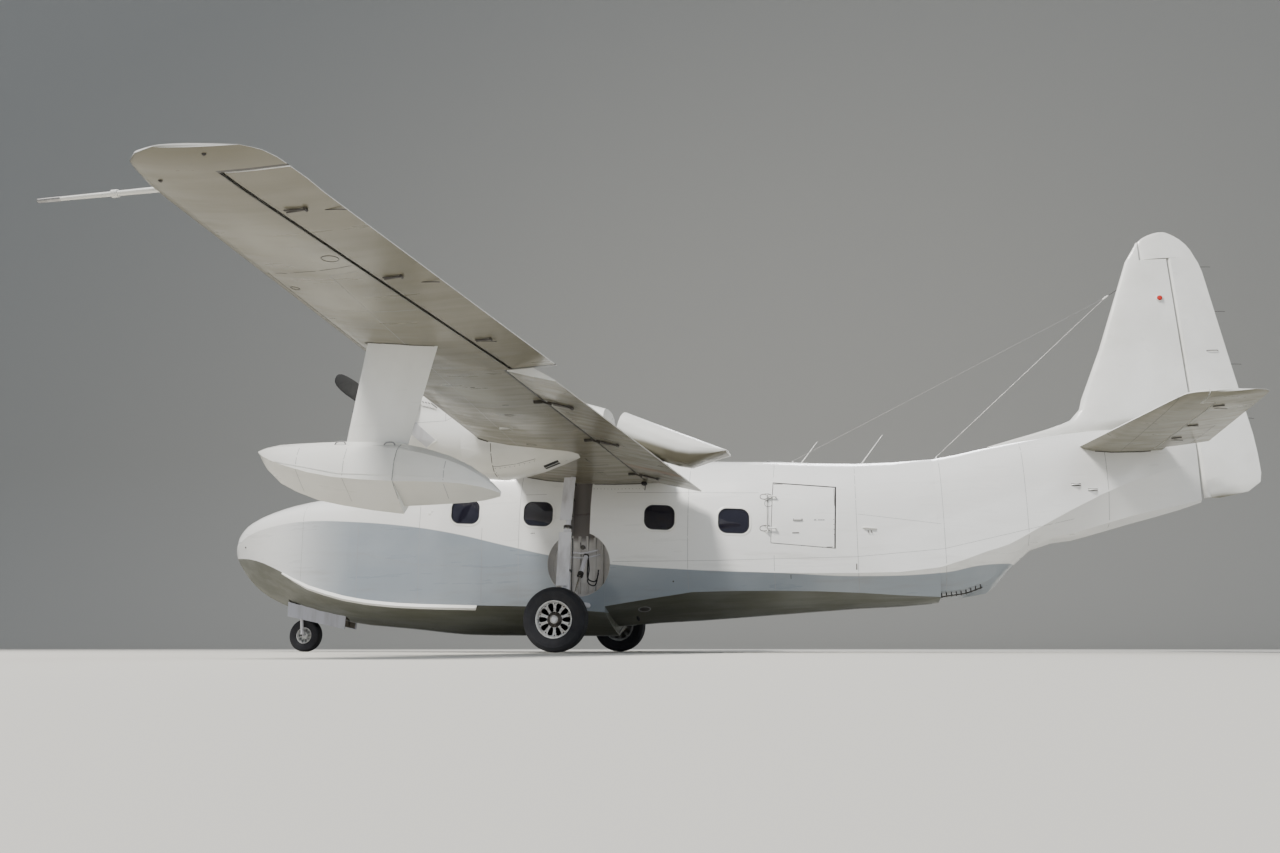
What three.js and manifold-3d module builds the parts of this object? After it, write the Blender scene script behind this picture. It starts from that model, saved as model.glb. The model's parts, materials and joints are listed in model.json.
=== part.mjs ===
// Twin-engined amphibious flying boat, parked on its wheels.
// Millimetres. X runs aft from the stem, Y to starboard, Z up from the ground.
// The port side is negative Y. The last group moves the stem so that the origin is
// on the ground under the middle of the whole machine.
import * as THREE from 'three';
import { mergeVertices } from 'three/addons/utils/BufferGeometryUtils.js';
import Module from 'manifold-3d';

const wasm = await Module();
wasm.setup();

// Driving dimensions
const overallLength = 14726;
const seam = 0.5;
const seat = 0.35;
const hullWall = 36;
const halfSpan = 10160;
const engineY = 2600;
const thrustZ = 3070;
const propRadius = 1300;
const floatY = 6850;
const flapDroop = THREE.MathUtils.degToRad(17);
const mainWheel = { x: 5690, y: 1886, radius: 410, width: 250 };
const noseWheel = { x: 1210, y: 0, radius: 243, width: 160 };

// Surface colours
const paint = {
  white: { color: 0xf1f2f1, roughness: 0.35, metalness: 0 },
  bottom: { color: 0xa9b3bd, roughness: 0.45, metalness: 0 },
  steel: { color: 0x8c8f92, roughness: 0.4, metalness: 0.9 },
  chrome: { color: 0xd4d7da, roughness: 0.1, metalness: 1 },
  iron: { color: 0x4a4744, roughness: 0.7, metalness: 0.6 },
  tyre: { color: 0x1f2022, roughness: 0.85, metalness: 0 },
  glass: { color: 0x30404c, roughness: 0.08, metalness: 0 },
  trim: { color: 0x6d675c, roughness: 0.8, metalness: 0 },
  seat: { color: 0x6b5a45, roughness: 0.75, metalness: 0 },
};

const aircraft = new THREE.Group();
aircraft.position.x = -overallLength / 2;

function place(name, geometry, finish, parent = aircraft) {
  geometry.computeVertexNormals();
  const mesh = new THREE.Mesh(geometry, new THREE.MeshStandardMaterial(finish));
  mesh.name = name;
  parent.add(mesh);
  return mesh;
}

// Solids for joining and cutting
function solid(geometry) {
  const bare = geometry.clone();
  bare.deleteAttribute('normal');
  bare.deleteAttribute('uv');
  const merged = mergeVertices(bare, 1e-3);
  const index = merged.index ? Uint32Array.from(merged.index.array) : null;
  const mesh = new wasm.Mesh({
    numProp: 3,
    vertProperties: Float32Array.from(merged.attributes.position.array),
    triVerts: index,
  });
  return new wasm.Manifold(mesh);
}

function geometryOf(manifold) {
  const mesh = manifold.getMesh();
  const geometry = new THREE.BufferGeometry();
  geometry.setAttribute('position', new THREE.BufferAttribute(mesh.vertProperties, 3));
  geometry.setIndex(new THREE.BufferAttribute(mesh.triVerts, 1));
  return geometry;
}

function box(x0, x1, y0, y1, z0, z1) {
  const geometry = new THREE.BoxGeometry(x1 - x0, y1 - y0, z1 - z0);
  geometry.translate((x0 + x1) / 2, (y0 + y1) / 2, (z0 + z1) / 2);
  return geometry;
}

function boxSolid(...sides) {
  return solid(box(...sides));
}

// A rod or a tapered rod between two points
function rod(from, to, startRadius, endRadius = startRadius, sides = 12) {
  const a = new THREE.Vector3(...from);
  const b = new THREE.Vector3(...to);
  const run = b.clone().sub(a);
  const geometry = new THREE.CylinderGeometry(endRadius, startRadius, run.length(), sides);
  const turn = new THREE.Quaternion().setFromUnitVectors(
    new THREE.Vector3(0, 1, 0),
    run.clone().normalize(),
  );
  geometry.applyQuaternion(turn);
  const middle = a.add(b).multiplyScalar(0.5);
  geometry.translate(middle.x, middle.y, middle.z);
  return geometry;
}

// A plate from an outline in one plane, thickened along the third axis
function plate(points, plane, low, high) {
  const shape = new THREE.Shape(points.map(([u, v]) => new THREE.Vector2(u, v)));
  const geometry = new THREE.ExtrudeGeometry(shape, { depth: high - low, bevelEnabled: false });
  geometry.translate(0, 0, low);
  if (plane === 'xz') {
    geometry.rotateX(Math.PI / 2);
    geometry.translate(0, high + low, 0);
  }
  if (plane === 'yz') {
    geometry.applyMatrix4(new THREE.Matrix4().set(0, 0, 1, 0, 1, 0, 0, 0, 0, 1, 0, 0, 0, 0, 0, 1));
  }
  return geometry;
}

// A closed skin over rings of equal length, with its two ends filled
function loft(rings, capAxes) {
  const count = rings[0].length;
  const points = rings.flat();
  const positions = new Float32Array(points.flat());
  const faces = [];
  for (let r = 0; r < rings.length - 1; r += 1) {
    for (let i = 0; i < count; i += 1) {
      const a = r * count + i;
      const b = r * count + ((i + 1) % count);
      faces.push(a, b, a + count, b, b + count, a + count);
    }
  }
  for (const [start, reversed] of [[0, true], [(rings.length - 1) * count, false]]) {
    const ring = points.slice(start, start + count);
    const flat = ring.map((p) => new THREE.Vector2(p[capAxes[0]], p[capAxes[1]]));
    const ringTurn = Math.sign(THREE.ShapeUtils.area(flat));
    for (const [a, b, c] of THREE.ShapeUtils.triangulateShape(flat, [])) {
      const turn = Math.sign(THREE.ShapeUtils.area([flat[a], flat[b], flat[c]]));
      const follows = (turn === ringTurn) !== reversed;
      faces.push(start + a, start + (follows ? b : c), start + (follows ? c : b));
    }
  }
  const geometry = new THREE.BufferGeometry();
  geometry.setAttribute('position', new THREE.BufferAttribute(positions, 3));
  geometry.setIndex(faces);
  return geometry;
}

// A loft is joined and cut as a solid whichever way its rings ran
function loftSolid(rings, capAxes) {
  const geometry = loft(rings, capAxes);
  const index = geometry.index.array;
  const p = geometry.attributes.position;
  let volume = 0;
  const v = [0, 1, 2].map(() => new THREE.Vector3());
  for (let i = 0; i < index.length; i += 3) {
    v.forEach((corner, k) => corner.fromBufferAttribute(p, index[i + k]));
    volume += v[0].dot(v[1].clone().cross(v[2]));
  }
  if (volume < 0) {
    for (let i = 0; i < index.length; i += 3) {
      [index[i], index[i + 1]] = [index[i + 1], index[i]];
    }
  }
  return solid(geometry);
}

const mirrorY = (points) => points.map(([x, y, z]) => [x, -y, z]);

// Hull
// Each station's section runs keel, chine, knuckle, rounded crown.
// Columns: x, keel height, chine half-beam, chine height, knuckle half-beam,
// knuckle height, crown height.
const bowTable = [
  [0, 1385, 60, 1420, 90, 1480, 1560],
  [60, 1270, 150, 1410, 200, 1540, 1740],
  [180, 1120, 255, 1400, 330, 1620, 1880],
  [400, 920, 390, 1380, 480, 1720, 2000],
  [750, 735, 560, 1300, 630, 1800, 2120],
  [1150, 590, 705, 1150, 740, 1860, 2215],
  [1650, 490, 830, 950, 850, 1880, 2290],
  [2250, 400, 900, 790, 925, 1850, 2350],
];
const cabinTable = [
  [2250, 400, 900, 790, 925, 1850, 2350],
  [2600, 370, 920, 730, 950, 1820, 2640],
  [2830, 350, 930, 705, 965, 1800, 2800],
  [3100, 325, 935, 680, 975, 1770, 2845],
  [3800, 255, 940, 650, 990, 1660, 2890],
  [4700, 240, 940, 625, 1000, 1450, 2925],
  [5400, 235, 935, 600, 1000, 1290, 2905],
  [6100, 230, 930, 530, 1000, 1180, 2850],
];
const aftTable = [
  [6100, 360, 930, 610, 1000, 1180, 2850],
  [7300, 440, 900, 790, 980, 1080, 2700],
  [8400, 515, 820, 800, 930, 1030, 2655],
  [9500, 590, 660, 770, 820, 1020, 2595],
  [10540, 655, 460, 715, 670, 1090, 2625],
];
const tailTable = [
  [10540, 700, 400, 790, 670, 1090, 2625],
  [11160, 775, 340, 930, 570, 1300, 2740],
  [11420, 1020, 335, 1120, 530, 1380, 2785],
  [11760, 1340, 310, 1400, 480, 1560, 2840],
  [12300, 1465, 260, 1540, 400, 1850, 2920],
  [13050, 1672, 180, 1760, 280, 2200, 2960],
  [13700, 1850, 90, 1900, 150, 2400, 2920],
  [13960, 1938, 40, 1965, 55, 2500, 2875],
];
const crownRoundness = 2.5;
const crownSteps = 8;
const hullX = { mainStep: 6100, rearStep: 10540 };
const beyondHull = { y: 1200, above: 3500, cutFrom: 300 };

// A table with extra rows between its own, on a smooth curve that never overshoots them.
// The rows named as before and after only set the slopes at the two ends.
function smoothed(table, parts, before = null, after = null) {
  const all = [...(before ? [before] : []), ...table, ...(after ? [after] : [])];
  const slopeAt = (i, k) => {
    const run = (a, b) => (all[b][k] - all[a][k]) / (all[b][0] - all[a][0]);
    if (i === 0) return run(0, 1);
    if (i === all.length - 1) return run(i - 1, i);
    const [left, right] = [run(i - 1, i), run(i, i + 1)];
    if (left * right <= 0) return 0;
    const h0 = all[i][0] - all[i - 1][0];
    const h1 = all[i + 1][0] - all[i][0];
    const mixed = (left * h1 + right * h0) / (h0 + h1);
    return Math.sign(mixed) * Math.min(Math.abs(mixed), 3 * Math.abs(left), 3 * Math.abs(right));
  };
  const first = before ? 1 : 0;
  const rows = [];
  for (let i = first; i < first + table.length - 1; i += 1) {
    const h = all[i + 1][0] - all[i][0];
    for (let p = 0; p < parts; p += 1) {
      const t = p / parts;
      rows.push(all[i].map((value, k) => {
        if (k === 0) return value + h * t;
        const next = all[i + 1][k];
        return value * (2 * t ** 3 - 3 * t ** 2 + 1) + next * (3 * t ** 2 - 2 * t ** 3)
          + slopeAt(i, k) * h * (t ** 3 - 2 * t ** 2 + t) + slopeAt(i + 1, k) * h * (t ** 3 - t ** 2);
      }));
    }
  }
  return [...rows, [...table.at(-1)]];
}
const foreStations = [
  ...smoothed(bowTable, 2).slice(0, -1),
  ...smoothed(cabinTable, 2, null, aftTable[1]),
];
const aftStations = smoothed(aftTable, 2, cabinTable.at(-2), tailTable[1]);
const tailStations = smoothed(tailTable, 2, aftTable.at(-2));

function between(table, x) {
  const last = table.length - 1;
  let i = table.findIndex((row) => row[0] >= x);
  i = Math.min(Math.max(i < 0 ? last : i, 1), last);
  const [a, b] = [table[i - 1], table[i]];
  const t = (x - a[0]) / (b[0] - a[0]);
  return a.map((value, k) => value + (b[k] - value) * t);
}

// The rounded upper part of a section, from the starboard knuckle over to port
function crownArc(x, half, low, high) {
  const arc = [];
  for (let i = 0; i <= 2 * crownSteps; i += 1) {
    const angle = (Math.PI * i) / (2 * crownSteps);
    const c = Math.cos(angle);
    const y = half * Math.sign(c) * Math.abs(c) ** (2 / crownRoundness);
    const z = low + (high - low) * Math.sin(angle) ** (2 / crownRoundness);
    arc.push([x, Math.abs(y) < 1e-6 ? 0 : y, z]);
  }
  return arc;
}

function upperRing([x, , chineHalf, chine, sideHalf, side, crown], inset = 0, lift = 0) {
  const half = chineHalf - inset;
  const floor = chine + lift;
  return [[x, half, floor], ...crownArc(x, sideHalf - inset, side, crown - inset), [x, -half, floor]];
}

function lowerRing([x, keel, chineHalf, chine]) {
  const flank = [x, chineHalf * 0.5, keel + (chine - keel) * 0.42];
  return [
    [x, 0, keel], flank, [x, chineHalf, chine - seam], [x, -chineHalf, chine - seam], ...mirrorY([flank]),
  ];
}

function tailRing(row, inset = 0) {
  const [x, keel, chineHalf, chine] = row;
  return [[x, 0, keel + inset * 1.5], ...upperRing(row, inset, inset * 0.4)];
}

const yz = [1, 2];
const xz = [0, 2];
const xy = [0, 1];
const upperTable = [
  ...foreStations, [hullX.mainStep + seam, ...aftStations[0].slice(1)], ...aftStations.slice(1),
];
const stretch = (table, x0, x1) => [
  between(table, x0), ...table.filter((row) => row[0] > x0 + 1 && row[0] < x1 - 1), between(table, x1),
];
const outerHull = loftSolid(upperTable.map((row) => upperRing(row)), yz);
const wholeTail = loftSolid(tailStations.map((row) => tailRing(row)), yz);
const growth = 0.5;
const grownHull = loftSolid(upperTable.map((row) => upperRing(row, -growth, -growth)), yz);
const grownTail = loftSolid(tailStations.map((row) => tailRing(row, -growth)), yz);

// Nose-wheel well, open at the bottom of the bow
const noseWell = { x0: 985, x1: 1945, half: 195, top: 1500 };
const noseWellSolid = boxSolid(noseWell.x0, noseWell.x1, -noseWell.half, noseWell.half, 0, noseWell.top);

// Main-wheel wells: a round pocket in each side, with a slot for the leg above it
const mainWell = { x: 5744, z: 1180, radius: 440, depthY: 700, slotHalf: 150, slotTop: 2330, sides: 40 };
const wellWall = 14;
function wellShape(side, grow) {
  const inner = side * (mainWell.depthY - grow);
  const outer = side * beyondHull.y;
  const [y0, y1] = side > 0 ? [inner, outer] : [outer, inner];
  const round = solid(rod(
    [mainWell.x, inner, mainWell.z], [mainWell.x, outer, mainWell.z],
    mainWell.radius + grow, mainWell.radius + grow, mainWell.sides,
  ));
  return round.add(boxSolid(
    mainWell.x - mainWell.slotHalf - grow, mainWell.x + mainWell.slotHalf + grow,
    y0, y1, mainWell.z, mainWell.slotTop + grow,
  ));
}

// Windows and the entrance, as prisms through the side
// Columns: x, height of the middle; the hull's datum falls towards the tail.
const portWindows = [[4080, 1940], [5150, 1885], [6860, 1800], [7870, 1730]];
const starboardWindows = [[4080, 1940], [5150, 1885], [6860, 1800], [7870, 1730], [8850, 1680]];
const windowSize = { length: 430, height: 355, corner: 70, tilt: -0.055 };
function throughSide(outline, side) {
  const [y0, y1] = side > 0 ? [beyondHull.cutFrom, beyondHull.y] : [-beyondHull.y, -beyondHull.cutFrom];
  return solid(plate(outline, 'xz', y0, y1));
}

function windowPrism([x, z], side) {
  const half = windowSize.length / 2;
  const rise = windowSize.height / 2;
  const c = windowSize.corner;
  const outline = [
    [-half + c, -rise], [half - c, -rise], [half, -rise + c], [half, rise - c],
    [half - c, rise], [-half + c, rise], [-half, rise - c], [-half, -rise + c],
  ].map(([u, v]) => [x + u, z + v + u * windowSize.tilt]);
  return throughSide(outline, side);
}

// An outline moved inward by a given distance at each corner
function insetOutline(points, distance) {
  const middle = points.reduce(([a, b], [u, v]) => [a + u / points.length, b + v / points.length], [0, 0]);
  return points.map(([u, v]) => {
    const reach = Math.hypot(u - middle[0], v - middle[1]);
    const keep = (reach - distance * 1.3) / reach;
    return [middle[0] + (u - middle[0]) * keep, middle[1] + (v - middle[1]) * keep];
  });
}

const cockpitSide = [[2650, 2030], [2850, 2340], [3110, 2345], [3290, 2300], [3150, 2045]];
const cockpitSidePrism = (side, inset = 0) => throughSide(insetOutline(cockpitSide, inset), side);

const windscreenPane = [[45, 2440], [620, 2280], [700, 2400], [560, 2650], [45, 2730]];
const windscreenDepth = [2180, 3000];
const windscreenPrism = (side, inset = 0) => {
  const outline = insetOutline(windscreenPane, inset).map(([y, z]) => [side * y, z]);
  return solid(plate(outline, 'yz', ...windscreenDepth));
};

const doorway = { x0: 8392, x1: 9241, tilt: -0.095, low: 1420, high: 2270, lean: 35 };
function doorPrism(gapFore, gapAft, gapEdge, gapTop) {
  const x0 = doorway.x0 + gapFore;
  const x1 = doorway.x1 - gapAft;
  const drop = (x1 - x0) * doorway.tilt;
  const outline = [
    [x0 - doorway.lean, doorway.low + gapEdge], [x1 - doorway.lean, doorway.low + drop + gapEdge],
    [x1, doorway.high + drop - gapTop], [x0, doorway.high - gapTop],
  ];
  return throughSide(outline, -1);
}

// The door hangs on straps outside its front edge, each between two lugs on the hull
const doorGap = { fore: 8, aft: 18, edge: 8, top: 16 };
const doorWall = 26;
const doorHinge = {
  x: 8322, low: [-930, 1620], high: [-830, 2060],
  radius: 11, knuckle: 24, lug: 24, arm: 122, lugDepth: 75, armDepth: 45,
};
const hingeUp = new THREE.Vector3(
  0, doorHinge.high[0] - doorHinge.low[0], doorHinge.high[1] - doorHinge.low[1],
).normalize();
const inboard = new THREE.Vector3(0, hingeUp.z, -hingeUp.y);
const hingePoint = ([y, z], aft, up, inward) => new THREE.Vector3(doorHinge.x + aft, y, z)
  .addScaledVector(hingeUp, up)
  .addScaledVector(inboard, inward)
  .toArray();
const doorHinges = [doorHinge.low, doorHinge.high];

// Shells
const cabinEnd = { fore: 2290, aft: hullX.rearStep };
const cabinSpace = (inset) => loftSolid(
  stretch(upperTable, cabinEnd.fore + hullWall, cabinEnd.aft + 1).map((row) => upperRing(row, inset, inset)),
  yz,
);
const innerCabin = cabinSpace(hullWall);
const fittedCabin = cabinSpace(hullWall + seam);
let cabinShell = outerHull
  .intersect(boxSolid(cabinEnd.fore, cabinEnd.aft - seam, -beyondHull.y, beyondHull.y, 0, beyondHull.above))
  .subtract(innerCabin);
for (const side of [-1, 1]) {
  const pocket = wellShape(side, wellWall).intersect(outerHull);
  cabinShell = cabinShell.add(pocket).subtract(wellShape(side, 0));
  for (const spot of side < 0 ? portWindows : starboardWindows) {
    cabinShell = cabinShell.subtract(windowPrism(spot, side));
  }
  cabinShell = cabinShell.subtract(cockpitSidePrism(side)).subtract(windscreenPrism(side));
}
cabinShell = cabinShell.subtract(doorPrism(0, 0, 0, 0));
const lugGap = seat;
for (const spot of doorHinges) {
  const { radius, knuckle, lug } = doorHinge;
  for (const end of [-1, 1]) {
    const near = hingePoint(spot, 0, end * (knuckle + lugGap), 0);
    const far = hingePoint(spot, 0, end * (knuckle + lug), 0);
    const middle = end * (knuckle + lug / 2);
    cabinShell = cabinShell
      .add(solid(rod(near, far, radius)))
      .add(solid(rod(
        hingePoint(spot, 0, middle, 0), hingePoint(spot, 0, middle, doorHinge.lugDepth), radius * 0.85,
      )));
  }
}
place('cabin_shell', geometryOf(cabinShell), paint.white);

const bowStations = stretch(foreStations, 0, cabinEnd.fore - seam);
const bow = loftSolid(bowStations.map((row) => upperRing(row)), yz).subtract(noseWellSolid);
place('bow', geometryOf(bow), paint.white);

const forebodyStations = [...foreStations.slice(0, -1), between(foreStations, hullX.mainStep - seam)];
const forebody = loftSolid(forebodyStations.map(lowerRing), yz).subtract(noseWellSolid);
place('forebody_bottom', geometryOf(forebody), paint.bottom);

const afterbodyStations = [
  between(aftStations, hullX.mainStep + 2 * seam),
  ...aftStations.slice(1, -1),
  between(aftStations, hullX.rearStep - seam),
];
const afterbody = loftSolid(afterbodyStations.map(lowerRing), yz);
place('afterbody_bottom', geometryOf(afterbody), paint.bottom);

const tailSpace = { x0: 10520, x1: 13300 };
const innerTail = loftSolid(
  stretch(tailStations, tailSpace.x0, tailSpace.x1).map((row) => tailRing(row, hullWall)), yz,
);
place('tail_cone', geometryOf(wholeTail.subtract(innerTail)), paint.white);

// Spray rails along the forward chines
const railSpan = { x0: 1150, full: 1700, x1: 4280 };
const railSize = { reach: 45, tuck: 12, depth: 70 };
for (const [side, label] of [[-1, 'left'], [1, 'right']]) {
  const rings = stretch(foreStations, railSpan.x0, railSpan.x1).map(([x, , half, chine]) => {
    const grow = Math.min(1, 0.4 + (0.6 * (x - railSpan.x0)) / (railSpan.full - railSpan.x0));
    const inner = half + seam;
    const ring = [
      [x, inner, chine], [x, inner + railSize.reach * grow, chine - railSize.depth * grow * 0.6],
      [x, inner + (railSize.reach - railSize.tuck) * grow, chine - railSize.depth * grow],
      [x, inner, chine - railSize.depth * grow * 0.3],
    ];
    return side < 0 ? mirrorY(ring) : ring;
  });
  place(`spray_rail_${label}`, geometryOf(loftSolid(rings, yz)), paint.white);
}

// Glass: each pane is the hull's own skin, cut a little smaller than its hole
const paneSkin = { outer: 8, inner: 18 };
const paneStations = stretch(upperTable, 2295, 3700);
const paneShell = loftSolid(paneStations.map((row) => upperRing(row, paneSkin.outer)), yz)
  .subtract(loftSolid(
    stretch(upperTable, 2280, 3720).map((row) => upperRing(row, paneSkin.inner, paneSkin.inner)), yz,
  ));
const paneGap = 0.4;
for (const [side, label] of [[-1, 'left'], [1, 'right']]) {
  place(`windscreen_${label}`, geometryOf(paneShell.intersect(windscreenPrism(side, paneGap))), paint.glass);
  const sidePane = paneShell.intersect(cockpitSidePrism(side, paneGap));
  place(`cockpit_window_${label}`, geometryOf(sidePane), paint.glass);
}

// Entrance door, on hinges outside its front edge
const doorSkin = loftSolid(stretch(upperTable, 8300, 9350).map((row) => upperRing(row)), yz)
  .subtract(loftSolid(stretch(upperTable, 8290, 9360).map((row) => upperRing(row, doorWall, doorWall)), yz));
let door = doorSkin.intersect(doorPrism(doorGap.fore, doorGap.aft, doorGap.edge, doorGap.top));
for (const spot of doorHinges) {
  const { radius, knuckle, arm, armDepth } = doorHinge;
  const foot = arm - radius;
  door = door
    .add(solid(rod(hingePoint(spot, 0, -knuckle, 0), hingePoint(spot, 0, knuckle, 0), radius)))
    .add(solid(rod(hingePoint(spot, 0, 0, 0), hingePoint(spot, arm, 0, 0), radius)))
    .add(solid(rod(hingePoint(spot, foot, 0, 0), hingePoint(spot, foot, 0, armDepth), radius)));
}
place('cabin_door', geometryOf(door), paint.white);

// Cabin floor, bulkheads and instrument panel
const floorHeight = (x) => 1200 - 0.055 * (x - 4000);
const floorSpan = { x0: 2660, x1: 9480, thickness: 25 };
const floorSlab = loftSolid([floorSpan.x0, floorSpan.x1].map((x) => {
  const top = floorHeight(x);
  const low = top - floorSpan.thickness;
  return [[x, 1100, top], [x, -1100, top], [x, -1100, low], [x, 1100, low]];
}), yz);
const wellCut = wellShape(-1, wellWall + seam).add(wellShape(1, wellWall + seam));
place('cabin_floor', geometryOf(floorSlab.intersect(fittedCabin).subtract(wellCut)), paint.trim);

const bulkheadAt = (x, thickness, top) => fittedCabin
  .intersect(boxSolid(x, x + thickness, -beyondHull.y, beyondHull.y, 0, top));
const panelAt = { x: floorSpan.x0 - 31, thickness: 30, top: 2150, half: 620, low: 1850, depth: 150 };
const panel = bulkheadAt(panelAt.x, panelAt.thickness, panelAt.top).add(boxSolid(
  panelAt.x + 5, panelAt.x + panelAt.depth, -panelAt.half, panelAt.half, panelAt.low, panelAt.top,
));
place('instrument_panel', geometryOf(panel), paint.trim);
place('aft_bulkhead', geometryOf(bulkheadAt(floorSpan.x1 + seam, 25, 3500)), paint.trim);

// Seats: a cushion and a raked back as one outline, on a floor rail
const seatOutline = [
  [0, 0], [430, 0], [500, 60], [640, 620], [560, 650],
  [430, 200], [400, 130], [0, 150], [-40, 100], [-40, 40],
];
function seatSolid(x, y, base, half, facing = 1) {
  const outline = seatOutline.map(([u, v]) => [x + u * facing, base + v]);
  return solid(plate(outline, 'xz', y - half, y + half));
}
const seatWidth = { pilot: 215, cabin: 220 };
const pilotSeatAt = { x: 3160, y: 400, z: 1600 };
const pilotColumn = { x0: 3300, x1: 3500, half: 80 };
const seatLeg = 210;
for (const [side, label] of [[-1, 'left'], [1, 'right']]) {
  const pilotY = side * pilotSeatAt.y;
  const column = boxSolid(
    pilotColumn.x0, pilotColumn.x1, pilotY - pilotColumn.half, pilotY + pilotColumn.half,
    floorHeight(pilotColumn.x0) + seat, pilotSeatAt.z + 1,
  );
  const pilotSeat = seatSolid(pilotSeatAt.x, pilotY, pilotSeatAt.z, seatWidth.pilot).add(column);
  place(`pilot_seat_${label}`, geometryOf(pilotSeat), paint.seat);
  const cabinY = side * 430;
  let row = null;
  for (const x of [4150, 4990, 6520, 7360]) {
    const base = floorHeight(x + 300) + seatLeg;
    const chair = seatSolid(x, cabinY, base, seatWidth.cabin)
      .add(boxSolid(x + 100, x + 360, cabinY - 60, cabinY + 60, floorHeight(x + 100) + 3, base + 1));
    row = row ? row.add(chair) : chair;
  }
  const rail = [4000, 7700].map((x) => {
    const z = floorHeight(x) + seat;
    return [[x, cabinY + 40, z], [x, cabinY + 40, z + 24], [x, cabinY - 40, z + 24], [x, cabinY - 40, z]];
  });
  place(`cabin_seats_${label}`, geometryOf(row.add(loftSolid(rail, yz))), paint.seat);
}

// Wing
// Columns: y, leading edge x and height, trailing edge x and height, thickness.
const wingStations = [
  [300, 4470, 2577, 7569, 2329, 470],
  [720, 4550, 2586, 7518, 2346, 462],
  [860, 4668, 2588, 7501, 2351, 459],
  [1040, 4765, 2592, 7479, 2359, 452],
  [1300, 4823, 2597, 7447, 2369, 440],
  [3100, 4943, 2633, 7226, 2440, 350],
  [6100, 5143, 2693, 6860, 2558, 235],
  ...smoothed([
    [9600, 5376, 2762, 6433, 2697, 118],
    [9960, 5425, 2780, 6392, 2713, 98],
    [10110, 5530, 2788, 6330, 2728, 66],
    [halfSpan, 5680, 2788, 6220, 2745, 24],
  ], 2),
];
// Columns: part of the chord, height above and depth below, as parts of the thickness.
const wingProfile = [
  [0.006, 0.12, 0.1], [0.025, 0.24, 0.18], [0.08, 0.42, 0.27], [0.2, 0.57, 0.36], [0.4, 0.6, 0.4],
  [0.55, 0.53, 0.36], [0.75, 0.33, 0.24], [1, 0.02, 0.02],
];
const tailProfile = [
  [0.03, 0.2, 0.2], [0.1, 0.36, 0.36], [0.25, 0.48, 0.48],
  [0.5, 0.46, 0.46], [0.75, 0.28, 0.28], [1, 0.03, 0.03],
];
function foilRing(profile, lead, trail, thickness, up) {
  const at = (s, h) => lead.map((value, k) => value + (trail[k] - value) * s + up[k] * h * thickness);
  return [
    [...lead], ...profile.map(([s, above]) => at(s, above)),
    ...[...profile].reverse().map(([s, , below]) => at(s, -below)),
  ];
}
const wingRing = ([y, x0, z0, x1, z1, thickness], side, grow = 0) => (
  foilRing(wingProfile, [x0 - grow, side * y, z0], [x1 + grow, side * y, z1], thickness + 2 * grow, [0, 0, 1])
);
const wingSolid = (side, grow = 0) => loftSolid(wingStations.map((row) => wingRing(row, side, grow)), xz);
const wingAt = (y) => between(wingStations, y);

// The point on the wing's lower skin under a given x
function wingUnder(x, y) {
  const [, x0, z0, x1, z1, thickness] = wingAt(y);
  const s = (x - x0) / (x1 - x0);
  const row = between([[0, 0, 0], ...wingProfile], s);
  return z0 + (z1 - z0) * s - row[2] * thickness;
}

const flapSpan = { y0: 1065, y1: 6090 };
const aileronSpan = { y0: 6130, y1: 9940 };
const hingeX = (y) => 6676 - (y - 950) * 0.059;
const aileronHingeX = (y) => 6436 - (y - 6120) * 0.1235;
const aileronNose = { fullness: 0.72, behind: 24, ahead: 5 };
const flapHinge = { drop: 20, stations: [1500, 3420, 5080], half: 10, reach: 95, cheek: 8 };
const jackPad = { x: 5650, y: 3900, half: 60, drop: 16 };
const controlGap = 12;
const rootCut = { x0: 7000, x1: 7700, low: 1500, high: 3500 };
const wingAft = 7800;
const hingePin = 9;
const slantGap = 0.8;

// A flat jacking and tie-down pad under each wing
function jackPadSolid(side) {
  const { x, y, half, drop } = jackPad;
  const skin = wingUnder(x, y);
  return boxSolid(x - half, x + half, side * y - half, side * y + half, skin - drop, skin + 40);
}

// An outline seen from above, cut through everything between two heights
const throughWing = [1500, 6200];
const throughTail = [2000, 3500];
function planPrism(outline, side, heights = throughWing) {
  return solid(plate(outline.map(([x, y]) => [x, side * y]), 'xy', ...heights));
}

// Nacelle
// Columns: x, top, bottom, half-width.
const nacelleStations = smoothed([
  [3665, 3305, 2835, 235],
  [3760, 3330, 2640, 285],
  [3960, 3365, 2480, 350],
  [4300, 3375, 2330, 400],
  [4760, 3370, 2180, 425],
  [5200, 3310, 2110, 425],
  [5700, 3190, 2200, 405],
  [6200, 3040, 2390, 375],
  [6540, 2935, 2480, 355],
], 2);
const cowlSplit = 4760;
const nacelleEnd = 6540;
const cowlFront = 3665;
const aroundNacelle = { x0: 3000, half: 600, low: 1500, high: 4000 };
const intakeMouth = { x0: 3600, x1: 3900, half: 150, low: 2640, high: 2790 };
const tailFairing = [
  [6625, 2915, 2500, 352],
  [7000, 2875, 2470, 345],
  [7400, 2835, 2455, 335],
  [7560, 2820, 2475, 330],
  [7955, 2775, 2745, 230],
];
function ovalRing([x, top, bottom, half], y, inset = 0) {
  const sides = 20;
  const ring = [];
  for (let i = 0; i < sides; i += 1) {
    const angle = (2 * Math.PI * (i + 0.5)) / sides;
    const [c, s] = [Math.cos(angle), Math.sin(angle)];
    const power = 2 / 2.6;
    ring.push([
      x,
      y + (half - inset) * Math.sign(c) * Math.abs(c) ** power,
      (top + bottom) / 2 + ((top - bottom) / 2 - inset) * Math.sign(s) * Math.abs(s) ** power,
    ]);
  }
  return ring;
}

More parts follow.
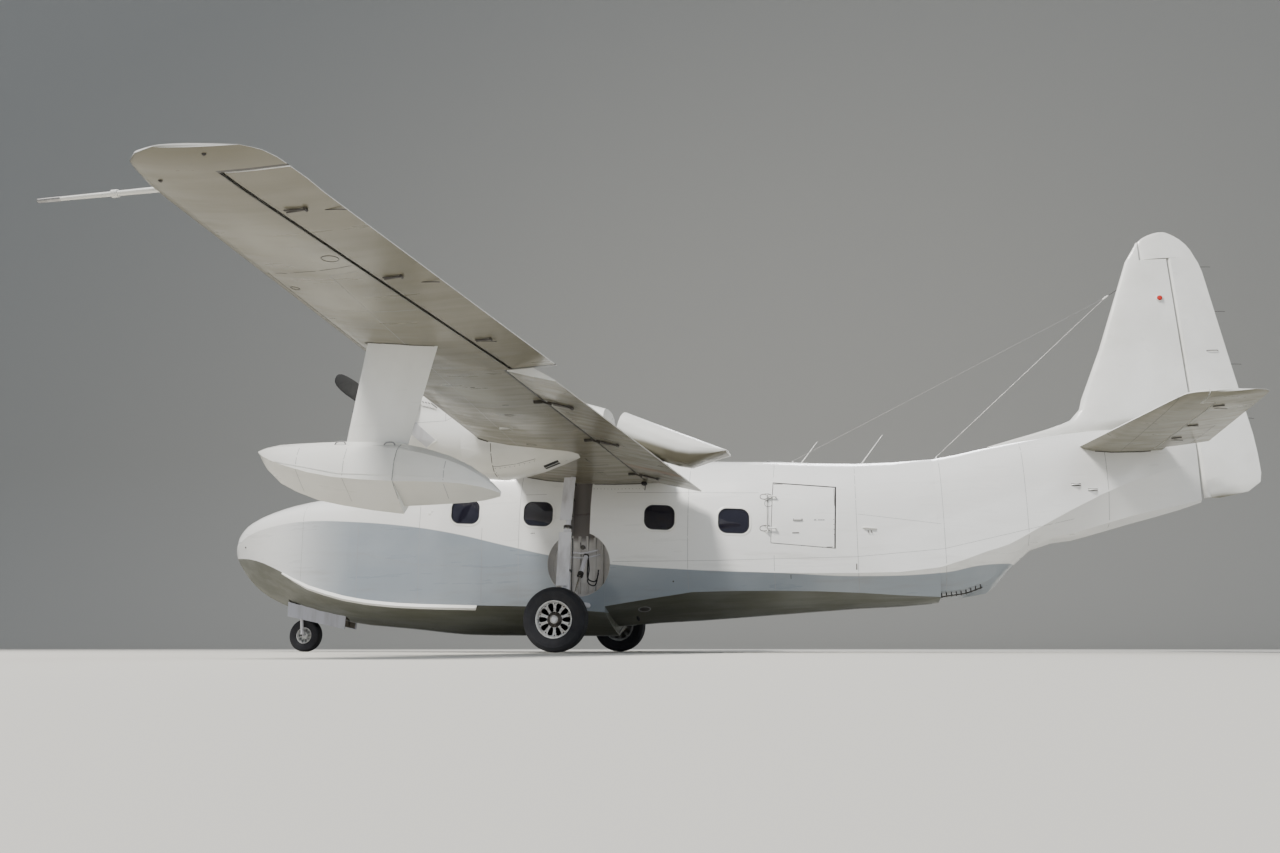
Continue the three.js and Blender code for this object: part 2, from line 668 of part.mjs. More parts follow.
const cowlWall = 25;
const floatStations = smoothed([
  [4430, 1700, 12, 1706, 1716],
  [4520, 1560, 90, 1655, 1740],
  [4800, 1360, 190, 1545, 1762],
  [5250, 1225, 255, 1430, 1762],
  [5795, 1140, 270, 1375, 1730],
], 2);
const floatAft = smoothed([
  [5780, 1205, 262, 1375, 1728],
  [6200, 1215, 190, 1365, 1610],
  [6500, 1235, 95, 1330, 1430],
  [6625, 1262, 20, 1290, 1310],
], 2);
function floatRing([x, keel, half, chine, top], y) {
  const shoulder = chine + (top - chine) * 0.8;
  return [
    [x, y, keel], [x, y + half, chine], [x, y + half * 0.93, chine + (top - chine) * 0.45],
    [x, y + half * 0.72, shoulder], [x, y + half * 0.3, top - (top - chine) * 0.02],
    [x, y - half * 0.3, top - (top - chine) * 0.02], [x, y - half * 0.72, shoulder],
    [x, y - half * 0.93, chine + (top - chine) * 0.45], [x, y - half, chine],
  ];
}

function grownFloat(fy) {
  const raise = (row) => floatRing([row[0], row[1], row[2] + seat, row[3], row[4] + seat], fy);
  return loftSolid(floatStations.map(raise), yz).add(loftSolid(floatAft.map(raise), yz));
}

// Columns: leading edge x and height, trailing edge x and height, thickness.
const strutStations = [[5240, 1745, 5800, 1715, 95], [5400, 2720, 6070, 2720, 110]];

const bladeCount = 3;
const bladePhase = 85;
// Columns: radius, chord, thickness, pitch in degrees
const bladeStations = [
  [120, 110, 70, 55], [300, 150, 42, 45], [700, 205, 26, 32], [1100, 190, 16, 24], [1270, 120, 9, 21],
  [propRadius, 50, 6, 20],
];
const shaft = { radius: 55 };
const engineBlock = { x: 3760, z: 2985, front: 200, back: 235 };
const spinner = { tip: 3093, back: 3648, radius: 224, propX: 3520 };

for (const [side, label] of [[-1, 'left'], [1, 'right']]) {
  const y = side * engineY;
  const wing = wingSolid(side);
  const wingHole = wingSolid(side, seat);
  const trueNacelle = loftSolid(nacelleStations.map((row) => ovalRing(row, y)), yz);

  // Aileron with a round nose that turns in the wing's rear face
  const aileronEnds = [aileronSpan.y0, aileronSpan.y1];
  const aileronAxis = aileronEnds.map((ay) => {
    const x = aileronHingeX(ay);
    const [, x0, z0, x1, z1, thickness] = wingAt(ay);
    const s = (x - x0) / (x1 - x0);
    const [, above, below] = between([[0, 0, 0], ...wingProfile], s);
    const depth = (above + below) * thickness;
    return { x, y: side * ay, z: z0 + (z1 - z0) * s + ((above - below) / 2) * thickness, r: depth / 2 };
  });
  const alongHinge = (trim, fromTip = false) => {
    const [p, q] = fromTip ? [...aileronAxis].reverse() : aileronAxis;
    const t = trim / Math.abs(q.y - p.y);
    return [p.x + (q.x - p.x) * t, p.y + (q.y - p.y) * t, p.z + (q.z - p.z) * t];
  };
  const noseRod = (grow, trim) => solid(rod(
    alongHinge(trim), alongHinge(trim, true),
    aileronAxis[0].r * aileronNose.fullness + grow, aileronAxis[1].r * aileronNose.fullness + grow, 14,
  ));
  const controlPlan = (spans, line, grow, endGap) => planPrism(
    [[line(spans.y0) + grow, spans.y0 + endGap], [wingAft, spans.y0 + endGap],
      [wingAft, spans.y1 - endGap], [line(spans.y1) + grow, spans.y1 - endGap]],
    side,
  );
  const pin = solid(rod(alongHinge(seat - 1), alongHinge(seat - 1, true), hingePin, hingePin, 8));
  const aileron = wing
    .intersect(controlPlan(aileronSpan, aileronHingeX, aileronNose.behind, controlGap))
    .add(noseRod(0, controlGap))
    .add(pin);
  place(`aileron_${label}`, geometryOf(aileron), paint.white);

  // Flap, drooped about a hinge line on the lower skin, with the tail of the nacelle on it
  const flapPoint = (fy) => (
    new THREE.Vector3(hingeX(fy), side * fy, wingUnder(hingeX(fy), fy) - flapHinge.drop)
  );
  const hingeIn = flapPoint(flapSpan.y0);
  const hingeLine = flapPoint(flapSpan.y1).sub(hingeIn).normalize().multiplyScalar(side);
  const fairing = loftSolid(tailFairing.map((row) => ovalRing(row, y)), yz);
  let flapSolid = wing.intersect(controlPlan(flapSpan, hingeX, controlGap, 0)).add(fairing);
  let wingBrackets = null;
  for (const fy of flapHinge.stations) {
    const { x, y: hy, z } = flapPoint(fy);
    const { half, reach, drop } = flapHinge;
    flapSolid = flapSolid.add(boxSolid(x - half, x + reach, hy - half, hy + half, z - half, z + half))
      .add(boxSolid(x + reach / 2, x + reach, hy - half, hy + half, z - half, z + drop + 30));
    for (const cheek of [-1, 1]) {
      const near = hy + cheek * (half + slantGap);
      const far = hy + cheek * (half + flapHinge.cheek);
      const [y0, y1] = [Math.min(near, far), Math.max(near, far)];
      const lug = boxSolid(x - reach, x + half, y0, y1, z - half, z + half)
        .add(boxSolid(x - reach, x - 10, y0, y1, z - half, z + drop + 14));
      wingBrackets = wingBrackets ? wingBrackets.add(lug) : lug;
    }
  }
  const flap = geometryOf(flapSolid);
  flap.translate(-hingeIn.x, -hingeIn.y, -hingeIn.z);
  const flapMesh = place(`flap_${label}`, flap, paint.white);
  flapMesh.position.copy(hingeIn);
  flapMesh.quaternion.setFromAxisAngle(hingeLine, flapDroop);

  // Nacelle body through the wing, cowl ahead of it and the engine inside
  const fixedWing = wing
    .subtract(grownHull)
    .subtract(controlPlan(flapSpan, hingeX, 0, -controlGap))
    .subtract(controlPlan(aileronSpan, aileronHingeX, -aileronNose.ahead, 0))
    .subtract(noseRod(controlGap, -1))
    .subtract(boxSolid(
      rootCut.x0, rootCut.x1, side > 0 ? 0 : -flapSpan.y0 - 1, side > 0 ? flapSpan.y0 + 1 : 0,
      rootCut.low, rootCut.high,
    ))
    .add(wingBrackets)
    .add(jackPadSolid(side));
  place(`wing_${label}`, geometryOf(fixedWing), paint.white);
  const besideNacelle = (x0, x1) => boxSolid(
    x0, x1, y - aroundNacelle.half, y + aroundNacelle.half, aroundNacelle.low, aroundNacelle.high,
  );
  const nacelle = trueNacelle
    .intersect(besideNacelle(cowlSplit + seam, nacelleEnd))
    .subtract(wingHole);
  place(`nacelle_${label}`, geometryOf(nacelle), paint.white);
  const cowlInside = loftSolid(
    stretch(nacelleStations, cowlFront + 35, cowlSplit + 60).map((row) => ovalRing(row, y, cowlWall)), yz,
  );
  const intake = boxSolid(
    intakeMouth.x0, intakeMouth.x1, y - intakeMouth.half, y + intakeMouth.half,
    intakeMouth.low, intakeMouth.high,
  );
  const cowl = trueNacelle
    .intersect(besideNacelle(aroundNacelle.x0, cowlSplit))
    .subtract(cowlInside)
    .subtract(intake)
    .subtract(solid(rod([cowlFront - 65, y, thrustZ], [cowlFront + 55, y, thrustZ], shaft.radius + 12)));
  place(`cowl_${label}`, geometryOf(cowl), paint.white);
  const engine = solid(rod(
    [engineBlock.x, y, engineBlock.z], [cowlSplit, y, engineBlock.z], engineBlock.front, engineBlock.back, 16,
  ))
    .add(solid(rod([spinner.back + seam, y, thrustZ], [engineBlock.x + 40, y, thrustZ], shaft.radius)));
  place(`engine_${label}`, geometryOf(engine), paint.iron);

  // Spinner and blades
  const nose = [];
  for (let i = 0; i <= 8; i += 1) {
    const t = i / 8;
    const radius = spinner.radius * Math.sin((t * Math.PI) / 2) ** 0.75;
    nose.push(new THREE.Vector2(radius, t * (spinner.back - spinner.tip)));
  }
  nose.push(new THREE.Vector2(0, spinner.back - spinner.tip));
  const spinnerGeometry = new THREE.LatheGeometry(nose, 20);
  spinnerGeometry.rotateZ(-Math.PI / 2);
  spinnerGeometry.translate(spinner.tip, y, thrustZ);
  let propeller = solid(spinnerGeometry);
  for (let b = 0; b < bladeCount; b += 1) {
    const angle = THREE.MathUtils.degToRad(bladePhase + (360 / bladeCount) * b);
    const rings = bladeStations.map(([r, chord, thickness, pitch]) => {
      const p = THREE.MathUtils.degToRad(pitch);
      return [[-0.5, 0], [0, 0.5], [0.5, 0], [0, -0.5]].map(([u, v]) => {
        const along = u * chord * Math.sin(p) + v * thickness * Math.cos(p);
        const across = u * chord * Math.cos(p) - v * thickness * Math.sin(p);
        return [
          spinner.propX + along,
          y - r * Math.sin(angle) + across * Math.cos(angle),
          thrustZ + r * Math.cos(angle) + across * Math.sin(angle),
        ];
      });
    });
    propeller = propeller.add(loftSolid(rings, Math.abs(Math.cos(angle)) > 0.5 ? xy : xz));
  }
  place(`propeller_${label}`, geometryOf(propeller), paint.chrome);

  // Wing float and its strut
  const fy = side * floatY;
  const wingFloat = loftSolid(floatStations.map((row) => floatRing(row, fy)), yz)
    .add(loftSolid(floatAft.map((row) => floatRing(row, fy)), yz));
  place(`float_${label}`, geometryOf(wingFloat), paint.white);
  const strutRings = strutStations.map(([x0, z0, x1, z1, thickness]) => (
    foilRing(tailProfile, [x0, fy, z0], [x1, fy, z1], thickness, [0, 1, 0])
  ));
  const strut = loftSolid(strutRings, xy).subtract(wingHole).subtract(grownFloat(fy));
  place(`float_strut_${label}`, geometryOf(strut), paint.white);
}

// Pitot boom on the port tip
const pitotTube = { tip: 4560, root: 5480, y: -9700, z: 2765, tipRadius: 12, rootRadius: 20 };
const pitot = solid(rod(
  [pitotTube.tip, pitotTube.y, pitotTube.z], [pitotTube.root, pitotTube.y, pitotTube.z],
  pitotTube.tipRadius, pitotTube.rootRadius, 8,
))
  .subtract(wingSolid(-1, seat));
place('pitot_boom', geometryOf(pitot), paint.white);

// Fin: level sections from the dorsal fillet up to the rudder's horn
// Columns: height, leading edge x, thickness.
const finStations = [
  ...smoothed([
    [2780, 11300, 60], [2900, 11750, 90], [3010, 12150, 150], [3110, 12420, 200], [3400, 12590, 205],
  ], 2, null, [4090, 12877, 165]),
  [4090, 12877, 165], [5340, 13325, 100],
];
const horn = { x0: 13512, top: 5744, gap: 12 };
// The fixed tip ahead of the rudder's horn. Columns: height, leading edge x, thickness.
const finTipStations = [
  [5338, 13325, 84], [5400, 13362, 80], [5480, 13411, 70], [5560, 13462, 56], [5612, 13488, 44],
];
const rudderHinge = { low: [14044, 2090], high: [13910, 5335] };
const rudderX = (z) => (
  rudderHinge.low[0]
  + ((z - rudderHinge.low[1]) * (rudderHinge.high[0] - rudderHinge.low[0]))
    / (rudderHinge.high[1] - rudderHinge.low[1])
);
const rudderNose = 46;
const rudderPostTop = 33;
const lugNotchSize = { ahead: 160, behind: 60, half: 100 };
const rudderLug = { z: 3320, half: 25, back: 90, ahead: 15, halfWidth: 14 };
const rudderGap = 12;
const finRings = finStations.map(([z, x0, thickness]) => {
  const back = rudderX(z) - rudderNose - rudderGap;
  const front = (u, h) => [x0 + (back - x0) * u, h * thickness, z];
  return [
    front(0, 0), front(0.015, 0.12), front(0.06, 0.25), front(0.2, 0.42), front(0.5, 0.5), front(1, 0.32),
    front(1, -0.32), front(0.5, -0.5), front(0.2, -0.42), front(0.06, -0.25), front(0.015, -0.12),
  ];
});
const finTipRings = finTipStations.map(([z, x0, thickness]) => {
  const back = horn.x0 - horn.gap;
  const at = (u, h) => [x0 + (back - x0) * u, h * thickness, z];
  return [
    at(0, 0), at(0.12, 0.2), at(0.45, 0.38), at(1, 0.46),
    at(1, -0.46), at(0.45, -0.38), at(0.12, -0.2),
  ];
});
const fin = loftSolid(finRings, xy)
  .add(loftSolid(finTipRings, xy))
  .subtract(grownTail)
  .subtract(grownHull)
  .add(boxSolid(
    rudderX(rudderLug.z) - rudderLug.back, rudderX(rudderLug.z) + rudderLug.ahead,
    -rudderLug.halfWidth, rudderLug.halfWidth,
    rudderLug.z - rudderLug.half, rudderLug.z + rudderLug.half,
  ));
place('fin', geometryOf(fin), paint.white);

// Rudder
// Columns: height, trailing edge x, thickness.
const rudderStations = [
  ...smoothed([
    [1995, 14200, 60], [2070, 14548, 80], [2310, 14726, 92], [2820, 14687, 100],
  ], 2, null, [4000, 14487, 92]),
  [4000, 14487, 92], [5120, 14300, 66], [5260, 14262, 66], [5352, 14222, 66],
];
const rudderRings = rudderStations.map(([z, x1, thickness]) => {
  const x0 = rudderX(z);
  return [
    [x0, -thickness / 2, z], [x0, thickness / 2, z], [x0 + (x1 - x0) * 0.5, thickness * 0.3, z],
    [x1, 3, z], [x1, -3, z], [x0 + (x1 - x0) * 0.5, -thickness * 0.3, z],
  ];
});
// Columns: height, front x, trailing edge x, thickness.
const hornStations = [
  [5352, horn.x0 + 6, 14222, 78], [5450, horn.x0 + 3, 14182, 74], [5540, horn.x0, 14126, 66],
  [5620, horn.x0 + 2, 14055, 56],
  [5672, 13570, 13990, 44], [5712, 13650, 13930, 32], [5736, 13730, 13882, 20], [horn.top, 13780, 13850, 10],
];
const hornRings = hornStations.map(([z, x0, x1, thickness]) => {
  const at = (u, h) => [x0 + (x1 - x0) * u, h * thickness, z];
  return [
    at(0, 0), at(0.03, 0.2), at(0.1, 0.34), at(0.3, 0.5), at(0.6, 0.42), at(1, 0.04),
    at(1, -0.04), at(0.6, -0.42), at(0.3, -0.5), at(0.1, -0.34), at(0.03, -0.2),
  ];
});
const [postLow, postHigh] = [rudderStations[0][0], hornStations[0][0]];
const rudderPost = solid(rod(
  [rudderX(postLow), 0, postLow], [rudderX(postHigh), 0, postHigh], rudderNose, rudderPostTop, 14,
));
const lugNotch = boxSolid(
  rudderX(rudderLug.z) - lugNotchSize.ahead, rudderX(rudderLug.z) + lugNotchSize.behind,
  -lugNotchSize.half, lugNotchSize.half,
  rudderLug.z - rudderLug.half - slantGap, rudderLug.z + rudderLug.half + slantGap,
);
const rudder = loftSolid(rudderRings, xy).add(loftSolid(hornRings, xy)).add(rudderPost).subtract(lugNotch);
place('rudder', geometryOf(rudder), paint.white);

// Stabilisers and elevators
// Columns: y, leading edge x, trailing edge x, thickness.
const stabStations = [
  [60, 12405, 14035, 190], [350, 12470, 14020, 180], [2700, 12965, 13885, 105],
  ...smoothed([[2900, 13015, 13865, 92], [3000, 13110, 13800, 60], [3035, 13290, 13690, 24]], 2),
];
const stabZ = (y) => 2685 + 0.022 * y;
const elevatorHingeX = (y) => 13378 + (y - 350) * 0.01;
const elevatorSpan = { y0: 372, y1: 2700 };
const elevatorHorn = { x0: 13250 };
const beyondTail = { x: 14300, y: 3100 };
const elevatorNose = { root: 68, tip: 40 };
const elevatorPin = { from: 350, to: 400, y0: elevatorSpan.y0 - controlGap + lugGap };
const hullEndCut = { x0: 13500, half: 400, low: 2400, high: 3000 };
for (const [side, label] of [[-1, 'left'], [1, 'right']]) {
  const rings = stabStations.map(([y, x0, x1, thickness]) => (
    foilRing(tailProfile, [x0, side * y, stabZ(y)], [x1, side * y, stabZ(y)], thickness, [0, 0, 1])
  ));
  const whole = loftSolid(rings, xz);
  const plan = (grow, y0, y1) => planPrism(
    [
      [elevatorHingeX(y0) + grow, y0], [beyondTail.x, y0],
      [beyondTail.x, y1], [elevatorHingeX(y1) + grow, y1],
    ],
    side,
    throughTail,
  );
  const hornPlan = (grow) => planPrism(
    [
      [elevatorHorn.x0 - grow, elevatorSpan.y1 - grow], [beyondTail.x, elevatorSpan.y1 - grow],
      [beyondTail.x, beyondTail.y], [elevatorHorn.x0 - grow, beyondTail.y],
    ],
    side,
    throughTail,
  );
  const nose = (grow, trim) => {
    const ends = [elevatorSpan.y0 + trim, elevatorSpan.y1 + (grow ? 2 : 0)].map((y) => (
      [elevatorHingeX(y), side * y, stabZ(y)]
    ));
    return solid(rod(ends[0], ends[1], elevatorNose.root + grow, elevatorNose.tip + grow, 14));
  };
  const elevator = whole.intersect(plan(0, elevatorSpan.y0, beyondTail.y))
    .add(whole.intersect(hornPlan(0)))
    .add(nose(0, 0))
    .add(solid(rod(
      [elevatorHingeX(elevatorPin.from), side * elevatorPin.y0, stabZ(elevatorPin.from)],
      [elevatorHingeX(elevatorPin.to), side * elevatorPin.to, stabZ(elevatorPin.to)],
      hingePin, hingePin, 8,
    )));
  place(`elevator_${label}`, geometryOf(elevator), paint.white);
  const stabiliser = whole
    .subtract(plan(0, elevatorSpan.y0 - controlGap, beyondTail.y))
    .subtract(hornPlan(controlGap))
    .subtract(nose(controlGap, -controlGap))
    .subtract(grownTail)
    .subtract(boxSolid(
      hullEndCut.x0, beyondTail.x, -hullEndCut.half, hullEndCut.half, hullEndCut.low, hullEndCut.high,
    ))
    .subtract(loftSolid(finRings, xy));
  place(`stabiliser_${label}`, geometryOf(stabiliser), paint.white);
}

// Wheels: a tyre round a hub, on an axle that the hub turns about
const wheelSides = 32;
function tyreGeometry({ radius, width }, rim) {
  const half = width / 2;
  const profile = [
    [rim, -half * 0.72], [radius * 0.78, -half], [radius * 0.93, -half * 0.85], [radius * 0.99, -half * 0.45],
    [radius, 0], [radius * 0.99, half * 0.45], [radius * 0.93, half * 0.85], [radius * 0.78, half],
    [rim, half * 0.72], [rim, -half * 0.72],
  ].map(([r, h]) => new THREE.Vector2(r, h));
  return new THREE.LatheGeometry(profile, wheelSides);
}
function hubGeometry({ width }, rim, bore) {
  const half = width / 2;
  const profile = [
    [bore, -half * 0.8], [bore + 30, -half * 0.8], [rim * 0.6, -half * 0.35], [rim * 0.85, -half * 0.4],
    [rim - 0.3, -half * 0.72],
    [rim - 0.3, half * 0.72], [rim * 0.85, half * 0.5], [rim * 0.6, half * 0.4], [bore + 30, half * 0.75],
    [bore, half * 0.75], [bore, -half * 0.8],
  ].map(([r, h]) => new THREE.Vector2(r, h));
  return new THREE.LatheGeometry(profile, wheelSides);
}
function wheelPair(name, wheel, rim, bore, outward) {
  const holder = new THREE.Group();
  holder.position.set(wheel.x, wheel.y * outward, wheel.radius);
  holder.rotation.x = outward > 0 ? 0 : Math.PI;
  aircraft.add(holder);
  place(`${name}_tyre`, tyreGeometry(wheel, rim), paint.tyre, holder);
  place(`${name}_hub`, hubGeometry(wheel, rim, bore), paint.steel, holder);
}

// Nose gear: an oleo up into the well, with a fork leg beside the wheel
const noseAxle = { radius: 18, bore: 19 };
wheelPair('nose', noseWheel, 118, noseAxle.bore, 1);
const noseTop = { x: 1105, z: noseWell.top };
const noseCrown = { x: 1175, z: 560 };
const forkY = 113;
const alongNoseLeg = (t) => [
  noseCrown.x + (noseTop.x - noseCrown.x) * t, 0, noseCrown.z + (noseTop.z - noseCrown.z) * t,
];
const swivel = { t: 0.16, gap: 0.0005 };
const crownBlock = { along: 35, past: 22, up: 25 };
const noseFork = [-1, 1].map((side) => solid(rod(
  [noseCrown.x, side * forkY, noseCrown.z], [noseWheel.x, side * forkY, noseWheel.radius], 22, 26, 10,
))).reduce((a, b) => a.add(b))
  .add(boxSolid(
    noseCrown.x - crownBlock.along, noseCrown.x + crownBlock.along,
    -forkY - crownBlock.past, forkY + crownBlock.past,
    noseCrown.z - crownBlock.up, noseCrown.z + crownBlock.up,
  ))
  .add(solid(rod(alongNoseLeg(0), alongNoseLeg(swivel.t), 32, 32, 12)))
  .add(solid(rod(
    [noseWheel.x, -forkY, noseWheel.radius], [noseWheel.x, forkY, noseWheel.radius],
    noseAxle.radius, noseAxle.radius, 14,
  )));
place('nose_fork', geometryOf(noseFork), paint.steel);
const noseBrace = { foot: [1170, 0, 900], headX: 1600, radius: 24 };
const besideNoseLeg = { x0: 900, x1: 2000, half: 100 };
const noseLeg = solid(rod(alongNoseLeg(swivel.t + swivel.gap), alongNoseLeg(1.03), 46, 52, 14))
  .add(solid(rod(
    noseBrace.foot, [noseBrace.headX, 0, noseWell.top + 40], noseBrace.radius, noseBrace.radius, 8,
  )))
  .intersect(boxSolid(
    besideNoseLeg.x0, besideNoseLeg.x1, -besideNoseLeg.half, besideNoseLeg.half, 0, noseWell.top - seam,
  ));
place('nose_leg', geometryOf(noseLeg), paint.white);
const noseDoorWall = 12;
for (const [side, label] of [[-1, 'left'], [1, 'right']]) {
  const hingeZ = (x) => 742 - (x - noseWell.x0) * 0.23;
  const outline = [
    [noseWell.x0, hingeZ(noseWell.x0)], [noseWell.x1, hingeZ(noseWell.x1)],
    [noseWell.x1 - 10, hingeZ(noseWell.x1) - 190], [noseWell.x0 + 10, hingeZ(noseWell.x0) - 215],
  ];
  const y0 = side > 0 ? noseWell.half - noseDoorWall - seam : -noseWell.half + seam;
  const door = solid(plate(outline, 'xz', y0, y0 + noseDoorWall))
    .subtract(loftSolid(bowStations.map(lowerRing), yz));
  place(`nose_door_${label}`, geometryOf(door), paint.bottom);
}

// Main gear: a leg with its fork stub, arms to the chine and a fairing plate in front
const mainAxle = { radius: 34, bore: 35 };
const legY = 1640;
const mainTop = { x: 5725, y: 1180, z: 2455 };
const knuckle = { x: 5700, y: 1430, z: 1580 };
const collar = { x: 5735, y: 1600, z: 640 };
// Columns: x, height.
const chineFittings = [[5520, 590], [5880, 580]];
// Columns: x, inner y, outer y, height.
const chineY = 958;
// Fairing plates in front of the leg, each from its top edge to its bottom edge.
// Columns: front x, back x, inner y, height.
const upperPlateCorners = [[5612, 5768, 1290, 2330], [5600, 5764, 1450, 1730]];
const lowerPlateCorners = [[5615, 5785, 1520, 1560], [5625, 5790, 1672, 850]];
const plateWall = 16;
const plateBrackets = [
  [5710, 1230, 1330, 2200], [5705, 1330, 1450, 1800], [5720, 1450, 1560, 1400], [5730, 1560, 1670, 960],
];
for (const [outward, label] of [[-1, 'left'], [1, 'right']]) {
  wheelPair(`main_${label}`, mainWheel, 235, mainAxle.bore, outward);
  const o = (x, y, z) => [x, outward * y, z];
  const arms = chineFittings.map(([x, z]) => (
    solid(rod(o(x, chineY, z + 40), o(collar.x, collar.y, collar.z), 34, 34, 10))
  ));
  const leg = solid(rod(
    o(mainTop.x, mainTop.y, mainTop.z + 60), o(knuckle.x, knuckle.y, knuckle.z), 34, 34, 10,
  ))
    .add(solid(rod(o(knuckle.x, knuckle.y, knuckle.z + 20), o(collar.x, collar.y, collar.z), 52, 58, 12)))
    .add(solid(rod(o(collar.x, collar.y, collar.z), o(mainWheel.x, legY, mainWheel.radius), 40, 40, 12)))
    .add(solid(rod(
      o(mainWheel.x, legY - 60, mainWheel.radius), o(mainWheel.x, mainWheel.y + 95, mainWheel.radius),
      mainAxle.radius, mainAxle.radius, 14,
    )))
    .add(arms.reduce((a, b) => a.add(b)))
    .subtract(wingSolid(outward, seat))
    .subtract(grownHull);
  const fairing = (corners) => loftSolid(corners.map(([x0, x1, y, z]) => (
    [o(x0, y, z), o(x1, y, z), o(x1, y + plateWall, z), o(x0, y + plateWall, z)]
  )), xy);
  const upperPlate = fairing(upperPlateCorners);
  const lowerPlate = fairing(lowerPlateCorners);
  const brackets = plateBrackets.map(([x, y0, y1, z]) => solid(rod(o(x, y0, z), o(x, y1, z), 16, 16, 8)));
  place(
    `main_leg_${label}`,
    geometryOf([upperPlate, lowerPlate, ...brackets].reduce((sum, piece) => sum.add(piece), leg)),
    paint.steel,
  );
}

export default aircraft;
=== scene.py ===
import json
import math
import bmesh
import bpy
import numpy as np
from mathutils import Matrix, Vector
from mathutils.bvhtree import BVHTree

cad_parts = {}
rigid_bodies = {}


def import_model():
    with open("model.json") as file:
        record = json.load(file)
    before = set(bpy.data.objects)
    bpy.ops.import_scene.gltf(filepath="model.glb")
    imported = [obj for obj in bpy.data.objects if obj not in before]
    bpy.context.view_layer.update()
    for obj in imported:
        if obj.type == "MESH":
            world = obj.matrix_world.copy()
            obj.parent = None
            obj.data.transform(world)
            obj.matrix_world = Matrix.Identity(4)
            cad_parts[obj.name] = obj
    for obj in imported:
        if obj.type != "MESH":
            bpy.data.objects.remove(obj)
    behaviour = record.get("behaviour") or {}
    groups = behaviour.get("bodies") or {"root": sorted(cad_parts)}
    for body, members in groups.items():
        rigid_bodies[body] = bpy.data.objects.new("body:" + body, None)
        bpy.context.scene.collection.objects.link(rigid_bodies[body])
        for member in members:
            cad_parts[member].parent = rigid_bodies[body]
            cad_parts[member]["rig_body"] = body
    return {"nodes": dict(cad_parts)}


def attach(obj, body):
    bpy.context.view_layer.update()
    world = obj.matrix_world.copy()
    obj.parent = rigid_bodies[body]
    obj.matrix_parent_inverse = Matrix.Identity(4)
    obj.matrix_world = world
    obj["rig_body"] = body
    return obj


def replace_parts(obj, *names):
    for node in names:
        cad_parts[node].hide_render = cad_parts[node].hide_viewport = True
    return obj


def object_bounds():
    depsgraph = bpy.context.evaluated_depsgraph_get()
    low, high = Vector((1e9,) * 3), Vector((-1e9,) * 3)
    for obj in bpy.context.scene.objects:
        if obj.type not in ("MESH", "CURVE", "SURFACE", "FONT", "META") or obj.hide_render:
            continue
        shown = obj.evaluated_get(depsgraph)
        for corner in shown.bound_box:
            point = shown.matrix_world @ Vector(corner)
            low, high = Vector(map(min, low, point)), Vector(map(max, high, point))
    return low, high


# The aircraft, parked on its wheels
# The solids carry every main shape. Metres; X runs aft, Y to starboard, Z up from the floor,
# with the origin on the floor under the middle of the machine.
for leftover in list(bpy.data.objects):
    bpy.data.objects.remove(leftover)
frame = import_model()
cad_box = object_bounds()
STEM = -7.363


def aft(millimetres):
    """X of a place that is so far behind the stem."""
    return STEM + millimetres / 1000


# Studio
# A pale sheet of board runs along the floor and turns up behind in one wide curve.
# Three soft lamps and a pale surround light it; the floor throws light up under the wings.
FLOOR_SIZE = 90.0
CURVE_START, CURVE_RADIUS, WALL_TOP = 40.0, 14.0, 60.0
CURVE_STEPS = 24
BOARD_CREAM = (0.56, 0.545, 0.50, 1)
profile = [(-FLOOR_SIZE, 0.0), (CURVE_START, 0.0)]
for step in range(1, CURVE_STEPS + 1):
    angle = math.pi / 2 * step / CURVE_STEPS
    profile.append((CURVE_START + CURVE_RADIUS * math.sin(angle), CURVE_RADIUS * (1 - math.cos(angle))))
profile.append((CURVE_START + CURVE_RADIUS, WALL_TOP))
board = bpy.data.meshes.new("studio_board")
board.from_pydata(
    [(x, y, z) for x in (-FLOOR_SIZE, FLOOR_SIZE) for y, z in profile], [],
    [(i, i + len(profile), i + len(profile) + 1, i + 1) for i in range(len(profile) - 1)],
)
studio_board = bpy.data.objects.new("studio_board", board)
bpy.context.scene.collection.objects.link(studio_board)
board.polygons.foreach_set("use_smooth", [True] * len(board.polygons))
board_finish = bpy.data.materials.new("studio board")
board_finish.use_nodes = True
board_shader = board_finish.node_tree.nodes["Principled BSDF"]
board_shader.inputs["Base Color"].default_value = BOARD_CREAM
board_shader.inputs["Roughness"].default_value = 0.9
board.materials.append(board_finish)

surround = bpy.data.worlds.new("surround")
surround.use_nodes = True
daylight = surround.node_tree.nodes["Background"]
daylight.inputs["Color"].default_value = (0.80, 0.88, 1.0, 1)
daylight.inputs["Strength"].default_value = 0.40
bpy.context.scene.world = surround


def soft_lamp(name, place, target, size, watts, colour):
    """A round soft lamp at a place, aimed at a target."""
    lamp = bpy.data.lights.new(name, "AREA")
    lamp.shape, lamp.size, lamp.energy, lamp.color = "DISK", size, watts, colour
    holder = bpy.data.objects.new(name, lamp)
    holder.location = place
    holder.rotation_euler = (Vector(target) - Vector(place)).to_track_quat("-Z", "Y").to_euler()
    bpy.context.scene.collection.objects.link(holder)


soft_lamp("key_lamp", (-9, -14, 27), (0, 0, 2), 7, 15500, (1.0, 0.97, 0.93))
soft_lamp("fill_lamp", (16, -26, 7), (1, 0, 2), 12, 1500, (0.92, 0.96, 1.0))
soft_lamp("rim_lamp", (4, 26, 22), (1, 0, 3), 10, 4000, (0.95, 0.97, 1.0))

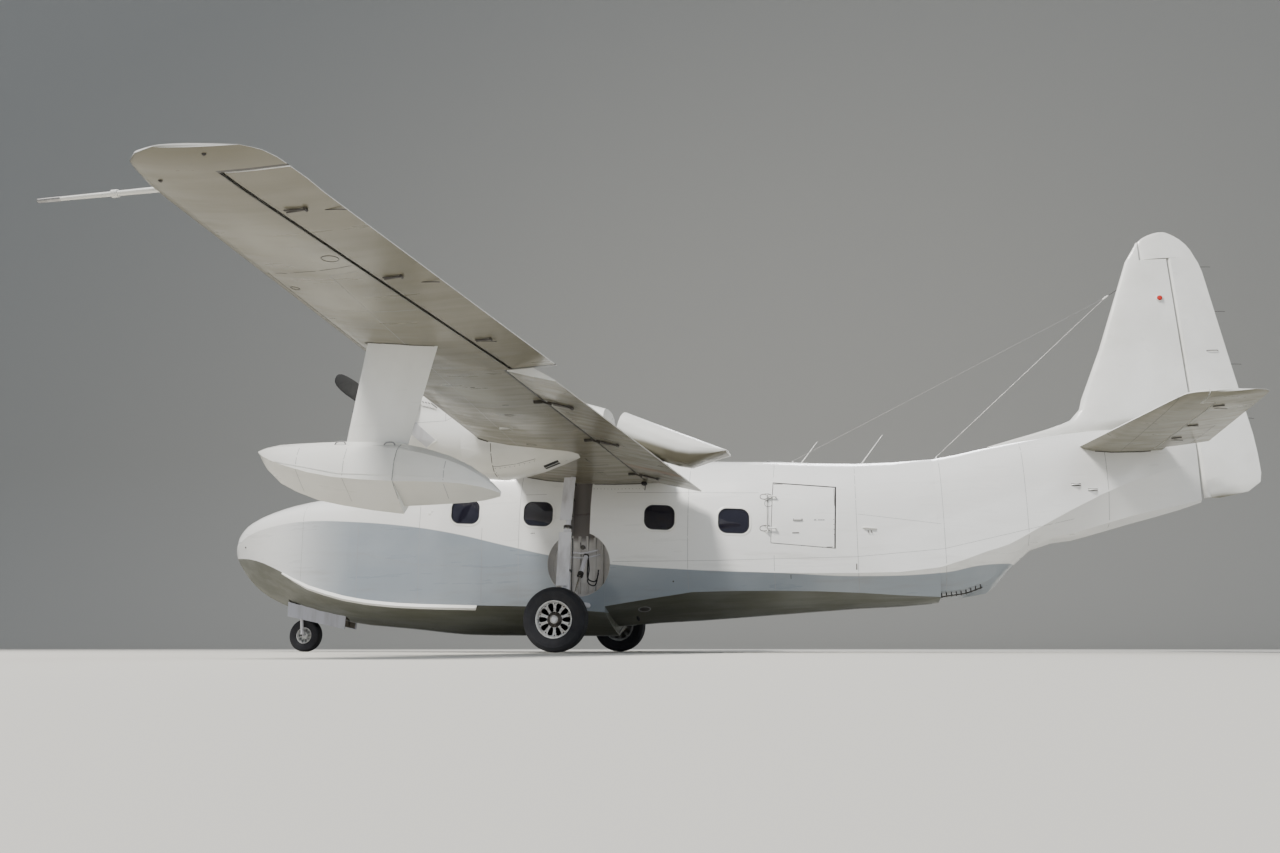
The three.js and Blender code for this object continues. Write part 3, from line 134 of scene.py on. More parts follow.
# Camera
# It stands on the floor abreast of the port side and a little behind the middle,
# which is the side that the photograph was taken from, and looks slightly up.
CAMERA_BEARING = math.radians(7.8)
CAMERA_DISTANCE = 15.0
CAMERA_HEIGHT = 0.06
LOOK_AT = Vector((-0.72, -1.2, 3.02))
LENS_LENGTH, SENSOR_WIDTH = 29.3, 36.0
lens = bpy.data.cameras.new("camera")
lens.lens, lens.sensor_width = LENS_LENGTH, SENSOR_WIDTH
lens.clip_start, lens.clip_end = 0.1, 400
camera = bpy.data.objects.new("camera", lens)
camera.location = (
    CAMERA_DISTANCE * math.sin(CAMERA_BEARING), -CAMERA_DISTANCE * math.cos(CAMERA_BEARING), CAMERA_HEIGHT,
)
camera.rotation_euler = (LOOK_AT - camera.location).to_track_quat("-Z", "Y").to_euler()
bpy.context.scene.collection.objects.link(camera)
bpy.context.scene.camera = camera

# Hull skins
# Riveted aluminium sheets over frames, painted gloss white. Below the knuckle, where the flank
# turns down, blue-grey painted shade darkens it. The sheets dish a little between the frames.
FLANK_LINE = (
    (0.0, 1.48), (0.4, 1.72), (1.15, 1.86), (1.65, 1.88), (2.25, 1.85), (3.1, 1.77), (3.8, 1.66),
    (4.7, 1.45), (5.4, 1.29), (6.1, 1.18), (7.3, 1.08), (8.4, 1.03), (9.5, 0.98), (10.54, 1.02),
    (11.16, 1.13), (11.76, 1.15), (12.3, 1.15), (13.05, 1.1), (14.0, 1.0),
)
LINE_LENGTH, LINE_HEIGHT = 15.0, 3.0
HULL_WHITE = (0.82, 0.82, 0.80, 1)
# Painted shade of the flank below the knuckle, where the side turns down.
FLANK_SHADE = (0.25, 0.285, 0.32, 1)
GRIME = (0.20, 0.17, 0.12, 1)
WELL_MIDDLE, WELL_REACH = (aft(5744), 1.180), 0.440
WELL_GREY = (0.52, 0.50, 0.48, 1)
SLOT_BROWN = (0.12, 0.10, 0.09, 1)


def knot(tree, kind, inputs=(), out=0, **settings):
    """One shader node with its settings and inputs, linked where an input is another's output."""
    made = tree.nodes.new("ShaderNode" + kind)
    for key, value in settings.items():
        setattr(made, key, value)
    for key, value in dict(inputs).items():
        if isinstance(value, bpy.types.NodeSocket):
            tree.links.new(value, made.inputs[key])
        else:
            made.inputs[key].default_value = value
    return made.outputs[out]


def sums(tree, operation, *values, clamp=False):
    """One sum of numbers or of other nodes' outputs."""
    return knot(tree, "Math", dict(enumerate(values)), operation=operation, use_clamp=clamp)


def ramp(tree, value, low, high, to_low=0.0, to_high=1.0):
    """A smooth step of value between low and high."""
    return knot(
        tree, "MapRange", {0: value, 1: low, 2: high, 3: to_low, 4: to_high}, interpolation_type="SMOOTHSTEP",
    )


def mixed(tree, share, first, second, mode="MIX"):
    """The first colour, giving way to the second by a share."""
    return knot(tree, "Mix", {0: share, 6: first, 7: second}, out=2, data_type="RGBA", blend_type=mode)


def new_finish(name, roughness, metallic=0.0, coat=0.0):
    """A Principled finish. The numbers that hold all over it sit on the shader's own sockets."""
    finish = bpy.data.materials.new(name)
    finish.use_nodes = True
    tree = finish.node_tree
    shader = tree.nodes["Principled BSDF"]
    shader.inputs["Roughness"].default_value = roughness
    shader.inputs["Metallic"].default_value = metallic
    shader.inputs["Coat Weight"].default_value = coat
    shader.inputs["Coat Roughness"].default_value = 0.08
    place = knot(tree, "TexCoord", out="Object")
    return finish, tree, shader, place


def cloud(tree, place, scale, stretch=(1, 1, 1), detail=4.0, roughness=0.55):
    """Noise over object coordinates, drawn out by stretch."""
    turned = knot(tree, "Mapping", {"Vector": place, "Scale": stretch})
    return knot(
        tree, "TexNoise", {"Vector": turned, "Scale": scale, "Detail": detail, "Roughness": roughness},
        out="Fac",
    )


def relief(tree, shader, height, depth, strength):
    """Fine unevenness of a surface, so deep in metres."""
    bumped = knot(tree, "Bump", {"Height": height, "Strength": strength, "Distance": depth})
    tree.links.new(bumped, shader.inputs["Normal"])


def hull_paint_and_shade():
    """White with blue-grey painted shade below the flank line, with grey wheel wells and brown leg slots."""
    finish, tree, shader, place = new_finish("hull paint and shade", 0.32, coat=0.35)
    split = tree.nodes.new("ShaderNodeSeparateXYZ")
    tree.links.new(place, split.inputs[0])
    x, height = split.outputs[0], split.outputs[2]
    along = sums(tree, "DIVIDE", sums(tree, "SUBTRACT", x, STEM), LINE_LENGTH, clamp=True)
    line = tree.nodes.new("ShaderNodeFloatCurve")
    curve = line.mapping.curves[0]
    for station, level in FLANK_LINE[1:-1]:
        curve.points.new(station / LINE_LENGTH, level / LINE_HEIGHT)
    curve.points[0].location = (0.0, FLANK_LINE[0][1] / LINE_HEIGHT)
    curve.points[-1].location = (1.0, FLANK_LINE[-1][1] / LINE_HEIGHT)
    line.mapping.update()
    tree.links.new(along, line.inputs["Value"])
    level = sums(tree, "MULTIPLY", line.outputs[0], LINE_HEIGHT)
    # Below the flank line the white gives way to the painted shade, which thins out towards the bow.
    below = ramp(tree, sums(tree, "SUBTRACT", level, height), -0.006, 0.006)
    fade = ramp(tree, x, aft(700), aft(2500), 0.12, 1.0)
    base = mixed(tree, sums(tree, "MULTIPLY", below, fade), HULL_WHITE, FLANK_SHADE)
    from_middle = sums(tree, "SUBTRACT", x, WELL_MIDDLE[0])
    over_middle = sums(tree, "SUBTRACT", height, WELL_MIDDLE[1])
    round_well = ramp(tree, sums(tree, "SQRT", sums(
        tree, "ADD", sums(tree, "POWER", from_middle, 2.0), sums(tree, "POWER", over_middle, 2.0),
    )), WELL_REACH + 0.0015, WELL_REACH - 0.0005)
    base = mixed(tree, round_well, base, WELL_GREY)
    slot = sums(tree, "MULTIPLY", ramp(tree, sums(tree, "ABSOLUTE", from_middle), 0.1515, 0.1495),
                ramp(tree, over_middle, 0.30, 0.40))
    slot = sums(tree, "MULTIPLY", slot, ramp(tree, height, 2.40, 2.32))
    base = mixed(tree, slot, base, SLOT_BROWN)
    tone = cloud(tree, place, 0.9, (1, 1, 1.6))
    base = mixed(tree, ramp(tree, tone, 0.35, 0.7, 0.0, 0.10), base, (0.62, 0.62, 0.60, 1))
    streak = cloud(tree, place, 3.0, (0.35, 1.0, 3.0), detail=8.0)
    low = ramp(tree, height, 1.9, 0.7, 0.03, 0.34)
    base = mixed(tree, sums(tree, "MULTIPLY", ramp(tree, streak, 0.52, 0.78), low), base, GRIME)
    tree.links.new(base, shader.inputs["Base Color"])
    tree.links.new(ramp(tree, streak, 0.3, 0.8, 0.26, 0.46), shader.inputs["Roughness"])
    dish = cloud(tree, place, 1.7, (1, 1, 1), detail=1.5, roughness=0.4)
    relief(tree, shader, dish, 0.05, 0.5)
    return finish


def dress(node, finish, crease=34, corner=None):
    """A node's skin with its corners joined. Curved sheets shade smoothly, and real edges stay sharp."""
    source = frame["nodes"][node]
    form = bmesh.new()
    form.from_mesh(source.data)
    bmesh.ops.remove_doubles(form, verts=form.verts, dist=2e-5)
    form.normal_update()
    limit = math.radians(crease)
    for edge in form.edges:
        sharp = len(edge.link_faces) != 2 or edge.calc_face_angle(0) > limit
        edge.smooth = not (sharp or (corner is not None and corner(edge)))
    for face in form.faces:
        face.smooth = True
    mesh = bpy.data.meshes.new(node + "_skin")
    form.to_mesh(mesh)
    form.free()
    if "custom_normal" in mesh.attributes:
        mesh.attributes.remove(mesh.attributes["custom_normal"])
    mesh.materials.clear()
    mesh.materials.append(finish)
    piece = bpy.data.objects.new(mesh.name, mesh)
    bpy.context.scene.collection.objects.link(piece)
    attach(piece, source["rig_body"])
    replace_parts(piece, node)
    return piece


def knuckle_edge(edge):
    """The line where the side turns from upright to facing down."""
    if len(edge.link_faces) != 2 or edge.calc_face_angle(0) < math.radians(7):
        return False
    run = (edge.verts[1].co - edge.verts[0].co).normalized()
    slopes = sorted(face.normal.z for face in edge.link_faces)
    return abs(run.x) > 0.6 and slopes[0] < -0.02 <= slopes[1] + 0.04 and slopes[1] > -0.06


white_hull = hull_paint_and_shade()
for node in ("cabin_shell", "bow", "tail_cone"):
    dress(node, white_hull, crease=30, corner=knuckle_edge)

# Planing bottom
# The two steps of the hull's bottom, sheet metal in a grey sea paint, made dark and olive by painted
# shade and a painted reflection of grassy ground, scoured along the keel and the chines and streaked aft by
# water.
# Grey paint darkened and tinted olive: painted shade and a painted ground reflection.
BOTTOM_SHADED = (0.105, 0.108, 0.082, 1)
BOTTOM_WORN = (0.20, 0.20, 0.16, 1)


def bottom_paint_and_shade():
    """Grey sea paint under olive painted shade, in faded patches, scoured and streaked aft."""
    finish, tree, shader, place = new_finish("bottom paint and shade", 0.5, coat=0.1)
    patches = cloud(tree, place, 1.1, (0.6, 1, 1))
    base = mixed(tree, ramp(tree, patches, 0.42, 0.62), BOTTOM_SHADED, (0.145, 0.152, 0.130, 1))
    scour = cloud(tree, place, 5.0, (0.15, 1.4, 1.4), detail=8.0)
    base = mixed(tree, ramp(tree, scour, 0.55, 0.75, 0.0, 0.22), base, BOTTOM_WORN)
    streak = cloud(tree, place, 2.2, (0.22, 2.0, 2.0), detail=6.0)
    base = mixed(tree, ramp(tree, streak, 0.6, 0.8, 0.0, 0.4), base, GRIME)
    tree.links.new(base, shader.inputs["Base Color"])
    tree.links.new(ramp(tree, scour, 0.3, 0.7, 0.38, 0.62), shader.inputs["Roughness"])
    relief(tree, shader, cloud(tree, place, 2.0, detail=2.0), 0.04, 0.5)
    return finish


sea_bottom = bottom_paint_and_shade()
for node in ("forebody_bottom", "afterbody_bottom"):
    dress(node, sea_bottom, crease=24)

# Wing, tail, floats and nacelles
# Thin aluminium skins painted the same white; underneath, painted shade with a warm ground reflection
# makes them olive-tan. Soot and oil have run aft from the engines, and painted shade darkens every hinge gap.
SKIN_WHITE = (0.82, 0.82, 0.79, 1)
# Painted shade and warm ground reflection of a wing's underside.
UNDERSIDE_SHADE = (0.155, 0.142, 0.098, 1)


def blot(tree, place, centre, reach, low=0.25, high=1.0):
    """One in the middle of an egg-shaped stain, fading to nothing at its edge."""
    gone = knot(tree, "VectorMath", {0: place, 1: centre}, operation="SUBTRACT")
    scaled = knot(tree, "VectorMath", {0: gone, 1: reach}, operation="DIVIDE")
    span = knot(tree, "VectorMath", {0: scaled}, operation="LENGTH", out="Value")
    return ramp(tree, span, low, high, 1.0, 0.0)


# Painted shade of the hinge gaps.
GAP_SHADE = (0.030, 0.026, 0.020, 1)
# Each hinge line: the span from and to, its station in millimetres at a span, and its sweep.
FLAP_HINGE = (1.0, 6.10, 6676.0, 950.0, 0.0590)
AILERON_HINGE = (6.11, 9.96, 6436.0, 6120.0, 0.1235)
BRACKET_SPANS = (1.50, 3.42, 5.08)
BRACKET_LEVEL, BRACKET_RISE = 2.297, 0.042


def hinge_station(line, span):
    """How far behind the stem a hinge line lies at a span, in millimetres."""
    station, start, sweep = line[2:]
    return station - (span * 1000 - start) * sweep


def hinge_shade(tree, place, fore):
    """Painted shade along the hinge gaps: behind the line on a wing, ahead of it on a flap. The flap's hinge
    brackets below the wing are darkened the same.
    """
    split = tree.nodes.new("ShaderNodeSeparateXYZ")
    tree.links.new(place, split.inputs[0])
    span = sums(tree, "ABSOLUTE", split.outputs[1])
    dark = None
    for first, last, station, start, sweep in (FLAP_HINGE, AILERON_HINGE):
        line = sums(
            tree, "SUBTRACT", aft(station) + start / 1000 * sweep, sums(tree, "MULTIPLY", span, sweep)
        )
        behind = sums(tree, "SUBTRACT", split.outputs[0], line)
        band = ramp(tree, behind, 0.010, -0.002) if fore else ramp(tree, behind, -0.016, -0.008)
        band = sums(tree, "MULTIPLY", band, ramp(tree, span, first - 0.002, first))
        band = sums(tree, "MULTIPLY", band, ramp(tree, span, last + 0.002, last))
        dark = band if dark is None else sums(tree, "MAXIMUM", dark, band)
        if station == FLAP_HINGE[2]:
            reach = (ramp(tree, behind, 0.130, 0.120), ramp(tree, behind, -0.11, -0.105))[0 if fore else 1]
            level = sums(tree, "MULTIPLY_ADD", span, BRACKET_RISE, BRACKET_LEVEL)
            low = ramp(tree, sums(tree, "SUBTRACT", split.outputs[2], level), 0.004, 0.0)
            for middle in BRACKET_SPANS:
                off = sums(tree, "ABSOLUTE", sums(tree, "SUBTRACT", span, middle))
                bracket = sums(
                    tree, "MULTIPLY", sums(tree, "MULTIPLY", ramp(tree, off, 0.0195, 0.0188), reach), low
                )
                dark = sums(tree, "MAXIMUM", dark, bracket)
    return dark


def skin_paint_and_shade(name, under, stains=(), dirt=0.14, along=(0.25, 2.2, 2.2), hinge=None):
    """White paint that turns to the under colour, a painted shade, where the skin faces down, with stains at
    places.
    """
    finish, tree, shader, place = new_finish(name, 0.34, coat=0.3)
    facing = knot(tree, "TexCoord", out="Normal")
    split = tree.nodes.new("ShaderNodeSeparateXYZ")
    tree.links.new(facing, split.inputs[0])
    # Faces that point down turn to the under colour: painted shade.
    down = ramp(tree, split.outputs[2], -0.05, -0.5)
    base = mixed(tree, down, SKIN_WHITE, under)
    tone = cloud(tree, place, 1.3, (1, 1, 1))
    base = mixed(tree, ramp(tree, tone, 0.35, 0.72, 0.0, 0.22), base, (0.56, 0.54, 0.46, 1), "MULTIPLY")
    streak = cloud(tree, place, 4.0, along, detail=8.0)
    base = mixed(tree, ramp(tree, streak, 0.56, 0.8, 0.0, dirt), base, GRIME)
    for centre, reach, colour, share in stains:
        broken = sums(
            tree, "MULTIPLY", blot(tree, place, centre, reach), ramp(tree, streak, 0.25, 0.6, 0.35, 1.0)
        )
        if hinge is not None:
            broken = sums(tree, "MULTIPLY", broken, down)
        base = mixed(tree, sums(tree, "MULTIPLY", broken, share), base, colour)
    if hinge is not None:
        # Painted shade along the hinge gaps.
        base = mixed(tree, hinge_shade(tree, place, hinge == "fore"), base, GAP_SHADE)
    tree.links.new(base, shader.inputs["Base Color"])
    tree.links.new(ramp(tree, streak, 0.3, 0.8, 0.27, 0.5), shader.inputs["Roughness"])
    relief(tree, shader, cloud(tree, place, 2.6, detail=1.5, roughness=0.4), 0.03, 0.5)
    return finish


SOOT = (0.075, 0.062, 0.045, 1)
OIL = (0.16, 0.105, 0.055, 1)
SCORCH = (0.20, 0.095, 0.040, 1)
# Paler patches in the underside's painted shade.
PALER_UNDER_SHADE = (0.27, 0.258, 0.205, 1)
wing_stains = [
    ((aft(5600), side * 2.6, 2.5), (1.2, 0.55, 0.5), SOOT, 0.30) for side in (-1, 1)
] + [
    ((aft(5650), side * 1.2, 2.5), (0.9, 0.35, 0.5), OIL, 0.25) for side in (-1, 1)
] + [
    ((aft(x), side * y, 2.6), (0.36, wide, 0.5), PALER_UNDER_SHADE, 0.75) for side in (-1, 1)
    for x, y, wide in ((5750, 9.0, 0.55), (5700, 7.9, 0.60), (6000, 8.6, 0.30), (5820, 5.4, 0.7))
]
flap_stains = [
    ((aft(7050), side * 2.05, 2.40), (1.0, 0.17, 0.6), SCORCH, 0.9) for side in (-1, 1)
] + [
    ((aft(6900), side * 1.70, 2.35), (0.8, 0.30, 0.6), SOOT, 0.32) for side in (-1, 1)
]
# Each skin's under colour is the painted shade of its downward faces.
wing_paint = skin_paint_and_shade("wing paint and shade", UNDERSIDE_SHADE, wing_stains, hinge="behind")
flap_paint = skin_paint_and_shade("flap paint and shade", UNDERSIDE_SHADE, flap_stains, dirt=0.2, hinge="fore")
tail_paint = skin_paint_and_shade("tail paint and shade", (0.21, 0.198, 0.145, 1), dirt=0.08, along=(0.6, 2.0, 0.6))
float_paint = skin_paint_and_shade("float paint and shade", (0.66, 0.65, 0.60, 1), dirt=0.1)
cowl_stains = [((aft(4500), side * (2.6 + lean * 0.42), 3.05), (0.75, 0.2, 0.16), SOOT, 0.32)
               for side in (-1, 1) for lean in (-1, 1)]
cowl_paint = skin_paint_and_shade("nacelle paint and shade", (0.70, 0.69, 0.64, 1), cowl_stains, dirt=0.12)
for hand in ("left", "right"):
    dress(f"wing_{hand}", wing_paint)
    dress(f"aileron_{hand}", flap_paint)
    dress(f"flap_{hand}", flap_paint)
    dress(f"stabiliser_{hand}", tail_paint)
    dress(f"elevator_{hand}", tail_paint)
    dress(f"float_{hand}", float_paint, crease=26)
    dress(f"float_strut_{hand}", float_paint)
    dress(f"nacelle_{hand}", cowl_paint, crease=38)
    dress(f"cowl_{hand}", cowl_paint, crease=38)
    dress(f"spray_rail_{hand}", float_paint)
for node in ("fin", "rudder"):
    dress(node, tail_paint)
dress("cabin_door", white_hull, crease=30)

# Propellers
# A polished aluminium spinner over a steel hub, with three black blades whose leading edges
# the spray has worn bright. The blades are clamped in the hub at their roots.
ENGINE_Y = 2.6
THRUST_Z = 3.07
SPINNER = ((0.0, 0.0), (0.012, 0.020), (0.05, 0.052), (0.13, 0.098), (0.25, 0.147), (0.37, 0.182),
           (0.46, 0.203), (0.505, 0.212), (0.515, 0.208), (0.525, 0.212), (0.535, 0.2235), (0.553, 0.2235),
           (0.555, 0.205), (0.555, 0.0))
SPINNER_TIP = aft(3093)
BLADE_X = aft(3520)
BLADE_PHASE, BLADE_SIDES = 85, 18
# Each station of a blade: its radius, chord and thickness in metres, and its pitch in degrees.
BLADE_STATIONS = (
    (0.16, 0.085, 0.078, 55), (0.225, 0.095, 0.072, 52), (0.30, 0.145, 0.044, 45), (0.45, 0.182, 0.034, 38.5),
    (0.70, 0.204, 0.025, 32), (0.92, 0.200, 0.019, 27.5), (1.10, 0.183, 0.014, 24), (1.21, 0.150, 0.011, 22),
    (1.27, 0.105, 0.009, 21), (1.296, 0.052, 0.006, 20),
)


def blade_section():
    """A round-nosed section of chord one: full on its back, flatter on its face and thin behind."""
    points = []
    for turn in np.linspace(0, 2 * math.pi, BLADE_SIDES, endpoint=False):
        bulge = 1.0 if math.sin(turn) > 0 else 0.45
        taper = (0.62 - 0.38 * math.cos(turn)) / 0.8
        points.append((math.cos(turn) * 0.5, math.sin(turn) * 0.5 * bulge * taper))
    return points


def ring_faces(form, rings, caps=(True, True), kind=0):
    """Join rings of points into one closed skin."""
    rows = [[form.verts.new(spot) for spot in ring] for ring in rings]
    count = len(rows[0])
    for first, second in zip(rows, rows[1:]):
        for i in range(count):
            k = (i + 1) % count
            form.faces.new((first[i], first[k], second[k], second[i])).material_index = kind
    for wanted, row in zip(caps, (rows[0][::-1], rows[-1])):
        if wanted:
            form.faces.new(row).material_index = kind
    return rows


def revolve(form, profile, centre, axis, sides=40, kind=0, closed=False):
    """Spin a profile of (along, radius) about an axis through centre."""
    axis = Vector(axis).normalized()
    across = axis.orthogonal().normalized()
    up = axis.cross(across)
    turns = [2 * math.pi * i / sides for i in range(sides)]
    rows = []
    for along, radius in profile:
        middle = Vector(centre) + axis * along
        if radius < 1e-6:
            rows.append([form.verts.new(middle)])
        else:
            rows.append([
                form.verts.new(middle + (across * math.cos(t) + up * math.sin(t)) * radius) for t in turns
            ])
    pairs = list(zip(rows, rows[1:])) + ([(rows[-1], rows[0])] if closed else [])
    for first, second in pairs:
        for i in range(sides):
            k = (i + 1) % sides
            if len(first) == 1 and len(second) == 1:
                continue
            if len(first) == 1:
                corners = (first[0], second[k], second[i])
            elif len(second) == 1:
                corners = (first[i], first[k], second[0])
            else:
                corners = (first[i], first[k], second[k], second[i])
            form.faces.new(corners).material_index = kind


def settle(name, form, finishes, body, crease=35):
    """Close a form into a piece that rides a body. Its corners shade sharp past the crease angle."""
    bmesh.ops.recalc_face_normals(form, faces=form.faces)
    form.normal_update()
    for edge in form.edges:
        edge.smooth = len(edge.link_faces) == 2 and edge.calc_face_angle(0) < math.radians(crease)
    for face in form.faces:
        face.smooth = True
    mesh = bpy.data.meshes.new(name)
    form.to_mesh(mesh)
    form.free()
    for finish in finishes if isinstance(finishes, (list, tuple)) else [finishes]:
        mesh.materials.append(finish)
    piece = bpy.data.objects.new(name, mesh)
    bpy.context.scene.collection.objects.link(piece)
    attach(piece, body)
    return piece


def metal(name, colour, roughness, grain, smudge=0.3, brushed=(1, 1, 1)):
    """Bare or plated metal with smudges in its shine and a fine grain."""
    finish, tree, shader, place = new_finish(name, roughness, metallic=1.0)
    marks = cloud(tree, place, grain, brushed, detail=6.0)
    darker = tuple(value * (1 - smudge) for value in colour[:3]) + (1,)
    tree.links.new(mixed(tree, ramp(tree, marks, 0.4, 0.75), colour, darker), shader.inputs["Base Color"])
    spread = ramp(tree, marks, 0.3, 0.75, max(roughness - 0.06, 0.03), roughness + 0.2)
    tree.links.new(spread, shader.inputs["Roughness"])
    relief(tree, shader, marks, 0.0006, 0.4)
    return finish


def blade_paint():
    """Black paint, worn to bare metal in flecks along the leading edge."""
    finish, tree, shader, place = new_finish("blade paint", 0.36)
    fleck = cloud(tree, place, 14.0, (2.5, 1, 1), detail=8.0)
    worn = ramp(tree, fleck, 0.70, 0.76)
    base = mixed(tree, worn, (0.016, 0.017, 0.020, 1), (0.13, 0.13, 0.13, 1))
    tree.links.new(base, shader.inputs["Base Color"])
    tree.links.new(ramp(tree, fleck, 0.35, 0.7, 0.3, 0.5), shader.inputs["Roughness"])
    relief(tree, shader, fleck, 0.0006, 0.3)
    return finish


polished = metal("polished spinner", (0.78, 0.78, 0.77, 1), 0.10, 9.0, smudge=0.18, brushed=(3, 1, 1))
steel = metal("dull steel", (0.42, 0.41, 0.40, 1), 0.38, 16.0)
black_blades = blade_paint()
round_section = blade_section()
for hand, side in (("left", -1), ("right", 1)):
    form = bmesh.new()
    hub = Vector((SPINNER_TIP, side * ENGINE_Y, THRUST_Z))
    revolve(form, SPINNER, hub, (1, 0, 0), sides=64)
    for number in range(3):
        angle = math.radians(BLADE_PHASE + 120 * number)
        out = Vector((0, -math.sin(angle), math.cos(angle)))
        over = Vector((0, math.cos(angle), math.sin(angle)))
        root = Vector((BLADE_X, side * ENGINE_Y, THRUST_Z))
        revolve(
            form, ((0.13, 0.0), (0.13, 0.066), (0.222, 0.064), (0.232, 0.055), (0.232, 0.0)), root, out, 24,
            kind=1,
        )
        rings = []
        for radius, chord, thick, pitch in BLADE_STATIONS:
            lean = math.radians(pitch)
            along = Vector((math.sin(lean), 0, 0)) + over * math.cos(lean)
            through = Vector((math.cos(lean), 0, 0)) - over * math.sin(lean)
            rings.append([
                root + out * radius + along * (u * chord) + through * (v * thick) for u, v in round_section
            ])
        ring_faces(form, rings, kind=2)
    piece = settle(
        f"spinner_and_blades_{hand}", form, [polished, steel, black_blades], f"propeller_{hand}",
    )
    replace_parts(piece, f"propeller_{hand}")

# Wheels
# Cast aluminium wheels with ten tapered slots between their spokes, bolted round the rim, on
# grooved black tyres. The main wheels have a dark hub outboard and a disc brake inboard.
MAIN_WHEEL = {"x": aft(5690), "y": 1.886, "radius": 0.41, "width": 0.25, "rim": 0.235, "bore": 0.035}
NOSE_WHEEL = {"x": aft(1210), "y": 0.0, "radius": 0.243, "width": 0.16, "rim": 0.118, "bore": 0.019}
SLOT_SQUARE = 0.5


def rubber(name, colour):
    """Black rubber or dull plastic with dust in its grain."""
    finish, tree, shader, place = new_finish(name, 0.72)
    dust = cloud(tree, place, 7.0, detail=8.0)
    base = mixed(tree, ramp(tree, dust, 0.5, 0.8, 0.0, 0.22), colour, (0.08, 0.072, 0.06, 1))
    tree.links.new(base, shader.inputs["Base Color"])
    tree.links.new(ramp(tree, dust, 0.3, 0.8, 0.6, 0.9), shader.inputs["Roughness"])
    relief(tree, shader, cloud(tree, place, 90.0, detail=3.0), 0.0012, 0.4)
    return finish


def wheel_paint(name, colour, dirt):
    """Light grey wheel enamel with brake dust and grease in its corners."""
    finish, tree, shader, place = new_finish(name, 0.42, metallic=0.15)
    dust = cloud(tree, place, 9.0, detail=8.0)
    base = mixed(tree, ramp(tree, dust, 0.42, 0.75, 0.0, dirt), colour, (0.16, 0.12, 0.08, 1))
    tree.links.new(base, shader.inputs["Base Color"])
    tree.links.new(ramp(tree, dust, 0.3, 0.8, 0.34, 0.65), shader.inputs["Roughness"])
    relief(tree, shader, cloud(tree, place, 50.0, detail=3.0), 0.0008, 0.4)
    return finish


def tyre(form, wheel, centre, grooves):
    """A tyre's closed section: beads, sidewalls with a moulded rib, and a tread with grooves."""
    half, radius, rim = wheel["width"] / 2, wheel["radius"], wheel["rim"]
    side = [(0.70, rim - 0.002), (0.80, rim + 0.006), (0.83, rim + 0.020)]
    for step in range(1, 9):
        share = step / 9
        wide = 0.83 + 0.165 * math.sin(math.pi * min(share * 0.85, 0.5)) - 0.12 * max(share - 0.6, 0)
        side.append((wide, rim + 0.02 + (radius * 0.945 - rim - 0.02) * share))
        if step == 6:
            side.append((wide + 0.015, side[-1][1] + 0.003))
            side.append((wide + 0.010, side[-1][1] + 0.008))
    shoulder = [(0.86, radius * 0.955), (0.78, radius * 0.978)]
    tread = [(0.66, radius * 0.989)]
    for groove in grooves:
        tread += [(groove + 0.035, radius * (1 - 0.012 * groove)), (groove + 0.02, radius * 0.975),
                  (groove - 0.02, radius * 0.975), (groove - 0.035, radius * (1 - 0.012 * groove))]
    right = [(wide * half, height) for wide, height in side + shoulder + tread]
    middle = [(0.0, radius)] if 0 not in grooves else []
    if 0 in grooves:
        right = right[:-2]
    left = [(-along, height) for along, height in reversed(right)]
    revolve(form, right + middle + left, centre, (0, 1, 0), sides=72, closed=True)


def wheel_face(form, wheel, centre, outward, holes, dish):
    """The web between hub and rim, with tapered slots through it."""
    rim, bore = wheel["rim"], wheel["bore"]
    inner, outer = bore + (rim - bore) * 0.30, rim * 0.90
    level = wheel["width"] * 0.5 * dish
    points = 6
    for hole in range(holes):
        middle = 2 * math.pi * hole / holes
        half = math.pi / holes
        border, opening = [], []
        corners = ((inner, -half), (inner, half), (outer, half), (outer, -half))
        for (r0, a0), (r1, a1) in zip(corners, corners[1:] + corners[:1]):
            for step in range(points):
                share = step / points
                border.append((r0 + (r1 - r0) * share, middle + a0 + (a1 - a0) * share))
        heart, deep, wide = inner + (outer - inner) * 0.50, (outer - inner) * 0.44, half * 0.62
        for index in range(4 * points):
            turn = 2 * math.pi * (index - points * 0.5) / (4 * points) + math.pi
            u, v = math.cos(turn), math.sin(turn)
            reach = deep * math.copysign(abs(u) ** SLOT_SQUARE, u)
            opening.append((heart + reach, middle + wide * math.copysign(abs(v) ** SLOT_SQUARE, v)))

        def at(polar, depth):
            radius, angle = polar
            return Vector(centre) + Vector((
                radius * math.cos(angle), outward * depth, radius * math.sin(angle)
            ))

        front, back = level, level - 0.012
        rings = [[at(p, front) for p in border], [at(p, front) for p in opening],
                 [at(p, back) for p in opening], [at(p, back) for p in border]]
        rows = ring_faces(form, rings, caps=(False, False))
        count = len(border)
        for i in range(count):
            k = (i + 1) % count
            form.faces.new((rows[3][i], rows[3][k], rows[0][k], rows[0][i]))


def rim_profile(wheel, dish):
    """The rim barrel with its two flanges, closed."""
    half, rim = wheel["width"] / 2, wheel["rim"]
    return [
        (half * 0.74, rim - 0.001), (half * 0.80, rim + 0.004), (half * 0.84, rim + 0.003),
        (half * 0.84, rim - 0.004), (half * 0.78, rim * 0.94), (half * (dish + 0.05), rim * 0.885),
        (half * dish - 0.012, rim * 0.885), (-half * 0.6, rim * 0.90), (-half * 0.84, rim - 0.006),
        (-half * 0.84, rim + 0.003), (-half * 0.80, rim + 0.004), (-half * 0.74, rim - 0.001),
        (-half * 0.5, rim - 0.004), (half * 0.5, rim - 0.004),
    ]


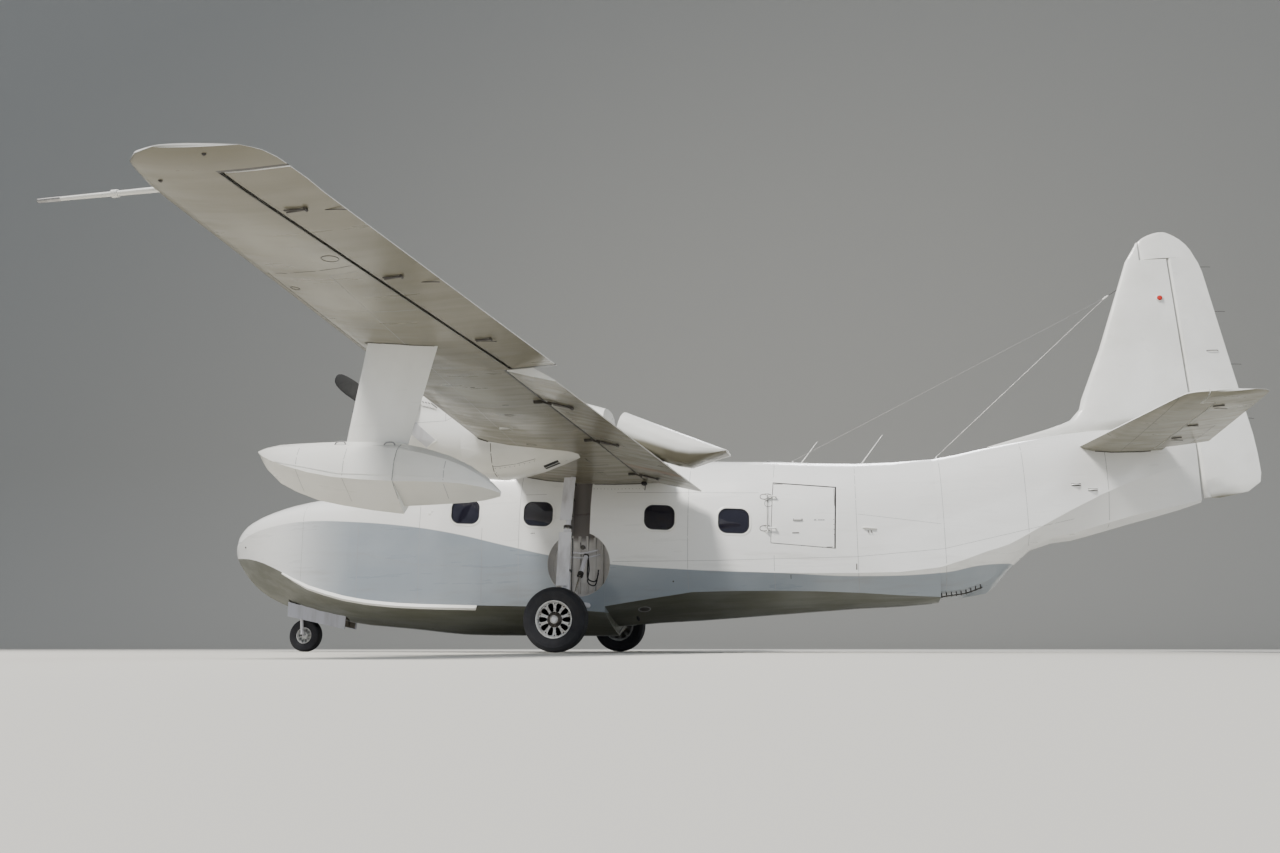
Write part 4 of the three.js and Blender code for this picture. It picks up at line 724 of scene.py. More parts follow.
def hub_profile(wheel, dish, cap):
    """The boss round the axle with its raised cap, closed."""
    half, rim, bore = wheel["width"] / 2, wheel["rim"], wheel["bore"]
    boss = bore + (rim - bore) * 0.32
    return [
        (half * (dish + cap), bore + 0.001), (half * (dish + cap), boss * 0.66),
        (half * (dish + cap * 0.6), boss * 0.74), (half * dish + 0.001, boss), (half * dish - 0.013, boss),
        (-half * 0.74, boss * 0.7), (-half * 0.74, bore + 0.001),
    ]


def bolts(form, centre, outward, depth, circle, count, size, kind=0):
    """Hexagon heads in a circle."""
    for index in range(count):
        turn = 2 * math.pi * (index + 0.5) / count
        spot = Vector(centre) + Vector((circle * math.cos(turn), 0, circle * math.sin(turn)))
        profile = (
            (depth - 0.004, 0.0), (depth - 0.004, size), (depth + size * 0.7, size * 0.95),
            (depth + size * 0.7, 0.0)
        )
        revolve(form, profile, spot, (0, outward, 0), sides=6, kind=kind)


tyre_rubber = rubber("tyre rubber", (0.010, 0.0105, 0.015, 1))
wheel_grey = wheel_paint("wheel enamel", (0.56, 0.57, 0.57, 1), 0.55)
dark_cap = metal("dark hub cap", (0.10, 0.09, 0.085, 1), 0.4, 20.0)
for hand, side in (("left", -1), ("right", 1)):
    centre = Vector((MAIN_WHEEL["x"], side * MAIN_WHEEL["y"], MAIN_WHEEL["radius"]))
    body = f"main_wheel_{hand}"
    form = bmesh.new()
    tyre(form, MAIN_WHEEL, centre, (0.46, 0.16))
    piece = settle(f"grooved_tyre_{hand}", form, tyre_rubber, body, crease=50)
    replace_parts(piece, f"main_{hand}_tyre")
    form = bmesh.new()
    revolve(
        form, [(side * along, radius) for along, radius in rim_profile(MAIN_WHEEL, 0.42)], centre,
        (0, 1, 0), 72, closed=True
    )
    wheel_face(form, MAIN_WHEEL, centre, side, 10, 0.42)
    revolve(
        form, [(side * along, radius) for along, radius in hub_profile(MAIN_WHEEL, 0.42, 0.26)], centre,
        (0, 1, 0), 40, kind=1, closed=True
    )
    bolts(form, centre, side, 0.0535, 0.197, 10, 0.008, kind=1)
    bolts(form, centre, side, 0.068, 0.060, 6, 0.007, kind=1)
    revolve(
        form, [(0.080, 0.0365), (0.080, 0.052), (0.092, 0.050), (0.098, 0.0365)], centre, (0, side, 0), 32,
        closed=True
    )
    piece = settle(f"cast_wheel_{hand}", form, [wheel_grey, dark_cap], body, crease=38)
    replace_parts(piece, f"main_{hand}_hub")
nose_centre = Vector((NOSE_WHEEL["x"], 0, NOSE_WHEEL["radius"]))
form = bmesh.new()
tyre(form, NOSE_WHEEL, nose_centre, (0.44, 0.15))
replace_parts(settle("grooved_nose_tyre", form, tyre_rubber, "nose_wheel", crease=50), "nose_tyre")
form = bmesh.new()
revolve(form, rim_profile(NOSE_WHEEL, 0.5), nose_centre, (0, 1, 0), 64, closed=True)
for side in (-1, 1):
    wheel_face(form, NOSE_WHEEL, nose_centre, side, 10, 0.5)
    bolts(form, nose_centre, side, 0.040, 0.046, 5, 0.005, kind=1)
revolve(
    form, ((-0.006, 0.045), (-0.006, 0.105), (0.006, 0.105), (0.006, 0.045)), nose_centre, (0, 1, 0), 48,
    kind=1, closed=True
)
nose_hub_ring = [
    (-0.060, 0.0195), (-0.060, 0.032), (-0.041, 0.05), (0.041, 0.05), (0.060, 0.032), (0.060, 0.0195)
]
revolve(form, nose_hub_ring, nose_centre, (0, 1, 0), 32, closed=True)
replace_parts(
    settle("cast_nose_wheel", form, [wheel_grey, dark_cap], "nose_wheel", crease=38),
    "nose_hub"
)

# Cabin windows
# Single panes of dark tinted acrylic in a black rubber gasket, each held by a white pressed
# frame that stands a little proud of the skin. The last one to starboard faces the entrance.
WINDOW_ROW = ((4080, 1.940), (5150, 1.885), (6860, 1.800), (7870, 1.730))
LAST_WINDOW = (8850, 1.680)
WINDOW_HALF = (0.215, 0.1775)
WINDOW_CORNER = 0.125
WINDOW_TILT = -0.055


def skin_of(*nodes):
    """The named solids' faces, to lay small pieces on."""
    spots, corners = [], []
    for node in nodes:
        mesh = frame["nodes"][node].data
        first = len(spots)
        spots += [vertex.co.copy() for vertex in mesh.vertices]
        corners += [[first + index for index in face.vertices] for face in mesh.polygons]
    return BVHTree.FromPolygons(spots, corners)


def sheet_at(skin, base, over, up, inward, outline):
    """A smooth sheet through the skin round an opening. It gives the place of (u, v) at a height."""
    base, over, up, inward = Vector(base), Vector(over), Vector(up), Vector(inward)
    rows, depths = [], []
    for grow in (1.06, 1.16, 1.28):
        for u, v in outline[:: max(len(outline) // 24, 1)]:
            spot, normal, face, depth = skin.ray_cast(base + over * u * grow + up * v * grow, inward)
            if spot is not None and depth < 2.5:
                u1, v1 = u * grow, v * grow
                rows.append((1, u1, v1, u1 * u1, v1 * v1, u1 * v1))
                depths.append(depth)
    shape = np.linalg.lstsq(np.array(rows), np.array(depths), rcond=None)[0]

    def place(u, v, proud=0.0):
        depth = float(np.dot(shape, (1, u, v, u * u, v * v, u * v)))
        return base + over * u + up * v + inward * (depth - proud)

    return place


def round_outline(corners, radius, steps=6):
    """A closed outline with its corners rounded."""
    corners = [Vector((u, v)) for u, v in corners]
    count, points = len(corners), []
    for index in range(count):
        here, before, after = corners[index], corners[index - 1], corners[(index + 1) % count]
        back, on = (before - here).normalized(), (after - here).normalized()
        half = math.acos(max(-1, min(1, back.dot(on)))) / 2
        reach = radius / math.tan(half)
        middle = here + (back + on).normalized() * (radius / math.sin(half))
        start, end = here + back * reach - middle, here + on * reach - middle
        turn = start.angle_signed(end)
        for step in range(steps + 1):
            angle = -turn * step / steps
            points.append(middle + Vector((
                start.x * math.cos(angle) - start.y * math.sin(angle),
                start.x * math.sin(angle) + start.y * math.cos(angle),
            )))
    return [(point.x, point.y) for point in points]


def spread(outline, distance):
    """The outline moved outwards by a distance."""
    count, moved = len(outline), []
    area = sum(a[0] * b[1] - b[0] * a[1] for a, b in zip(outline, outline[1:] + outline[:1]))
    turn = 1 if area > 0 else -1
    for index, (u, v) in enumerate(outline):
        before, after = outline[index - 1], outline[(index + 1) % count]
        run = Vector((after[0] - before[0], after[1] - before[1])).normalized()
        moved.append((u + turn * run.y * distance, v - turn * run.x * distance))
    return moved


def rim(form, place, outline, section, kind=0):
    """A closed strip round an outline. The section is a loop of (distance outwards, height)."""
    rings = [
        [form.verts.new(place(u, v, height)) for u, v in spread(outline, distance)]
        for distance, height in section
    ]
    count = len(outline)
    for first, second in zip(rings, rings[1:] + rings[:1]):
        for i in range(count):
            k = (i + 1) % count
            form.faces.new((first[i], first[k], second[k], second[i])).material_index = kind


def pane(form, place, outline, sink, thick, crown=0.0):
    """A sheet of glass that fills an outline, with a slight crown."""
    shares = (1.0, 0.97, 0.8, 0.55, 0.28)
    middle = (sum(u for u, v in outline) / len(outline), sum(v for u, v in outline) / len(outline))
    sheets = []
    for depth in (0.0, thick):
        rings = []
        for share in shares:
            lift = crown * (1 - share ** 2) - sink - depth
            rings.append([form.verts.new(place(
                middle[0] + (u - middle[0]) * share, middle[1] + (v - middle[1]) * share, lift,
            )) for u, v in outline])
        heart = form.verts.new(place(middle[0], middle[1], crown - sink - depth))
        sheets.append((rings, heart))
    count = len(outline)
    for rings, heart in sheets:
        for first, second in zip(rings, rings[1:]):
            for i in range(count):
                k = (i + 1) % count
                form.faces.new((first[i], first[k], second[k], second[i]))
        for i in range(count):
            form.faces.new((rings[-1][i], rings[-1][(i + 1) % count], heart))
    front, back = sheets[0][0][0], sheets[1][0][0]
    for i in range(count):
        k = (i + 1) % count
        form.faces.new((front[i], back[i], back[k], front[k]))


def tinted(name, colour, clear, haze, roughness=0.035):
    """Tinted acrylic: glossy, faintly crazed, with dust and a few wipe marks."""
    finish, tree, shader, place = new_finish(name, roughness, coat=0.6)
    shader.inputs["Transmission Weight"].default_value = clear
    shader.inputs["IOR"].default_value = 1.49
    wiped = cloud(tree, place, 2.4, (1.0, 1.0, 0.35), detail=6.0)
    base = mixed(tree, ramp(tree, wiped, 0.45, 0.8, 0.0, haze), colour, (0.34, 0.33, 0.38, 1))
    tree.links.new(base, shader.inputs["Base Color"])
    tree.links.new(ramp(tree, wiped, 0.4, 0.85, roughness, roughness + 0.14), shader.inputs["Roughness"])
    relief(tree, shader, cloud(tree, place, 1.6, detail=1.0), 0.01, 0.25)
    return finish


pane_tint = tinted("cabin pane tint", (0.035, 0.033, 0.060, 1), 0.72, 0.10)
gasket_rubber = rubber("gasket rubber", (0.018, 0.018, 0.020, 1))
trim_white = skin_paint_and_shade("frame paint and shade", (0.72, 0.71, 0.66, 1), dirt=0.06)
FRAME_SECTION = (
    (0.026, -0.006), (0.0255, 0.0015), (0.022, 0.0045), (0.004, 0.0055), (-0.004, 0.004), (-0.006, -0.012)
)
GASKET_SECTION = (
    (-0.003, 0.0035), (-0.007, 0.0055), (-0.013, 0.004), (-0.017, -0.006), (-0.017, -0.016),
    (-0.003, -0.016)
)
window_box = [(-WINDOW_HALF[0], -WINDOW_HALF[1]), (WINDOW_HALF[0], -WINDOW_HALF[1]),
              (WINDOW_HALF[0], WINDOW_HALF[1]), (-WINDOW_HALF[0], WINDOW_HALF[1])]
window_outline = round_outline(window_box, WINDOW_CORNER, steps=9)
cabin_skin = skin_of("cabin_shell")
for hand, side in (("left", -1), ("right", 1)):
    frames, glass = bmesh.new(), bmesh.new()
    for station, height in WINDOW_ROW + ((LAST_WINDOW,) if side > 0 else ()):
        base = (aft(station), side * 2.0, height)
        place = sheet_at(cabin_skin, base, (1, 0, WINDOW_TILT), (0, 0, 1), (0, -side, 0), window_outline)
        rim(frames, place, window_outline, FRAME_SECTION)
        rim(frames, place, window_outline, GASKET_SECTION, kind=1)
        pane(glass, place, spread(window_outline, -0.012), 0.008, 0.006, crown=0.005)
    settle(f"window_frames_{hand}", frames, [trim_white, gasket_rubber], "airframe")
    settle(f"cabin_panes_{hand}", glass, pane_tint, "airframe")

# Cockpit glazing
# Two flat-wrapped windscreen panes and a sliding side window on each side, dark tinted, in
# white frames. A thin black sealing line runs round each pane.
COCKPIT_SIDE = ((2650, 2.030), (2850, 2.340), (3110, 2.345), (3290, 2.300), (3150, 2.045))
SIDE_HEART = (3010, 2.20)
WINDSCREEN = ((0.045, 2.440), (0.620, 2.280), (0.700, 2.400), (0.560, 2.650), (0.045, 2.730))
SCREEN_HEART = (0.38, 2.50)
SLIM_FRAME = (
    (0.030, -0.004), (0.0295, 0.002), (0.025, 0.006), (0.002, 0.007), (-0.006, 0.004), (-0.007, -0.012)
)
SLIM_SEAL = ((-0.004, 0.004), (-0.008, 0.006), (-0.013, 0.004), (-0.014, -0.014), (-0.005, -0.014))
side_tint = tinted("cockpit side tint", (0.055, 0.045, 0.075, 1), 0.55, 0.34)
screen_tint = tinted("windscreen tint", (0.10, 0.11, 0.13, 1), 0.85, 0.08)
side_corners = [((x - SIDE_HEART[0]) / 1000, z - SIDE_HEART[1]) for x, z in COCKPIT_SIDE]
for hand, side in (("left", -1), ("right", 1)):
    frames = bmesh.new()
    opening = round_outline(side_corners, 0.035, steps=4)
    base = (aft(SIDE_HEART[0]), side * 2.0, SIDE_HEART[1])
    place = sheet_at(cabin_skin, base, (1, 0, 0), (0, 0, 1), (0, -side, 0), opening)
    rim(frames, place, opening, SLIM_FRAME)
    rim(frames, place, opening, SLIM_SEAL, kind=1)
    glass = bmesh.new()
    pane(glass, place, spread(opening, -0.009), 0.007, 0.006)
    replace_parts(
        settle(f"cockpit_pane_{hand}", glass, side_tint, "airframe"), f"cockpit_window_{hand}"
    )
    corners = [(side * (y - SCREEN_HEART[0]), z - SCREEN_HEART[1]) for y, z in WINDSCREEN]
    opening = round_outline(corners, 0.03, steps=4)
    base = (aft(1500), side * SCREEN_HEART[0], SCREEN_HEART[1])
    place = sheet_at(cabin_skin, base, (0, 1, 0), (0, 0, 1), (1, 0, 0), opening)
    rim(frames, place, opening, SLIM_FRAME)
    rim(frames, place, opening, SLIM_SEAL, kind=1)
    settle(f"cockpit_frames_{hand}", frames, [trim_white, gasket_rubber], "airframe")
    glass = bmesh.new()
    pane(glass, place, spread(opening, -0.009), 0.008, 0.006)
    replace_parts(settle(f"screen_pane_{hand}", glass, screen_tint, "airframe"), f"windscreen_{hand}")

# Cabin interior
# Carpeted floor, panelled bulkhead and a dark instrument panel with round dials. The seats are
# padded cushions on a low frame, each back with a headrest.
def woven(name, colour, second, scale=160.0, roughness=0.85):
    """Woven seat cloth or carpet: fine threads over slow changes of tone."""
    finish, tree, shader, place = new_finish(name, roughness)
    thread = cloud(tree, place, scale, (1.0, 1.0, 0.4), detail=2.0)
    wear = cloud(tree, place, 4.0, detail=4.0)
    base = mixed(tree, ramp(tree, thread, 0.35, 0.65), colour, second)
    base = mixed(tree, ramp(tree, wear, 0.5, 0.8, 0.0, 0.3), base, (0.07, 0.06, 0.05, 1))
    tree.links.new(base, shader.inputs["Base Color"])
    shader.inputs["Sheen Weight"].default_value = 0.25
    relief(tree, shader, thread, 0.002, 0.6)
    return finish


CUSHION_STEPS = 8
FLOOR_FORE, FLOOR_LEVEL, FLOOR_SLOPE = 4.0, 1.200, 0.055
carpet = woven("cabin carpet", (0.07, 0.075, 0.09, 1), (0.11, 0.115, 0.13, 1))
seat_cloth = woven("seat cloth", (0.20, 0.19, 0.19, 1), (0.28, 0.27, 0.26, 1))
panel_black = rubber("panel black", (0.022, 0.022, 0.024, 1))
for node, finish in (
    ("cabin_floor", carpet), ("aft_bulkhead", seat_cloth), ("instrument_panel", panel_black)
):
    for spot in frame["nodes"][node].material_slots:
        spot.material = finish
dials = bmesh.new()
for row, height in enumerate((2.09, 1.98)):
    for index in range(10):
        across = (index - 4.5) * 0.118
        spot = Vector((aft(2779.5), across, height))
        revolve(
            dials, ((0.0, 0.0), (0.0, 0.044), (0.005, 0.044), (0.005, 0.037), (0.002, 0.036), (0.002, 0.0)),
            spot, (1, 0, 0), 24
        )
        needle = [
            spot + Vector((0.0035, a, b))
            for a, b in ((-0.002, 0.0), (0.002, 0.0), (0.001, 0.030), (-0.001, 0.030))
        ]
        ring_faces(dials, [needle, [point + Vector((0.001, 0, 0)) for point in needle]], kind=1)
settle("cockpit_dials", dials, [dark_cap, trim_white], "airframe")


def cushion(form, corners, crown, rake=0.0, foot=0.0):
    """A padded box with swelling faces and rounded corners. It leans aft above its foot."""
    (x0, y0, z0), (x1, y1, z1) = corners
    centre = Vector(((x0 + x1) / 2, (y0 + y1) / 2, (z0 + z1) / 2))
    half = Vector(((x1 - x0) / 2, (y1 - y0) / 2, (z1 - z0) / 2))
    known = len(form.verts)
    shell = bmesh.ops.create_cube(form, size=2)["verts"]
    edges = list({edge for vert in shell for edge in vert.link_edges})
    bmesh.ops.subdivide_edges(form, edges=edges, cuts=CUSHION_STEPS - 1, use_grid_fill=True)
    form.verts.ensure_lookup_table()
    points = set(form.verts[known:])
    for vert in points:
        u, v, w = vert.co
        for axis in range(3):
            others = [vert.co[k] for k in range(3) if k != axis]
            room = (1 - min(abs(others[0]), 1) ** 4) * (1 - min(abs(others[1]), 1) ** 4)
            vert.co[axis] = vert.co[axis] * 0.93 + math.copysign(crown * room, vert.co[axis]) * (
                abs(vert.co[axis]) > 0.92
            )
        length = max(abs(u), abs(v), abs(w))
        sphere = Vector((u, v, w)).normalized() * length
        vert.co = vert.co.lerp(sphere, 0.12)
        vert.co = centre + Vector(vert.co[axis] * half[axis] for axis in range(3))
        vert.co.x += (vert.co.z - foot) * rake


def floor_at(station):
    """The cabin floor's height at a station. It drops a little aft."""
    return FLOOR_LEVEL - FLOOR_SLOPE * (station / 1000 - FLOOR_FORE)


def chair(form, x, y, base, half):
    """One seat: a thick cushion, a raked back and a headrest."""
    foot = base + 0.05
    cushion(form, ((x - 0.02, y - half, base + 0.02), (x + 0.42, y + half, base + 0.145)), 0.06)
    cushion(form, ((x + 0.43, y - half, foot), (x + 0.53, y + half, base + 0.50)), 0.08, 0.20, foot)
    head = half * 0.62
    cushion(form, ((x + 0.44, y - head, base + 0.50), (x + 0.52, y + head, base + 0.64)), 0.06, 0.20, foot)


PILOT_BASE = 1.6
SEAT_ROWS = (("cabin_seats", (4150, 4990, 6520, 7360), 0.43, 0.215), ("pilot_seat", (3160,), 0.40, 0.21))
for hand, side in (("left", -1), ("right", 1)):
    for kind, stations, y, half in SEAT_ROWS:
        form = bmesh.new()
        for station in stations:
            base = PILOT_BASE if kind == "pilot_seat" else floor_at(station + 300) + 0.21
            chair(form, aft(station), side * y, base, half)
        pads = settle(f"{kind}_cushions_{hand}", form, seat_cloth, "airframe", crease=60)
        form = bmesh.new()
        for station in stations:
            base = PILOT_BASE if kind == "pilot_seat" else floor_at(station + 200) + 0.212
            low = floor_at(station + 240) + 0.004
            for offset in (0.10, 0.34):
                for wide in (-0.15, 0.15):
                    foot = (aft(station) + offset, side * y + wide, low)
                    tall = base + 0.012 - low
                    revolve(form, ((0, 0), (0, 0.014), (tall, 0.014), (tall, 0)), foot, (0, 0, 1), 10)
            corners = ((0, -0.18), (0.40, -0.18), (0.40, 0.18), (0, 0.18))
            pan = [Vector((aft(station) + a, side * y + b, base)) for a, b in corners]
            ring_faces(form, [pan, [corner + Vector((0, 0, 0.018)) for corner in pan]])
        frame_piece = settle(f"{kind}_frames_{hand}", form, steel, "airframe")
        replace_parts(frame_piece, f"{kind}_{hand}")

# Main landing gear
# Each leg is a white painted tube with two flat fairing plates in front, a steel shock strut
# with a scissor link below them, and arms to the chine. The wheel well is lined with pressed
# ribs, pipes and hoses, and the retracting jack hangs in it.
WELL_BACK = 0.700
WELL_RIBS = (-0.17, -0.06, 0.05, 0.16, 0.27)


def run(form, points, radius, sides=8, kind=0):
    """A closed tube along points, bent smoothly."""
    points = [Vector(point) for point in points]
    turns = [2 * math.pi * i / sides for i in range(sides)]
    across, rings = None, []
    for index, point in enumerate(points):
        before, after = points[max(index - 1, 0)], points[min(index + 1, len(points) - 1)]
        along = (after - before).normalized()
        across = along.orthogonal() if across is None else across - along * across.dot(along)
        across.normalize()
        up = along.cross(across)
        rings.append([point + (across * math.cos(t) + up * math.sin(t)) * radius for t in turns])
    ring_faces(form, rings, kind=kind)


def curve_through(points, steps=6):
    """Points on a smooth curve through a few given ones."""
    points = [Vector(point) for point in points]
    bent = []
    for index in range(len(points) - 1):
        p0, p1, p2 = points[max(index - 1, 0)], points[index], points[index + 1]
        p3 = points[min(index + 2, len(points) - 1)]
        for step in range(steps):
            t = step / steps
            bend = (2 * p0 - 5 * p1 + 4 * p2 - p3) * t * t
            turn = (3 * p1 - p0 - 3 * p2 + p3) * t ** 3
            bent.append(0.5 * (2 * p1 + (p2 - p0) * t + bend + turn))
    return bent + [points[-1]]


def slab(form, outline, depth, kind=0, edge=0.0):
    """A flat plate: an outline of points and the vector through its thickness. Its rims may be eased."""
    outline, depth = [Vector(point) for point in outline], Vector(depth)
    middle = sum(outline, Vector()) / len(outline)
    inner = [point + (middle - point).normalized() * edge for point in outline]
    ease = depth.normalized() * edge
    rings = [
        inner, [p + ease for p in outline], [p + depth - ease for p in outline], [p + depth for p in inner]
    ]
    ring_faces(form, rings if edge else [outline, [p + depth for p in outline]], kind=kind)


def gear_paint(name, colour, dirt, rust=0.0):
    """Painted steel with grease, chips and, where it is old, rust."""
    finish, tree, shader, place = new_finish(name, 0.4)
    spots = cloud(tree, place, 8.0, detail=9.0, roughness=0.65)
    runs = cloud(tree, place, 5.0, (1.5, 1.5, 0.25), detail=7.0)
    base = mixed(tree, ramp(tree, runs, 0.45, 0.75, 0.0, dirt), colour, (0.12, 0.095, 0.07, 1))
    if rust:
        base = mixed(tree, ramp(tree, spots, 0.5, 0.62, 0.0, rust), base, (0.22, 0.10, 0.045, 1))
    tree.links.new(base, shader.inputs["Base Color"])
    tree.links.new(ramp(tree, spots, 0.35, 0.7, 0.32, 0.62), shader.inputs["Roughness"])
    relief(tree, shader, spots, 0.0012, 0.5)
    return finish


leg_white = gear_paint("leg paint", (0.66, 0.66, 0.70, 1), 0.40)
well_white = gear_paint("well paint", (0.50, 0.485, 0.47, 1), 0.5)
brake_iron = gear_paint("brake iron", (0.16, 0.12, 0.10, 1), 0.4, rust=0.9)
chrome = metal("strut chrome", (0.72, 0.72, 0.72, 1), 0.12, 12.0, brushed=(1, 1, 3))
dark_steel = metal("greasy steel", (0.10, 0.095, 0.09, 1), 0.42, 18.0)
hose_rubber = rubber("hose rubber", (0.014, 0.014, 0.016, 1))
gear_finishes = [leg_white, dark_steel, chrome, brake_iron, well_white, hose_rubber]
PAINTED, DARK, BRIGHT, RUSTED, LINED, HOSE = range(6)
for hand, side in (("left", -1), ("right", 1)):
    dress(f"main_leg_{hand}", leg_white, crease=30)

    def at(station, y, z):
        return Vector((aft(station), side * y, z))

    form = bmesh.new()
    top, knee, foot = at(5725, 1.18, 2.455), at(5700, 1.43, 1.58), at(5735, 1.60, 0.64)
    stub = at(5690, 1.64, 0.41)
    for share, radius, long, kind in (
        (0.02, 0.050, 0.05, DARK), (0.92, 0.058, 0.035, DARK), (0.96, 0.050, 0.03, BRIGHT),
    ):
        spot = top.lerp(knee, share)
        revolve(
            form, ((0, 0.034), (0, radius), (long, radius), (long, 0.034)), spot, knee - top, 24, kind,
            closed=True
        )
    for share, radius, long, kind in (
        (0.03, 0.067, 0.05, DARK), (0.10, 0.062, 0.02, BRIGHT), (0.55, 0.064, 0.03, DARK),
        (0.86, 0.070, 0.06, DARK), (0.96, 0.066, 0.02, BRIGHT),
    ):
        spot = knee.lerp(foot, share)
        revolve(
            form, ((0, 0.05), (0, radius), (long, radius), (long, 0.05)), spot, foot - knee, 28, kind,
            closed=True
        )
    down = (stub - foot).normalized()
    revolve(
        form, ((-0.02, 0.038), (-0.02, 0.062), (0.045, 0.060), (0.050, 0.038)), foot, down, 28, BRIGHT,
        closed=True
    )
    for turn in (-1, 1):
        arm = [foot + Vector((0.075, 0, 0.06 + turn * 0.018)), foot + Vector((0.17, 0, -0.07)),
               stub + Vector((0.075, side * -0.03, 0.035 + turn * 0.012))]
        run(form, arm, 0.011, 10, DARK)
    pin = ((-0.03, 0.0), (-0.03, 0.016), (0.03, 0.016), (0.03, 0.0))
    revolve(form, pin, foot + Vector((0.17, 0, -0.07)), (0, 1, 0), 12, BRIGHT)
    axle = at(5690, 1.73, 0.41)
    disc = ((0.0, 0.040), (0.0, 0.132), (0.012, 0.132), (0.012, 0.040))
    revolve(form, disc, axle, (0, side, 0), 48, RUSTED, closed=True)
    plate = ((-0.040, 0.038), (-0.040, 0.095), (-0.016, 0.10), (-0.016, 0.038))
    revolve(form, plate, axle, (0, side, 0), 36, DARK, closed=True)
    for angle in (20, 80, 160, 220, 290):
        turn = math.radians(angle)
        spot = axle + Vector((0.088 * math.cos(turn), side * -0.05, 0.088 * math.sin(turn)))
        cylinder = ((0, 0), (0, 0.026), (0.046, 0.030), (0.070, 0.026), (0.070, 0))
        revolve(form, cylinder, spot, (0, side, 0), 14, BRIGHT if angle in (20, 220) else RUSTED)
    hose = curve_through([
        axle + Vector((0.06, side * -0.05, 0.06)), foot + Vector((0.11, 0, -0.02)),
        foot + Vector((0.075, side * -0.02, 0.12)), knee.lerp(foot, 0.5) + Vector((0.075, 0, 0)),
        knee.lerp(foot, 0.1) + Vector((0.07, side * -0.02, 0))
    ])
    run(form, hose, 0.007, 8, HOSE)
    for share in (0.25, 0.5, 0.75):
        spot = top.lerp(knee, share)
        run(form, [spot + Vector((0.035, 0, 0.02)), spot + Vector((0.045, 0, -0.02))], 0.012, 8, DARK)
    settle(f"leg_fittings_{hand}", form, gear_finishes, "airframe", crease=38)

    lining = bmesh.new()
    for offset in WELL_RIBS:
        reach = math.sqrt(WELL_REACH ** 2 - offset ** 2) - 0.03
        low, high = WELL_MIDDLE[1] - reach * 0.96, WELL_MIDDLE[1] + reach
        section = [(-0.022, 0.0), (-0.013, 0.024), (0.013, 0.024), (0.022, 0.0)]
        rib = [(WELL_MIDDLE[0] + offset + u, side * (WELL_BACK + v - 0.001)) for u, v in section]
        rings = [[Vector((x, y, z)) for x, y in rib] for z in (low, high)]
        ring_faces(lining, rings, kind=LINED)
    pipes = (
        ((5560, 0.735, 1.30), (5700, 0.745, 1.285), (5850, 0.745, 1.295), (5990, 0.735, 1.33)),
        ((5600, 0.735, 1.36), (5760, 0.74, 1.35), (5960, 0.735, 1.39)),
    )
    for pipe in pipes:
        run(lining, curve_through([at(*spot) for spot in pipe]), 0.013, 10, PAINTED)
    jack_top, jack_foot = at(5800, 0.80, 1.30), at(5777, 1.41, 0.675)
    run(lining, [jack_top, jack_top.lerp(jack_foot, 0.46)], 0.032, 16, PAINTED)
    run(lining, [jack_top.lerp(jack_foot, 0.44), jack_foot], 0.017, 14, BRIGHT)
    clevis = ((-0.028, 0.028), (-0.028, 0.044), (0.028, 0.044), (0.028, 0.028))
    revolve(lining, clevis, at(5777, 1.41, 0.637), (-0.145, side * 0.642, 0.02), 18, DARK, closed=True)
    for share in (0.0, 0.41, 0.45, 0.955):
        spot = jack_top.lerp(jack_foot, share)
        revolve(
            lining, ((-0.012, 0), (-0.012, 0.042), (0.012, 0.042), (0.012, 0)), spot, jack_foot - jack_top,
            18, DARK
        )
    for bow in (0.0, 0.05):
        loop = [
            jack_top + Vector((0.03, 0, -0.02)), at(5850 + bow * 400, 0.90, 1.16 - bow),
            at(5880, 1.00, 0.98 - bow), at(5960, 0.90, 0.95 - bow), at(5975, 0.78, 1.06 + bow)
        ]
        run(lining, curve_through(loop), 0.009, 8, HOSE)
    valve = ((0, 0), (0, 0.032), (0.02, 0.032), (0.024, 0.02), (0.024, 0))
    revolve(lining, valve, at(5740, 0.735, 1.43), (0, side, 0), 20, DARK)
    run(lining, [at(5700, 0.725, 1.50), at(5700, 0.725, 1.42), at(5775, 0.725, 1.42)], 0.006, 8, DARK)
    settle(f"well_lining_{hand}", lining, gear_finishes, "airframe", crease=38)

# Nose landing gear
# A forked strut, steered by a collar, in a well with a riveted flat door on each side. The
# doors are painted pale grey outside and are bare and oily inside.
dress("nose_fork", leg_white, crease=30)
dress("nose_leg", leg_white, crease=30)
form = bmesh.new()
crown = Vector((aft(1175), 0, 0.56))
lean = Vector((-0.07, 0, 0.94)).normalized()
for along, radius, long, kind in ((0.02, 0.044, 0.035, DARK), (0.075, 0.040, 0.02, BRIGHT)):
    revolve(
        form, ((0, 0.030), (0, radius), (long, radius), (long, 0.030)), crown + lean * along, lean, 24,
        kind, closed=True
    )
for side in (-1, 1):
    nut = ((0.0, 0.0), (0.0, 0.017), (0.012, 0.015), (0.012, 0.0))
    revolve(form, nut, (NOSE_WHEEL["x"], side * 0.139, NOSE_WHEEL["radius"]), (0, side, 0), 6, DARK)
    bends = [
        crown + Vector((0.02, side * 0.10, 0.0)), crown + Vector((0.10, side * 0.05, 0.03)),
        crown + lean * 0.13
    ]
    run(form, bends, 0.010, 8, DARK)
settle("nose_strut_fittings", form, gear_finishes, "nose_steering", crease=38)
door_pale = gear_paint("nose door paint", (0.46, 0.47, 0.53, 1), 0.3)
door_oily = gear_paint("nose door inside", (0.060, 0.055, 0.042, 1), 0.5)
DOOR_HALF = 0.1945
DOOR_STIFFENERS = (1150, 1480, 1810)


def door_hinge(station):
    """The height of a nose door's hinge at a station. It drops a little aft."""
    return 0.742 - (station - 985) * 0.00023


